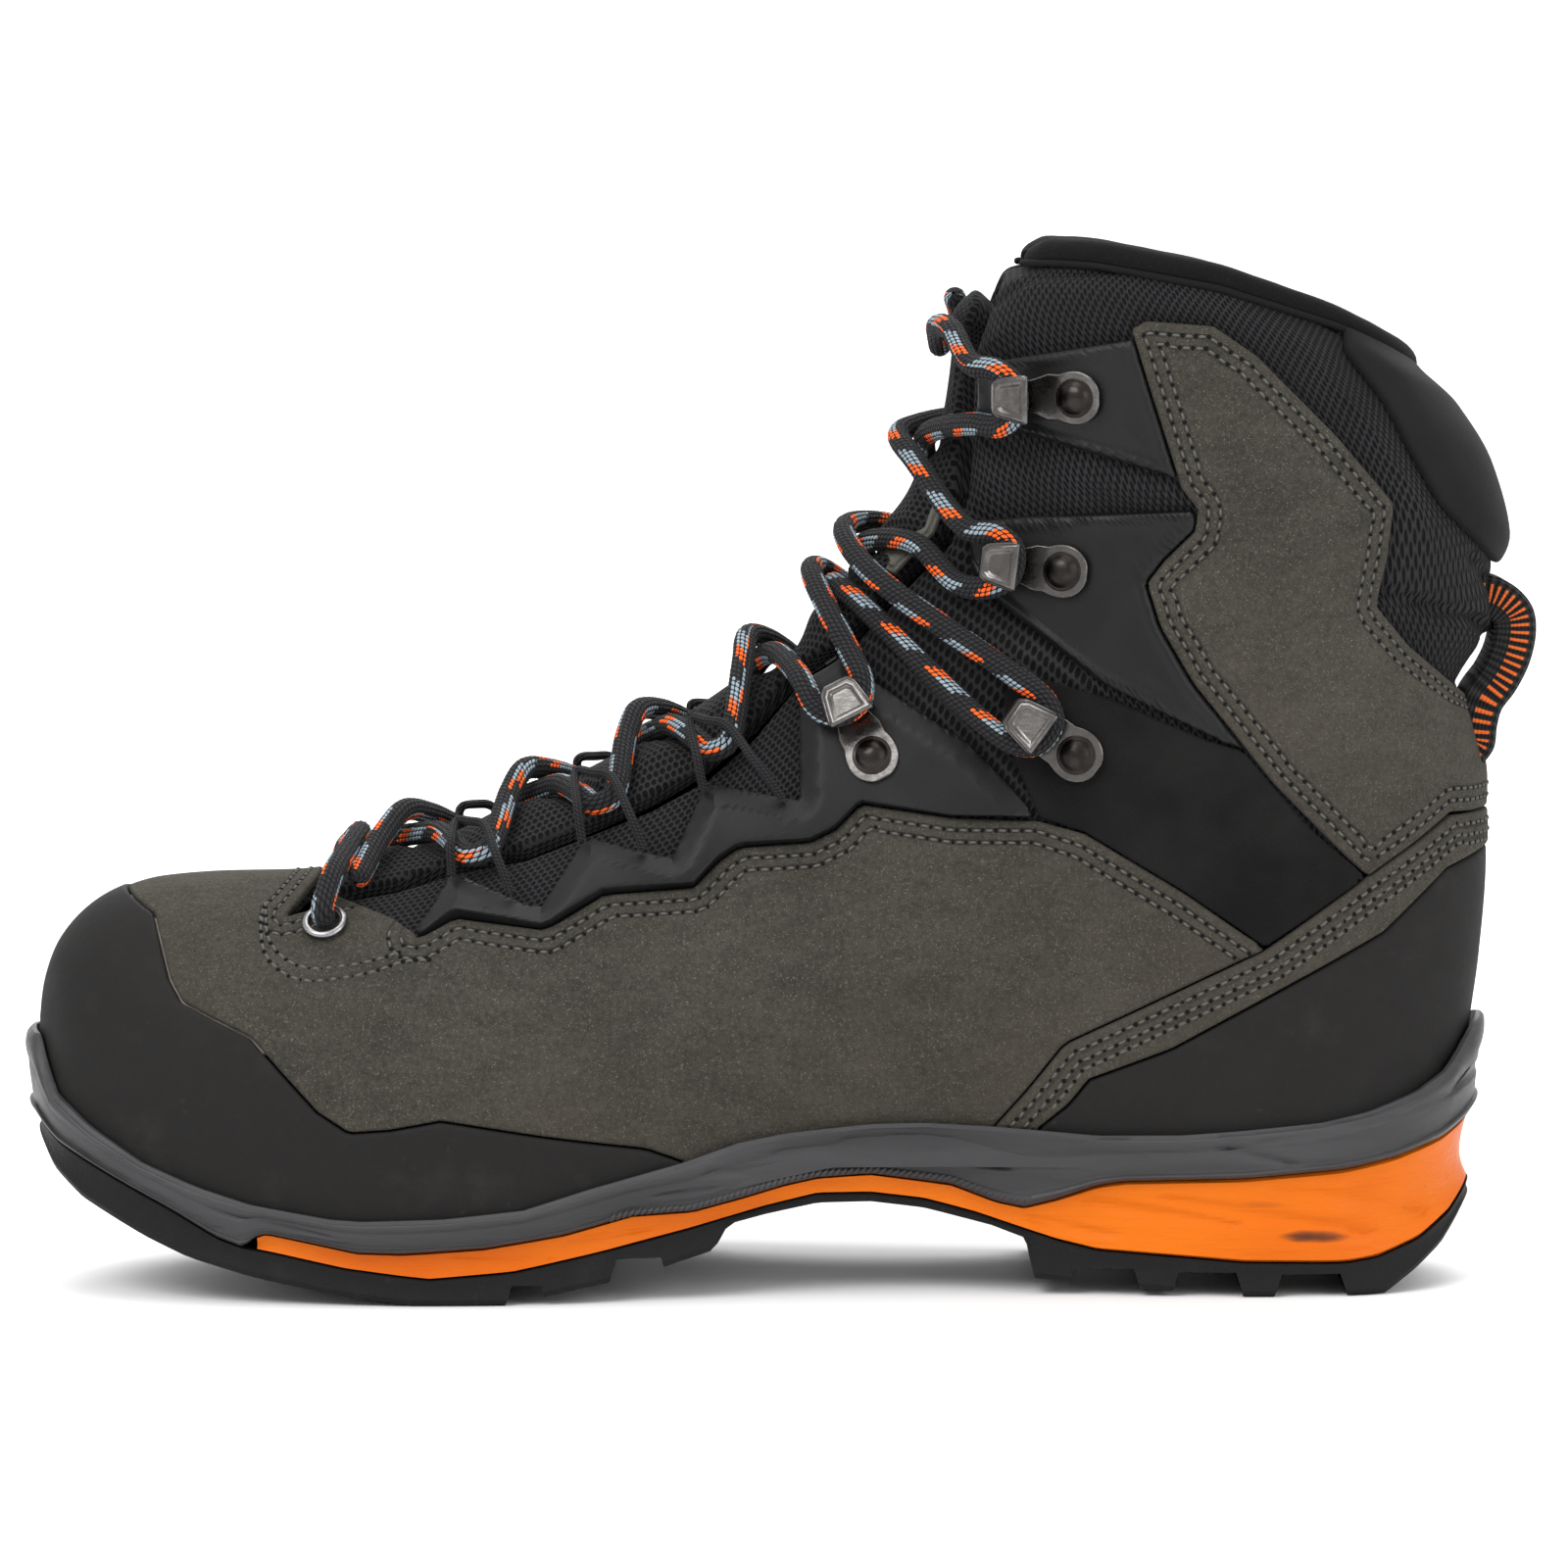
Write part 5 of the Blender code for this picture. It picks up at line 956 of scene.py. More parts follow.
def add_mesh(name, points, faces, look, body="boot", replaces=(), sharp=40.0, maps=None,
             values=None, in_metres=False):
    """A smooth-shaded piece that rides on a body and stands for CAD nodes."""
    mesh = bpy.data.meshes.new(name)
    places = points if in_metres else to_metres(points)
    mesh.from_pydata([tuple(p) for p in places], [], [tuple(map(int, f)) for f in faces])
    mesh.validate()
    mesh.polygons.foreach_set("use_smooth", np.ones(len(mesh.polygons), bool))
    mesh.set_sharp_from_angle(angle=math.radians(sharp))
    if maps is not None:
        layer = mesh.uv_layers.new(name="measure")
        maps = np.asarray(maps, np.float32)
        if len(maps) != len(mesh.loops):
            corner = np.zeros(len(mesh.loops), np.int32)
            mesh.loops.foreach_get("vertex_index", corner)
            maps = maps[corner]
        layer.data.foreach_set("uv", maps.ravel())
    for key, value in (values or {}).items():
        attribute = mesh.attributes.new(key, "FLOAT", "POINT")
        attribute.data.foreach_set("value", np.asarray(value, np.float32))
    mesh.materials.append(LOOKS[look])
    made = bpy.data.objects.new(name, mesh)
    bpy.context.scene.collection.objects.link(made)
    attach(made, body)
    if replaces:
        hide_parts(*replaces)
    return made


def rounded(distance, radius):
    """How far a rounded edge falls away at a distance in from it."""
    t = 1.0 - np.clip(distance / radius, 0.0, 1.0)
    return radius * (1.0 - np.sqrt(1.0 - t * t))


def panel(name, field, inner, outer, look, body="boot", edge_radius=0.6, relief=0.0,
          stitched=None, rows=(2.5, 5.0), inside=False, ridge_map=False, crease=None, sharp=50.0):
    """A panel of the skin, with rounded edges and rows of stitches at set distances in.

    inside turns its shown face inwards, ridge_map measures its map along the boot's ridge, and
    crease is a field whose zero line stays a sharp fold.
    """
    field = true_distance(field) - SEAM
    stitch = np.full(len(field), 99.0) if stitched is None else true_distance(stitched) - SEAM
    extra = [relief, stitch, inner, outer] + ([] if crease is None else [crease])
    data = np.column_stack([SHEET, field] + [np.broadcast_to(part, field.shape) for part in extra])
    data, triangles = split(data, TRIANGLES, data[:, INSIDE], 0.0, drop=True)
    for level in (0.3 * edge_radius, edge_radius):
        data, triangles = split(data, triangles, data[:, INSIDE], level)
    if crease is not None:
        data, triangles = split(data, triangles, data[:, CREASE], 0.0)
    used, triangles = np.unique(largest_piece(triangles), return_inverse=True)
    triangles = triangles.reshape(-1, 3)
    data = data[used]
    distance = np.maximum(data[:, INSIDE], 0.0)
    fall = rounded(distance, edge_radius)
    if inside:
        shown, hidden = data[:, BACK] + fall + data[:, RELIEF], data[:, FRONT]
        triangles = triangles[:, ::-1]
    else:
        shown, hidden = data[:, FRONT] - fall + data[:, RELIEF], data[:, BACK]
    place, normal = data[:, :3], data[:, NX:NZ + 1]
    ends = np.concatenate([triangles[:, [0, 1]], triangles[:, [1, 2]], triangles[:, [2, 0]]])
    code = ends.min(1) * len(data) + ends.max(1)
    _, index, count = np.unique(code, return_index=True, return_counts=True)
    rim = ends[index[count == 1]]
    wall = np.stack([rim[:, 1], rim[:, 0], rim[:, 0] + len(data), rim[:, 1] + len(data)], 1)
    lonely = np.unique(rim)
    number = np.arange(2 * len(data))
    number[lonely + len(data)] = len(data) + np.arange(len(lonely))
    back = place[lonely] + normal[lonely] * hidden[lonely, None]
    points = np.vstack([place + normal * shown[:, None], back])
    both = lambda column: np.concatenate([column, column[lonely]])
    if ridge_map:
        data[:, ALONG] = np.interp(data[:, LINE], RIDGE_LINES, RIDGE_LENGTH)
    deep = np.concatenate([np.zeros(len(data)), 0.8 * (data[:, FRONT] - data[:, BACK])[lonely]])
    made = add_mesh(name, points, [*triangles, *number[wall]], look, body, (name,), sharp=sharp,
                    maps=np.stack([both(data[:, AROUND]) + deep, both(data[:, ALONG]) + deep], 1),
                    values={"edge": both(distance), "stitch": both(data[:, SEAMED])})
    if stitched is not None:
        for row in rows:
            chains = contours(data, triangles, data[:, SEAMED], row)
            sew_rows(name + "_stitches_%d" % round(row * 10), chains, body)
    return made


def sew_rows(name, chains, body):
    """Short threads along chains of skin data, each sinking into the leather at its ends."""
    middle, along, out = [], [], []
    for chain in chains:
        lift = chain[:, FRONT] - rounded(np.maximum(chain[:, INSIDE], 0), 0.6) + chain[:, RELIEF]
        path = chain[:, :3] + chain[:, NX:NZ + 1] * lift[:, None]
        length = arc_length(path)
        if length[-1] < 2 * STITCH_PITCH:
            continue
        marks = np.arange(0.5 * STITCH_PITCH, length[-1] - 0.3 * STITCH_PITCH, STITCH_PITCH)
        marks = marks[np.interp(marks, length, chain[:, INSIDE]) >= STITCH_ROOM]
        if not len(marks):
            continue
        middle.append(at_marks(marks, length, path))
        along.append(at_marks(marks + 0.6, length, path) - at_marks(marks - 0.6, length, path))
        out.append(at_marks(marks, length, chain[:, NX:NZ + 1]))
    if not middle:
        return
    middle, along, out = np.vstack(middle), np.vstack(along), unit(np.vstack(out))
    along -= out * (along * out).sum(1)[:, None]
    along /= np.maximum(np.linalg.norm(along, axis=1), 1e-6)[:, None]
    bars(name, middle, along, out, STITCH_LENGTH * 0.5, STITCH_RADIUS, 0.1, "thread", body)
    ends = middle + along * (STITCH_PITCH * 0.5)
    bars(name + "_holes", ends, along, out, HOLE_RADIUS, HOLE_RADIUS, -0.02, "hole", body, 0.3)


def bars(name, middle, along, out, half, radius, lift, look, body, flat=0.8):
    """One mesh of small rounded bars, each in its own local axes."""
    sides, steps = 6, 5
    side = np.cross(out, along)
    points = []
    for t in np.linspace(-1.0, 1.0, steps):
        size = radius * math.sqrt(max(1.0 - 0.8 * t * t, 0.05))
        for angle in np.arange(sides) * 2 * math.pi / sides:
            points.append(middle + along * (t * half) + side * (math.cos(angle) * size)
                          + out * (lift - 0.42 * t * t * flat + math.sin(angle) * size * flat))
    repeated(name, points, steps, sides, look, body)


def repeated(name, points, steps, sides, look, body="boot"):
    """One mesh of many small tubes; each item of points holds one point of every tube."""
    points = np.stack(points, axis=1)
    block = np.array(tube_faces(steps, sides))
    faces = np.concatenate([block + n * sides * steps for n in range(len(points))])
    add_mesh(name, points.reshape(-1, 3), faces, look, body)


# ---------------------------------------------------------------- the upper
FACET_WIDTH, FACET_RISE, FACET_FALL = 4.6, 2.3, 0.9   # the lace frame's bevel along its zigzag
HEEL_PUFF = 4.6         # the cuff's bulge behind the pull loop


def on_side(side):
    """Distance to one side of the boot's own middle, positive on that side."""
    middle = np.interp(SHEET[:, LINE], RIDGE_LINES, [section_row(s)[4] for s in RIDGE_LINES])
    return side * (SHEET[:, Y] - middle)


def crown(distance, reach, rise):
    """A padded bulge that starts at a seam and is full at reach from it."""
    t = np.clip(distance / reach, 0.0, 1.0)
    return rise * (1.0 - (1.0 - t) ** 2)


def ridge(distance, middle, width, rise):
    """A raised or sunken line at a set distance from an edge."""
    t = np.clip(np.abs(distance - middle) / width, 0.0, 1.0)
    return rise * (1.0 - t * t * (3 - 2 * t))


def segment_distance(a, b):
    """Side-view distance of every skin point from the line between two points."""
    ex, ez = b[0] - a[0], b[1] - a[1]
    x, z = SHEET[:, X] - a[0], SHEET[:, Z] - a[1]
    t = np.clip((x * ex + z * ez) / (ex * ex + ez * ez), 0, 1)
    return np.hypot(x - t * ex, z - t * ez)


def wrinkles(scale_along, scale_round, seed):
    """Slow uneven waves over the skin, from -1 to 1."""
    rng = np.random.default_rng(seed)
    total = np.zeros(len(SHEET))
    for _ in range(7):
        a, b = rng.normal(0, scale_along), rng.normal(0, scale_round)
        total += np.sin(SHEET[:, ALONG] * a + SHEET[:, AROUND] * b + rng.uniform(0, 6.28))
    return total / 7.0


def build_upper():
    """The outer panels and the padded cuff, then the lining and the tongue."""
    medial, lateral = on_side(-1), on_side(1)
    throat, gusset = inside_outline(THROAT), inside_outline(GUSSET)
    toe_rand = inside_outline(TOE_RAND)
    band = inside_outline(BAND_TOP + BAND_BOTTOM[::-1])
    heel_rand = inside_outline(BAND_BOTTOM + [(175, -5), (55, -5)])
    tpu = inside_outline(ZIGZAG + SUEDE_EDGE[:3:-1])
    wrap = inside_outline(ANKLE_WRAP)
    shaft = inside_outline(SHAFT_PANEL)
    wing_upper = inside_outline(WING_UPPER)
    wing_middle = inside_outline(WING_MIDDLE)
    pad = inside_outline(ACHILLES_PAD)
    cuff = inside_outline(CUFF)
    suede = inside_outline(SUEDE)
    whole = np.full(len(SHEET), 60.0)
    soft = wrinkles(0.06, 0.05, 3)

    for name, field, outer in (("toe_rand", toe_rand, 0.5), ("heel_rand", heel_rand, 0.0)):
        panel(name, field, -SKIN, outer, "rand", edge_radius=0.8, relief=0.12 * soft)
    from_top = segment_chain(BAND_TOP)
    panel("heel_band", minus(band, heel_rand), -SKIN, 0.4, "suede", stitched=from_top,
          rows=(2.2, 4.4, 6.2), relief=0.1 * soft + ridge(from_top, 3.3, 1.2, 0.25))
    panel("vamp_quarter", minus(suede, toe_rand, band, heel_rand, tpu, wrap, throat), -SKIN, 0.0,
          "suede", relief=0.3 * soft + ridge(segment_distance(*TOE_CREASE), 0, 14, -0.5),
          stitched=minus(whole, tpu, throat, wrap))
    sew_line("tab_stitches", TAB_SEAM)
    sew_line("tab_stitches_inner", [(x + 0.8, z + 2.4) for x, z in TAB_SEAM[:-1]])
    shaft_field = minus(shaft, wrap, band)
    panel("shaft_panel", shaft_field, -SKIN, 0.2, "suede", stitched=shaft_field, rows=(2.4, 4.8),
          relief=0.35 * soft + crown(true_distance(shaft_field), 9.0, 0.5))

    rise = segment_chain(ZIGZAG)
    facets = (FACET_RISE * np.clip(rise / FACET_WIDTH, 0, 1)
              - FACET_FALL * np.clip((rise - FACET_WIDTH) / 12, 0, 1))
    covers = (shaft, wing_upper, wing_middle, pad, wrap, tpu, suede, throat)
    free = true_distance(minus(whole, *covers))
    puff = padding(free, soft)
    for word, side, other in (("medial", medial, lateral), ("lateral", lateral, medial)):
        panel("lace_frame_" + word, minus(tpu, throat, other), -SKIN, 0.5, "moulded",
              edge_radius=0.5, relief=facets, crease=rise - FACET_WIDTH, sharp=22.0)
        wrap_field = minus(wrap, tpu, band, other)
        panel("ankle_wrap_" + word, wrap_field, -SKIN, 0.0, "nubuck",
              relief=0.3 * soft + crown(true_distance(wrap_field), 8.0, 0.5))
        for part, shape in (("wing_upper_", minus(wing_upper, shaft, throat)),
                            ("wing_middle_", minus(wing_middle, shaft, wrap, throat))):
            inner = true_distance(shape)
            panel(part + word, minus(shape, other), -SKIN, 0.3, "moulded_satin", edge_radius=0.5,
                  relief=ridge(inner, 1.6, 1.4, 0.7) + crown(inner, 10.0, 0.4))
        cloth = panel("cuff_mesh_" + word, minus(np.minimum(cuff, side), throat, gusset), *UNDER,
                      "mesh", edge_radius=0.4, relief=puff)
        panel("gusset_" + word, minus(np.minimum(gusset, side), throat), *UNDER, "mesh_fine",
              edge_radius=0.4, relief=0.2 * soft)
    fade = 1 - smoothstep(SHEET[:, LINE], TOP - 1.0, TOP)
    heel_pad = panel("achilles_pad", pad, -SKIN, 0.0, "softshell", edge_radius=0.8,
                     relief=crown(true_distance(pad), 9.0, 1.4) * fade)

    build_lining(throat, medial, lateral, soft)
    build_tongue(throat, soft)


def build_lining(throat, medial, lateral, soft):
    """The lining's three parts, quilted at the ankle and open at the throat."""
    opening = throat + 1.0 + 5.0 * smoothstep(SHEET[:, LINE], 6.0, 14.0)
    forefoot = -(SHEET[:, X] + 30.0)
    inner = LINING[0] - COLLAR_PAD * smoothstep(SHEET[:, Z], 120.0, 165.0)
    quilt = 0.25 * soft
    for seam in QUILT:
        quilt = quilt - ridge(segment_chain(seam), 0.0, 2.2, 0.9)
    for name, field, padded in (("lining_forefoot", forefoot, False),
                                ("lining_medial", np.minimum(-forefoot, medial), True),
                                ("lining_lateral", np.minimum(-forefoot, lateral), True)):
        made = panel(name, minus(field, opening), inner, LINING[1], "lining", inside=True,
                     relief=-quilt, edge_radius=0.8)


def build_tongue(throat, soft):
    """The padded tongue, clear of the throat's edges, and the patch on it."""
    upward = smoothstep(SHEET[:, LINE], 6.0, 14.0)
    tongue = np.minimum(throat - 1.2 - 1.6 * upward, SHEET[:, X] + 90.0)
    tongue_inner = -4.6 - 1.5 * smoothstep(SHEET[:, LINE], 14.0, 20.0)
    made = panel("tongue", tongue, tongue_inner, -0.4, "mesh_fine", body="tongue", edge_radius=1.6,
                 relief=squeezed(tongue) + 0.1 * soft, ridge_map=True)
    patch = np.minimum(inside_outline(TONGUE_PATCH), throat - 2.5)
    panel("tongue_patch", patch, -0.3, 0.45, "suede_patch", body="tongue", edge_radius=0.3,
          stitched=patch, rows=(1.3,))


def padding(free, soft):
    """How far the cuff's mesh bulges out, by its distance from the panels on top of it."""
    puff = crown(np.maximum(free, 0), 12.0, 2.6) + 0.25 * soft * (free > 0)
    puff = puff * (1 - smoothstep(SHEET[:, LINE], TOP - 1.2, TOP))
    puff = puff - ridge(segment_chain(PIPING), 0.0, 1.6, 0.9) * (free > 1.2)
    for fold in CUFF_FOLDS:
        puff = puff - ridge(segment_chain(fold), 0.0, 2.6, 1.7) * (free > 0.5)
    behind = np.exp(-((SHEET[:, Z] - 138.5) / 7.0) ** 2)
    return puff + HEEL_PUFF * smoothstep(SHEET[:, X], 136.0, 149.0) * behind


def squeezed(field):
    """How far the padded tongue swells out between the laces that press on it."""
    near = np.flatnonzero(field > 0)
    routes = [resample(lace_route(-1, True), 1.0), resample(lace_route(1, False), 1.0)]
    marks = np.vstack(routes)
    tree = KDTree(len(marks))
    for index, mark in enumerate(marks):
        tree.insert(Vector(mark), index)
    tree.balance()
    swell = np.zeros(len(SHEET))
    for index in near:
        swell[index] = tree.find(Vector(SHEET[index, :3]))[2] - LACE_RADIUS - 0.3
    fade = smoothstep(field, 0.5, 4.0) * smoothstep(SHEET[:, X], -86.0, -74.0)
    return np.clip(swell, 0.0, 3.2) * fade


def segment_chain(chain):
    """Side-view distance of every skin point from a chain of points."""
    distance = np.full(len(SHEET), 1e9)
    for a, b in zip(chain[:-1], chain[1:]):
        distance = np.minimum(distance, segment_distance(a, b))
    return distance


def sew_line(name, chain):
    """A row of stitches along a side-view chain, on both sides of the boot."""
    for word, side in (("medial", -1), ("lateral", 1)):
        line = resample([(x, 0.0, z) for x, z in chain], 1.4)
        rows = np.zeros((len(line), FRONT + 1))
        for row, (px, _, pz) in zip(rows, line):
            s, v = skin_at(px, pz, side)
            place, normal = skin_frame(s, v)
            row[:3], row[NX:NZ + 1] = place, normal
        rows[:, INSIDE] = 9.0
        sew_rows(name + "_" + word, [rows], "boot")


# ---------------------------------------------------------------- sole unit
FOAM_FROM = -103.5      # the foam's front end
FOAM_LIFT = 0.3         # its height above the outsole
RAY_START = 24.0        # how far inside the outline the rays towards the skin begin
SOLE_X = np.unique(np.round(np.concatenate([
    -152.7 + 45.0 * np.linspace(0, 1, 30) ** 2,
    np.linspace(-107.7, 119.0, 140),
    152.7 - 33.7 * np.linspace(0, 1, 26) ** 2,
    [-48.0, -42.0, -8.5, -5.5, 56.5, 57.8, 98.0, 131.0]]), 3))


def outline_at(x, inset):
    """Medial and lateral outline points and plan normals at each x, moved inwards."""
    result = []
    for first, last, flip in ((0, HEEL_INDEX + 1, False), (HEEL_INDEX, len(OUTLINE) + 1, True)):
        order = [k % len(OUTLINE) for k in range(first, last)]
        if flip:
            order = order[::-1]
        loop, normal = OUTLINE[order], NORMALS[order]
        along = np.maximum.accumulate(loop[:, 0]) + np.arange(len(loop)) * 1e-9
        point = np.stack([np.interp(x, along, loop[:, k]) for k in (0, 1)], axis=1)
        turn = np.stack([np.interp(x, along, normal[:, k]) for k in (0, 1)], axis=1)
        turn /= np.linalg.norm(turn, axis=1)[:, None]
        result.append((point - turn * np.reshape(inset, (-1, 1)), turn))
    return result


def ring(inset, level, xs=SOLE_X):
    """A ring of the sole: one medial and one lateral point at each station.

    level gives a point's height from its x.
    """
    inset = np.broadcast_to(inset, xs.shape)
    sides = [np.column_stack([points, level(points[:, 0])]) for points, _ in outline_at(xs, inset)]
    return np.stack(sides, axis=1)


def sheet_tree(offset):
    """Search tree of the skin at an offset."""
    points = COARSE[:, :3] + COARSE[:, NX:NZ + 1] * np.reshape(offset, (-1, 1))
    faces = [tuple(map(int, t)) for t in COARSE_TRIANGLES]
    return BVHTree.FromPolygons([Vector(p) for p in points], faces)


def reach_ring(tree, levels, clearance):
    """A ring outside the skin at all the given heights, moved outwards by the clearance.

    Its own height is the last of the levels.
    """
    start, sides = RAY_START, []
    for point, turn in outline_at(SOLE_X, np.zeros(len(SOLE_X))):
        places = []
        for j, ((px, py), (nx, ny)) in enumerate(zip(point, turn)):
            reaches = []
            for level in levels:
                origin = Vector((px - nx * start, py - ny * start, level[j]))
                reach = tree.ray_cast(origin, Vector((nx, ny, 0.0)), start + 8.0)[3]
                if reach is not None:
                    reaches.append(reach)
            out = (max(reaches) if reaches else start - UPPER_INSET) - start + clearance
            places.append((px + nx * out, py + ny * out, levels[-1][j]))
        sides.append(places)
    made = np.stack([np.array(sides[0]), np.array(sides[1])], axis=1)
    for end in (0, -1):
        made[end, :] = made[end].mean(axis=0)
    return made


TREAD_GROOVES = [             # x from, x to, roof height, half length across
    (-50.0, -44.0, 4.2, 80.0), (-28.5, -19.4, 9.2, 80.0), (66.4, 78.6, 5.8, 80.0),
    (87.9, 99.7, 5.2, 80.0), (109.2, 121.5, 4.8, 80.0),
    (-78.0, -72.0, 3.4, 30.0), (-100.0, -94.0, 6.6, 28.0), (-121.0, -115.0, 12.4, 22.0)]


def seat_height(x):
    """Height of the frame's seat under the upper's bottom edge."""
    rows = SECTION_TABLE[:int(HEEL_TIP) + 1]
    return np.interp(x, rows[:, 2], rows[:, 3]) - SEAT_DROP


def swept(rings):
    """Points and faces of a closed solid over rings of stations."""
    count = rings[0].shape[0]
    points = np.concatenate([r.reshape(-1, 3) for r in rings])
    faces = []
    for i in range(len(rings) - 1):
        a, b = i * count * 2, (i + 1) * count * 2
        for j in range(count - 1):
            for side in (0, 1):
                p, q = 2 * j + side, 2 * j + 2 + side
                faces.append((a + p, a + q, b + q, b + p))
        for p, q in ((0, 1), (2 * count - 2, 2 * count - 1)):
            faces.append((a + p, a + q, b + q, b + p))
    for start in (0, (len(rings) - 1) * count * 2):
        for j in range(count - 1):
            p = start + 2 * j
            faces.append((p, p + 1, p + 3, p + 2))
    return points, faces


def ring_solid(name, rings, look, body="boot", sharp=35.0):
    points, faces = swept(rings)
    made = add_mesh(name, points, faces, look, body, (name,), sharp=sharp)
    close_up(made.data)
    return made


def close_up(mesh):
    """Welds doubled points and turns all faces outwards."""
    shape = bmesh.new()
    shape.from_mesh(mesh)
    bmesh.ops.remove_doubles(shape, verts=shape.verts, dist=1e-6)
    bmesh.ops.recalc_face_normals(shape, faces=shape.faces)
    shape.to_mesh(mesh)
    shape.free()


FRAME_PROFILE = [             # share of the frame's height, how far in from the sole's outline
    (0.0, 2.4), (0.02, 1.3), (0.05, 0.9), (0.07, 0.25), (0.1, 0.02), (0.13, 0.2), (0.155, 0.8),
    (0.2, 0.85), (0.35, 0.5), (0.5, 0.15), (0.62, 0.0)]
FRAME_GROOVES = [             # side-view ends, width and depth of the frame's sunk lines
    ((28.0, 33.6), (52.0, 27.2), 2.8, 1.0), ((18.0, 33.2), (38.0, 27.9), 2.2, 0.8),
    ((4.0, 30.6), (26.0, 29.2), 1.8, 0.6), ((-10.0, 26.4), (8.2, 27.6), 1.5, 0.5),
    ((104.0, 32.6), (134.0, 37.6), 1.7, 0.8), ((134.0, 37.6), (158.0, 48.0), 1.9, 1.0),
    ((-20.0, 22.2), (-7.4, 23.4), 1.1, 0.45), ((96.0, 31.5), (112.0, 27.8), 1.4, 0.7),
    ((-112.0, 19.6), (-88.0, 14.8), 1.2, 0.4)]
FOOTBED_RINGS = [             # clearance to the lining and height above the seat
    (-2.6, 4.8), (-1.9, 5.2), (-1.5, 9.2), (-1.8, 9.9), (-2.6, 10.1), (-5.0, 9.2), (-9.0, 8.8)]
FOAM_GROOVES = [
    ((68.0, 19.5), (100.0, 15.0), 2.2, 0.8), ((84.0, 20.5), (130.0, 13.0), 2.4, 0.9),
    ((108.0, 22.5), (142.0, 18.0), 2.2, 0.8), ((56.0, 16.2), (74.0, 12.5), 1.8, 0.6),
    ((-62.0, 10.5), (-40.0, 9.6), 0.9, 0.35), ((-38.0, 13.4), (-20.0, 15.4), 0.9, 0.35)]


def sunk(x, z, grooves):
    """How deep sunk lines lie at side-view points."""
    depth = np.zeros(np.shape(x))
    for (ax, az), (bx, bz), width, deep in grooves:
        ex, ez = bx - ax, bz - az
        t = np.clip(((x - ax) * ex + (z - az) * ez) / (ex * ex + ez * ez), 0, 1)
        taper = 0.35 + 0.65 * np.sin(np.pi * (0.1 + 0.85 * t))
        away = np.hypot(x - ax - t * ex, z - az - t * ez) / (width * taper)
        depth = np.maximum(depth, deep * (1 - np.clip(away, 0, 1) ** 2) ** 2)
    return depth


def tread(x):
    return height(TREAD, x)


def sole_top(x):
    return height(OUTSOLE_TOP, x)


def foam_top(x):
    return height(MIDSOLE_TOP, x)


def mix(low, high, t):
    """The height a share t of the way from one height along the sole to another."""
    return lambda x: low(x) + (high(x) - low(x)) * t


def build_outsole():
    """The tread rubber, rounded at its lower edge."""
    def edge(x):
        return tread(x) + np.minimum(1.4, 0.5 * (sole_top(x) - tread(x)))

    rings = [ring(4.2, tread), ring(3.0, mix(tread, edge, 0.25)), ring(2.2, edge)]
    rings += [ring(2.2 + 0.35 * math.sin(math.pi * t), mix(edge, sole_top, t))
              for t in (0.25, 0.5, 0.75)]
    rings += [ring(2.2, mix(edge, sole_top, 0.96)), ring(2.6, sole_top)]
    outsole = ring_solid("outsole", rings, "tread", sharp=28.0)
    cut_tread(outsole)


def build_foam():
    """The wedge of foam on the outsole, from behind the toe to the heel."""
    xs = SOLE_X[SOLE_X > FOAM_FROM]
    base = lambda x: sole_top(x) + FOAM_LIFT
    waist = 1.3 * smoothstep(xs, 120.0, 150.0)
    slump = 0.25 * np.sin(xs * 0.35 + 1.0) * np.sin(xs * 0.11)
    foam = [ring(3.4, base, xs)]
    for t in np.linspace(0.0, 1.0, 25):
        level = mix(base, foam_top, 0.03 + 0.94 * t)
        inset = 2.45 + 0.12 * (1 - t) + (0.5 + waist) * math.sin(math.pi * t) * 0.75
        inset = inset + sunk(xs, level(xs), FOAM_GROOVES) + slump * math.sin(math.pi * t) * 0.5
        foam.append(ring(inset, level, xs))
    foam.append(ring(3.4, foam_top, xs))
    ring_solid("midsole", foam, "foam", sharp=35.0)


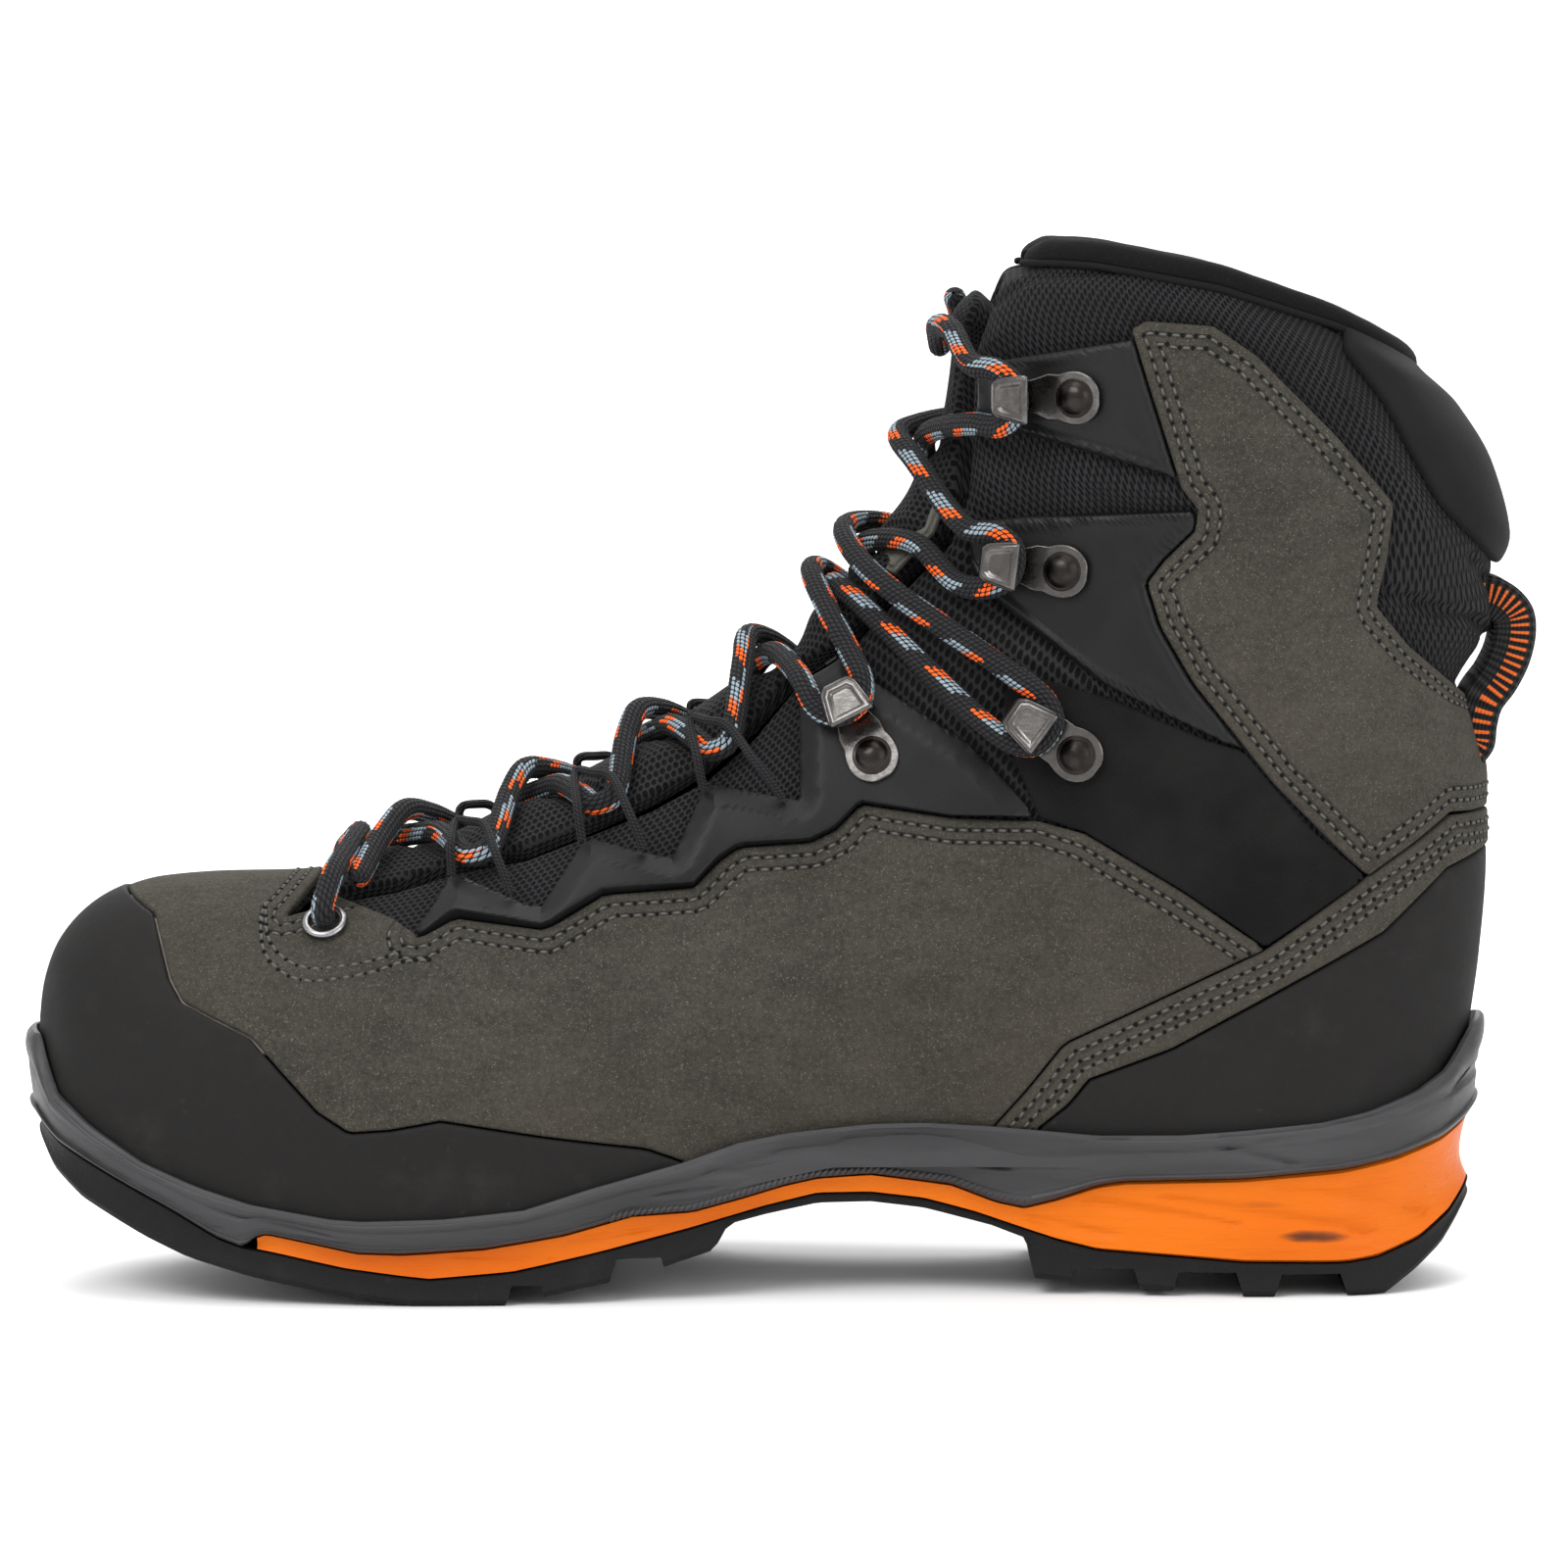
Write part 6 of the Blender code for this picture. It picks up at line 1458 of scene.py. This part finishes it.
def build_frame():
    """The moulded cup round the foot, whose inner wall follows the upper."""
    def bottom(x):
        behind = smoothstep(x, -105.2, -103.4)
        return sole_top(x) + FOAM_LIFT + (foam_top(x) - sole_top(x)) * behind

    rim = lambda x: height(FRAME_TOP, x)
    skin = sheet_tree(np.full(len(COARSE), 0.75))
    top = rim(SOLE_X)
    seat = seat_height(SOLE_X)
    levels = [seat + (top - seat) * t for t in (0.25, 0.5, 0.75, 1.0)]
    wall_in = reach_ring(skin, levels, GAP + 0.05)
    wall_out = reach_ring(skin, levels, GAP + 1.7)
    lip = reach_ring(skin, levels, GAP + 1.0)
    seat_ring = wall_in.copy()
    seat_ring[:, :, 2] = seat_height(seat_ring[:, :, 0])
    profile = np.array(FRAME_PROFILE)
    shell = [ring(3.2, bottom)]
    for t in np.unique(np.concatenate([profile[:, 0], np.linspace(0.2, 0.62, 24)])):
        level = mix(bottom, rim, t)
        inset = np.interp(t, profile[:, 0], profile[:, 1])
        bead = 0.28 * smoothstep(t, 0.05, 0.08) * (1 - smoothstep(t, 0.13, 0.15))
        inset = inset + sunk(SOLE_X, level(SOLE_X), FRAME_GROOVES) + bead * 0.5
        shell.append(ring(inset, level))
    widest = shell[-1]
    for w in np.linspace(0.0, 1.0, 17)[1:]:
        part = widest * (1 - w) + wall_out * w
        part[:, :, :2] += (wall_out - wall_in)[:, :, :2] * 0.4 * math.sin(math.pi * w)
        part[:, :, 2] -= 0.8 * w ** 5
        deep = sunk(part[:, :, 0], part[:, :, 2], FRAME_GROOVES) * (1 - w)
        part[:, :, 1] -= np.sign(part[:, :, 1]) * deep
        shell.append(part)
    shell += [lip, wall_in, seat_ring]
    ring_solid("midsole_frame", shell, "frame", sharp=40.0)
    cord_line(shell)


def build_footbed():
    """The removable footbed, which follows the lining all round."""
    lining = sheet_tree(LINING[0] - COLLAR_PAD * smoothstep(COARSE[:, Z], 120.0, 165.0) - 0.4)
    flat = seat_height(SOLE_X)
    footbed = []
    for clearance, lift in FOOTBED_RINGS:
        shape = reach_ring(lining, [flat + 6.5], clearance)
        shape[:, :, 2] = (flat + lift)[:, None]
        footbed.append(shape)
    made = ring_solid("footbed", footbed, "footbed", "footbed", sharp=60.0)


def cord_line(shell):
    """Slanting ticks on the frame's lower bead, like a rope's lay."""
    bead = shell[5]
    path = np.vstack([bead[:, 0], bead[::-1, 1]])
    length = arc_length(path)
    marks = np.arange(0.8, length[-1] - 0.8, 1.35)
    centre = at_marks(marks, length, path)
    ahead = at_marks(marks + 0.5, length, path)
    arch = (centre[:, 0] > -30.0) & (centre[:, 0] < 58.0)
    centre, ahead = centre[arch], ahead[arch]
    along = unit(ahead - centre)
    out = unit(np.cross(along, [0.0, 0.0, 1.0]))
    out[(out[:, :2] * centre[:, :2]).sum(1) < 0] *= -1
    up = np.cross(out, along)
    up[up[:, 2] < 0] *= -1
    lay = along * 0.75 + up * 0.65
    steps, sides = 4, 6
    points = []
    for t in np.linspace(-1, 1, steps):
        radius = 0.42 * math.sqrt(max(1 - 0.8 * t * t, 0.1))
        for angle in np.arange(sides) * 2 * math.pi / sides:
            lift = 0.02 - 0.25 * t * t + math.sin(angle) * radius * 0.6
            points.append(centre + lay * t * 0.95 + out * lift
                          + np.cross(out, lay) * math.cos(angle) * radius)
    repeated("frame_bead", points, steps, sides, "frame")


def cut_tread(outsole):
    """Cuts the grooves between the lugs, wider at the ground."""
    points, faces = [], []
    for x0, x1, roof, half in TREAD_GROOVES:
        first = len(points)
        wide0, wide1, knee = x0 - 1.6, x1 + 1.6, max(roof - 5.0, -4)
        for y in (-half, half):
            points += [(wide0, y, -9.0), (wide1, y, -9.0), (wide1, y, knee), (x1, y, roof),
                       (x0, y, roof), (wide0, y, knee)]
        faces += [tuple(first + k for k in range(6)), tuple(first + 11 - k for k in range(6))]
        for k in range(6):
            j = (k + 1) % 6
            faces.append((first + j, first + k, first + 6 + k, first + 6 + j))
    mesh = bpy.data.meshes.new("groove_cutter")
    mesh.from_pydata([tuple(p) for p in to_metres(points)], [], faces)
    close_up(mesh)
    cutter = bpy.data.objects.new("groove_cutter", mesh)
    bpy.context.scene.collection.objects.link(cutter)
    groove = outsole.modifiers.new("grooves", "BOOLEAN")
    groove.operation = "DIFFERENCE"
    groove.solver = "EXACT"
    groove.object = cutter
    bpy.context.view_layer.update()
    shown = outsole.evaluated_get(bpy.context.evaluated_depsgraph_get())
    mesh = bpy.data.meshes.new_from_object(shown)
    outsole.modifiers.clear()
    outsole.data = mesh
    mesh.set_sharp_from_angle(angle=math.radians(28))
    bpy.data.objects.remove(cutter)


# ---------------------------------------------------------------- hooks, eyelets, lace
HOOKS = {                     # head centre x, z and rivet x, z in side view
    1: ((55.5, 187.0), (66.7, 186.5)), 2: ((53.4, 151.7), (64.2, 150.4)),
    3: ((58.8, 118.2), (66.6, 112.6)), 4: ((19.6, 121.1), (24.6, 111.4))}
EYELET = (-88.9, 77.4)
HOOK_THICKNESS = 1.0
HOOK_BEND = [                 # along the hook from its rivet, height, width, past the plate
    (6.0, 0.5, 9.6), (9.0, 0.5, 7.4), (11.5, 0.5, 6.0), (13.5, 0.6, 5.2), (15.0, 1.1, 4.6),
    (15.8, 2.4, 4.4), (16.0, 4.6, 4.4), (15.7, 6.4, 5.4), (15.0, 7.4, 6.8), (14.0, 8.0, 8.0),
    (12.0, 8.4, 8.8), (10.0, 8.7, 9.5), (8.4, 8.9, 10.0), (7.2, 9.0, 10.2)]


def strap(profile):
    """Rectangular sections of varying width along a profile in the local XZ plane."""
    path = np.array(profile)[:, :2]
    tangent = unit(np.gradient(path, axis=0))
    points = []
    for (px, pz), (tx, tz), row in zip(path, tangent, profile):
        for side, lift in ((-1, -0.5), (1, -0.5), (1, 0.5), (-1, 0.5)):
            off = HOOK_THICKNESS * lift
            points.append((px - tz * off, side * row[2] * 0.5, pz + tx * off))
    faces = [*tube_faces(len(profile), 4), (0, 1, 2, 3), tuple(range(len(points) - 4, len(points)))]
    return points, faces


def surface_matrix(x, z, side, toward, lift):
    """Frame on the skin: local +X points to another side-view point, +Z outwards."""
    s, v = skin_at(x, z, side)
    place, normal = skin_frame(s, v)
    s2, v2 = skin_at(toward[0], toward[1], side)
    along = skin_point(s2, v2) - place
    along -= normal * (along @ normal)
    along /= np.linalg.norm(along)
    across = np.cross(normal, along)
    origin = to_metres([place + normal * lift])[0]
    matrix = Matrix.Identity(4)
    for k in range(3):
        matrix[k] = (along[k], across[k], normal[k], origin[k])
    return matrix


def lifted(s, v, lift):
    place, normal = skin_frame(s, v)
    return place + normal * lift


LACE_STOPS = [                # side-view place of each turn, its radius and height above the skin
    ("tab", (-82.5, 83.0), 0.0, 3.0),
    ("loop", (-57.0, 89.8), 3.2, 3.4), ("loop", (-31.0, 100.8), 3.2, 3.4),
    ("loop", (-7.0, 112.6), 3.2, 3.4),
    ("hook", (19.6, 121.1), 5.5, 6.3), ("hook", (58.8, 118.2), 5.5, 5.9),
    ("hook", (53.4, 151.7), 5.5, 5.9), ("hook", (55.5, 187.0), 5.9, 6.3)]
LACE_LOW, LACE_HIGH = 3.1, 8.6
CROSSING_SAG = {6: 1.5}       # how many section lines a crossing lies below the direct way


def lace_turn(index, side):
    """The lace's points round one loop or hook, from the toe side to the top side."""
    kind, (x, z), radius, lift = LACE_STOPS[index]
    s, v = skin_at(x, z, side)
    place, normal = skin_frame(s, v)
    if kind == "tab":
        return [place + normal * lift]
    if kind == "hook":
        rivet = HOOKS[len(LACE_STOPS) - index][1]
        s2, v2 = skin_at(*rivet, side)
        outward = skin_point(s2, v2) - place
    else:
        outward = skin_point(s, v * 1.15) - place
    outward -= normal * (outward @ normal)
    outward /= np.linalg.norm(outward)
    upward = np.cross(normal, outward)
    top = skin_point(min(s + 0.5, TOP), v) - place
    if upward @ top < 0:
        upward = -upward
    centre = place - outward * (2.2 if kind == "hook" else 0.5)
    arc = [centre + radius * (outward * math.cos(a) + upward * math.sin(a)) + normal * lift
           for a in np.radians([-80, -30, 30, 80])]
    if kind == "hook":
        past_neck = centre - outward * 7.0 + normal * (lift - 1.2)
        beside = upward * (radius + 0.3)
        arc = [past_neck - beside] + arc + [past_neck + beside]
    return arc


def lace_route(start_side, over_first):
    """One half of the lace, from its eyelet tab to its last hook."""
    side = start_side
    route = list(lace_turn(0, side))
    for index in range(1, len(LACE_STOPS)):
        turn = lace_turn(index, -side)
        s0, v0 = skin_at(route[-1][0], route[-1][2], side)
        s1, v1 = skin_at(turn[0][0], turn[0][2], -side)
        over = (index % 2 == 1) == over_first
        lifts = (6.4, LACE_HIGH, 6.4) if over else (LACE_LOW,) * 3
        crossing = abs(v0) / (abs(v0) + abs(v1))
        for step, sag, lift in zip((-0.2, 0.0, 0.2), (1.0, 0.9, 0.1), lifts):
            t = crossing + step
            s = s0 + (s1 - s0) * t - sag * CROSSING_SAG.get(index, 0.0)
            route.append(lifted(s, v0 + (v1 - v0) * t, lift))
        route += turn
        side = -side
    return route


CORD_LOOPS = [                # foot, tip, tip, foot of each thin loop in side view
    ((-62.4, 85.6), (-60.0, 91.4), (-54.6, 91.4), (-50.0, 82.8)),
    ((-35.4, 93.0), (-34.4, 102.0), (-28.0, 102.0), (-23.0, 92.2)),
    ((-10.4, 103.8), (-10.4, 113.8), (-3.8, 113.8), (6.0, 102.6))]


def between(a, b, t):
    return a[0] + (b[0] - a[0]) * t, a[1] + (b[1] - a[1]) * t


def hook_shape():
    """A hook's plate, neck and faceted head, about its rivet."""
    profile = [(-5.45, 0.5, 2.4)]
    for x in np.linspace(-5.0, 3.5, 12):
        across = 5.55 ** 2 - (0.8 * x) ** 2 - 0.3 * max(-x, 0) ** 2
        profile.append((x, 0.5, 2 * math.sqrt(max(across, 1.5))))
    points, faces = strap(profile + HOOK_BEND)
    # the head's raised rim and sunk middle
    outline = [(6.6, 5.0), (13.6, 3.7), (15.0, 2.6)]
    outline += [(x, -y) for x, y in outline[::-1]]
    middle, first, count = 10.8, len(points), len(outline)
    steps = ((1.0, -0.3), (1.0, 0.3), (0.9, 0.75), (0.72, 0.75), (0.6, 0.3))
    for scale, lift in steps:
        for x, y in outline:
            tilt = 9.55 - 0.16 * (x - 7.2)
            points.append((middle + (x - middle) * scale, y * scale, tilt + lift))
    head = [*tube_faces(len(steps), count), tuple(range(count)),
            tuple(range((len(steps) - 1) * count, len(steps) * count))[::-1]]
    faces += [tuple(first + k for k in face) for face in head]
    return points, faces


def placed(name, points, faces, matrix, look, node, sharp=30.0, bevel=0.0):
    """A piece about its own origin in millimetres, put on the skin by a matrix."""
    grid = np.array(matrix)
    places = np.asarray(points, float) * 0.001 @ grid[:3, :3].T + grid[:3, 3]
    made = add_mesh(name, places, faces, look, "boot", (node,), sharp=sharp, in_metres=True)
    close_up(made.data)
    if bevel:
        rim = made.modifiers.new("rim", "BEVEL")
        rim.width = bevel
        rim.segments = 2
        rim.limit_method = "ANGLE"
        rim.angle_limit = math.radians(38)
    return made


def turned(profile, steps):
    """Points and faces of a turned piece from (radius, height) rows."""
    angles = np.arange(steps) * 2 * math.pi / steps
    points = [(r * math.cos(a), r * math.sin(a), z) for r, z in profile for a in angles]
    faces = []
    closed = profile[0][0] > 0.01
    count = len(profile)
    for i in range(count if closed else count - 1):
        for k in range(steps):
            a, b = i * steps + k, i * steps + (k + 1) % steps
            j = ((i + 1) % count - i) * steps
            faces.append((a, b, b + j, a + j))
    return np.array(points), faces


RIVET = [                     # radius, height
    (0.01, 2.95), (0.8, 2.9), (1.6, 2.7), (2.3, 2.4), (2.9, 1.95), (3.25, 1.5), (3.45, 1.35),
    (3.9, 1.3), (4.1, 1.15), (4.1, 0.9), (0.01, 0.9)]
EYELET_RING = [
    (3.2, 0.7), (3.25, 1.15), (3.5, 1.35), (3.9, 1.38), (4.3, 1.25), (4.6, 1.0), (4.75, 0.6),
    (4.6, 0.4), (3.3, 0.3)]


def build_hardware():
    points, faces = hook_shape()
    rivet_points, rivet_faces = turned(RIVET, 36)
    ring_points, ring_faces = turned(EYELET_RING, 40)
    for word, side in (("medial", -1), ("lateral", 1)):
        for number, (head, rivet) in HOOKS.items():
            tag = "_%s_%d" % (word, number)
            matrix = surface_matrix(rivet[0], rivet[1], side, head, 1.5 if number < 4 else 1.9)
            placed("hook" + tag, points, faces, matrix, "hook", "hook" + tag, bevel=0.0003)
            placed("rivet" + tag, rivet_points, rivet_faces, matrix, "rivet", "rivet" + tag)
        matrix = surface_matrix(EYELET[0], EYELET[1], side, (-70.0, 70.0), 0.4)
        name = "eyelet_" + word
        placed(name, ring_points, ring_faces, matrix, "eyelet", name, sharp=60)


def resample(route, spacing):
    """Even points along a route."""
    dense = spline(route, 12)
    length = arc_length(dense)
    count = max(int(round(length[-1] / spacing)), 2)
    return at_marks(np.linspace(0, length[-1], count + 1), length, dense)


def cord_mesh(name, route, radius, look, node, threads, spacing=0.6, sides=28, braid=0.0,
              grain=1.15, twist=0.0, ends=True):
    """Round cord along a route; its map holds the length in mm and the threads gone round."""
    path = resample(route, spacing)
    length = arc_length(path)
    tangent = np.gradient(path, axis=0)
    for _ in range(3):
        tangent[1:-1] = (tangent[:-2] + 2 * tangent[1:-1] + tangent[2:]) / 4
    tangent = unit(tangent)
    normal = np.zeros_like(path)
    start = np.cross(tangent[0], [0.3, 0.2, 0.9])
    normal[0] = start / np.linalg.norm(start)
    for i in range(1, len(path)):
        turned_on = normal[i - 1] - tangent[i] * (normal[i - 1] @ tangent[i])
        normal[i] = turned_on / np.linalg.norm(turned_on)
    across = np.cross(tangent, normal)
    angle = np.arange(sides + 1) / sides
    theta = angle * 2 * math.pi
    u = np.repeat(length[:, None], sides + 1, axis=1)
    v = threads * angle[None, :] + twist * u
    u_wave = np.abs(np.sin((u + 0.5 * grain * v) * math.pi / grain)) ** 0.6
    v_wave = np.abs(np.sin(v * math.pi)) ** 0.6
    shape = radius * (1.0 - braid + braid * 1.6 * u_wave * v_wave)
    if ends:
        cap = np.minimum(length, length[-1] - length)
        near_end = np.clip(cap / radius * (2 - cap / radius), 0.02, 1.0)
        shape = shape * np.sqrt(np.where(cap < radius, near_end, 1.0))[:, None]
    points = (path[:, None] + normal[:, None] * (np.cos(theta)[None, :] * shape)[..., None]
              + across[:, None] * (np.sin(theta)[None, :] * shape)[..., None])
    # the last column meets the first, so that the surface is closed all round
    width = sides + 1
    a = (np.arange(len(path) - 1)[:, None] * width + np.arange(sides)).ravel()
    quads = np.stack([a, a + 1, a + width + 1, a + width], axis=1)
    corner_map = np.stack([u.ravel(), v.ravel()], axis=1)[quads].reshape(-1, 2)
    weld = np.arange(len(path) * width)
    weld[sides::width] = weld[0::width]
    points = points.reshape(-1, 3)
    quads = weld[quads]
    used, quads = np.unique(quads, return_inverse=True)
    return add_mesh(name, points[used], quads.reshape(-1, 4), look, "boot",
                    (node,) if node else (), sharp=180.0, maps=corner_map)


def build_lace():
    eyelets = []
    for side in (-1, 1):
        s, v = skin_at(*EYELET, side)
        eyelets.append([lifted(s, v, lift) for lift in (0.2, 0.7, 2.4, 4.4)]
                       + [lifted(s + 0.15, v * 0.78, 6.6), lifted(s + 0.35, v * 0.4, 5.6)])
    middle = [lifted(skin_at(-82.0, 84.0, 1)[0], 0.0, 6.0)]
    pieces = [("lace_bar", eyelets[0] + middle + eyelets[1][::-1])]
    end_a = [lifted(28.4, 0.11, 3.6), lifted(29.1, 0.06, 3.3)]
    end_b = [lifted(27.9, -0.08, 3.4), lifted(27.8, -0.02, 3.2), lifted(27.3, 0.035, 3.2),
             lifted(26.5, 0.06, 3.3)]
    pieces += [("lace_strand_a", lace_route(-1, True) + end_a),
               ("lace_strand_b", lace_route(1, False) + end_b)]
    for name, route in pieces:
        cord_mesh(name, route, LACE_RADIUS * 0.985, "lace", name, 14, spacing=0.5, braid=0.07,
                  twist=0.012)


def build_loops():
    for word, side in (("medial", -1), ("lateral", 1)):
        for number, (foot_a, tip_a, tip_b, foot_b) in enumerate(CORD_LOOPS, start=1):
            stops = [(*foot_a, 2.2), (*between(foot_a, tip_a, 0.35), 6.9), (*tip_a, 7.3),
                     (*between(tip_a, tip_b, 0.5), 7.6), (*tip_b, 7.3),
                     (*between(foot_b, tip_b, 0.45), 6.9), (*foot_b, 2.2)]
            route = [lifted(*skin_at(x, z, side), lift) for x, z, lift in stops]
            name = "cord_loop_%s_%d" % (word, number)
            cord_mesh(name, route, LOOP_RADIUS, "loop", name, 8, spacing=0.4, sides=16, braid=0.08,
                      grain=0.8, ends=False)


# ---------------------------------------------------------------- collar, piping, pull loop
PULL_LOOP = [                 # side-view line just under the loop's outer face
    (150.0, 147.8), (155.6, 147.0), (159.5, 144.6), (162.0, 141.2), (162.6, 136.8),
    (161.4, 130.6), (158.6, 124.8), (155.6, 120.6), (154.6, 117.0), (154.0, 112.5),
    (152.0, 109.5)]
PULL_SECTION = [              # its section: across and out
    (-10, -7.2), (-9.2, -7.8), (9.2, -7.8), (10, -7.2), (10.4, -3.4), (10, 0.2), (9.2, 0.85),
    (-9.2, 0.85), (-10, 0.2), (-10.4, -3.4)]


def capped(rings, sides, turn=1):
    """Faces of a tube closed at both ends; turn is -1 where the last ring runs backwards."""
    last = tuple(range((rings - 1) * sides, rings * sides))[::turn]
    return [*tube_faces(rings, sides), tuple(range(sides)), last]


def build_collar():
    foot = abs(skin_at(48.5, 207.0, -1)[1])
    centre, outward = [], []
    for v in np.concatenate([np.linspace(-foot, -1.0, 50), np.linspace(1.0, foot, 50)[1:]]):
        place, normal = skin_frame(TOP, v)
        flat = np.array([normal[0], normal[1], 0.0])
        centre.append(place - flat * 5.3 + np.array([0.0, 0.0, collar_rise(TOP, v)]))
        outward.append(flat / np.linalg.norm(flat))
    sides, rows = 20, []
    for i, (middle, out) in enumerate(zip(centre, outward)):
        end = min(i, len(centre) - 1 - i) / 4.0
        size = math.sqrt(min(1.0, 0.1 + 0.9 * end))
        pucker = 0.18 * math.sin(i * 1.7)
        for a in np.arange(sides) * 2 * math.pi / sides:
            up = math.sin(a)
            up = up * 1.5 if up < 0 else up * (1.0 + 0.05 * pucker) * 4.0
            rows.append(middle + out * math.cos(a) * 3.9 * size + (0.0, 0.0, 0.6 + up * size))
    rim = add_mesh("collar_roll", np.array(rows), capped(len(centre), sides), "collar",
                   replaces=("collar_roll",), sharp=60)
    close_up(rim.data)
    edge_line = [middle + out * 3.7 - (0.0, 0.0, 0.6) for middle, out in zip(centre, outward)]
    cord_mesh("collar_piping", edge_line[1:-1], 0.75, "piping", None, 6, spacing=1.2, sides=10)


def build_pull_loop():
    path = np.array(spline([(x, z, 0.0) for x, z in PULL_LOOP], 10))[:, :2]
    tangent = unit(np.gradient(path, axis=0))
    points, maps = [], []
    for (x, z), (tx, tz), along in zip(path, tangent, arc_length(path)):
        rib = 1.0 + 0.12 * math.sin(2 * math.pi * along / 1.9)
        for y, lift in PULL_SECTION:
            points.append((x - tz * lift, y * (0.97 + 0.03 * rib), z + tx * lift))
            maps.append((along, lift))
    add_mesh("pull_loop", points, capped(len(path), len(PULL_SECTION), -1), "webbing",
             replaces=("pull_loop",), sharp=35, maps=maps)


# ---------------------------------------------------------------- hidden pieces, stage, camera
WORLD_LIGHT = 0.9
LIGHT_AIM = Vector((0, 0, 0.1))
LIGHTS = [                    # name, place in metres, size, power in watts
    ("key", (-0.9, -1.3, 1.5), (1.3, 1.0), 26.0), ("fill", (1.3, -1.1, 0.7), (1.0, 1.0), 9.0),
    ("back", (0.3, 1.5, 1.3), (1.6, 0.8), 16.0), ("above", (0.0, 0.0, 1.8), (1.4, 1.4), 14.0)]
CAMERA_AIM = (0.0008, 0.0, 0.1038)
CAMERA_RISE = 4.5             # degrees above level
CAMERA_AWAY = 1.7
CAMERA_LENS = 185.0


def build_hidden():
    """The pieces inside the boot keep their CAD shape and take a look of their own."""
    for name, look in (("insole_board", "board"), ("shank", "shank"), ("toe_puff", "stiffener"),
                       ("heel_counter", "stiffener")):
        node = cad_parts[name]
        node.data.materials.clear()
        node.data.materials.append(LOOKS[look])


def soft_light(name, place, size, power):
    light = bpy.data.lights.new(name, "AREA")
    light.shape = "RECTANGLE"
    light.size, light.size_y = size
    light.energy = power
    made = bpy.data.objects.new(name, light)
    made.location = place
    made.rotation_euler = (LIGHT_AIM - Vector(place)).to_track_quat("-Z", "Y").to_euler()
    bpy.context.scene.collection.objects.link(made)


def build_stage():
    scene = bpy.context.scene
    world = bpy.data.worlds.new("white_room")
    world.use_nodes = True
    world.node_tree.nodes["Background"].inputs[0].default_value = (1, 1, 1, 1)
    world.node_tree.nodes["Background"].inputs[1].default_value = WORLD_LIGHT
    scene.world = world
    scene.view_settings.view_transform = "Standard"
    mesh = bpy.data.meshes.new("floor")
    rows = [(-5.0, 0.0), (1.4, 0.0)]
    rows += [(1.4 + math.sin(a), 1.0 - math.cos(a)) for a in np.linspace(0, math.pi / 2, 25)[1:]]
    rows.append((2.4, 4.0))
    points = [(x, y, z) for y, z in rows for x in (-5.0, 5.0)]
    faces = [(2 * k, 2 * k + 1, 2 * k + 3, 2 * k + 2) for k in range(len(rows) - 1)]
    mesh.from_pydata(points, [], faces)
    mesh.polygons.foreach_set("use_smooth", np.ones(len(rows) - 1, bool))
    floor = Look("pale_floor", 0.6)
    tone = floor.noise(3.0, 2.0)
    mesh.materials.append(floor.finish(floor.mix(tone, (0.9, 0.9, 0.9), (0.93, 0.93, 0.93))))
    made = bpy.data.objects.new("floor", mesh)
    scene.collection.objects.link(made)
    for light in LIGHTS:
        soft_light(*light)
    camera_data = bpy.data.cameras.new("camera")
    camera_data.sensor_width = 36.0
    camera_data.lens = CAMERA_LENS
    camera = bpy.data.objects.new("camera", camera_data)
    scene.collection.objects.link(camera)
    aim = Vector(CAMERA_AIM)
    rise = math.radians(CAMERA_RISE)
    camera.location = aim + Vector((0.0, -math.cos(rise), math.sin(rise))) * CAMERA_AWAY
    camera.rotation_euler = (aim - camera.location).to_track_quat("-Z", "Y").to_euler()
    scene.camera = camera


build_upper()
build_outsole()
build_foam()
build_frame()
build_footbed()
build_hardware()
build_loops()
build_lace()
build_collar()
build_pull_loop()
build_hidden()
build_stage()
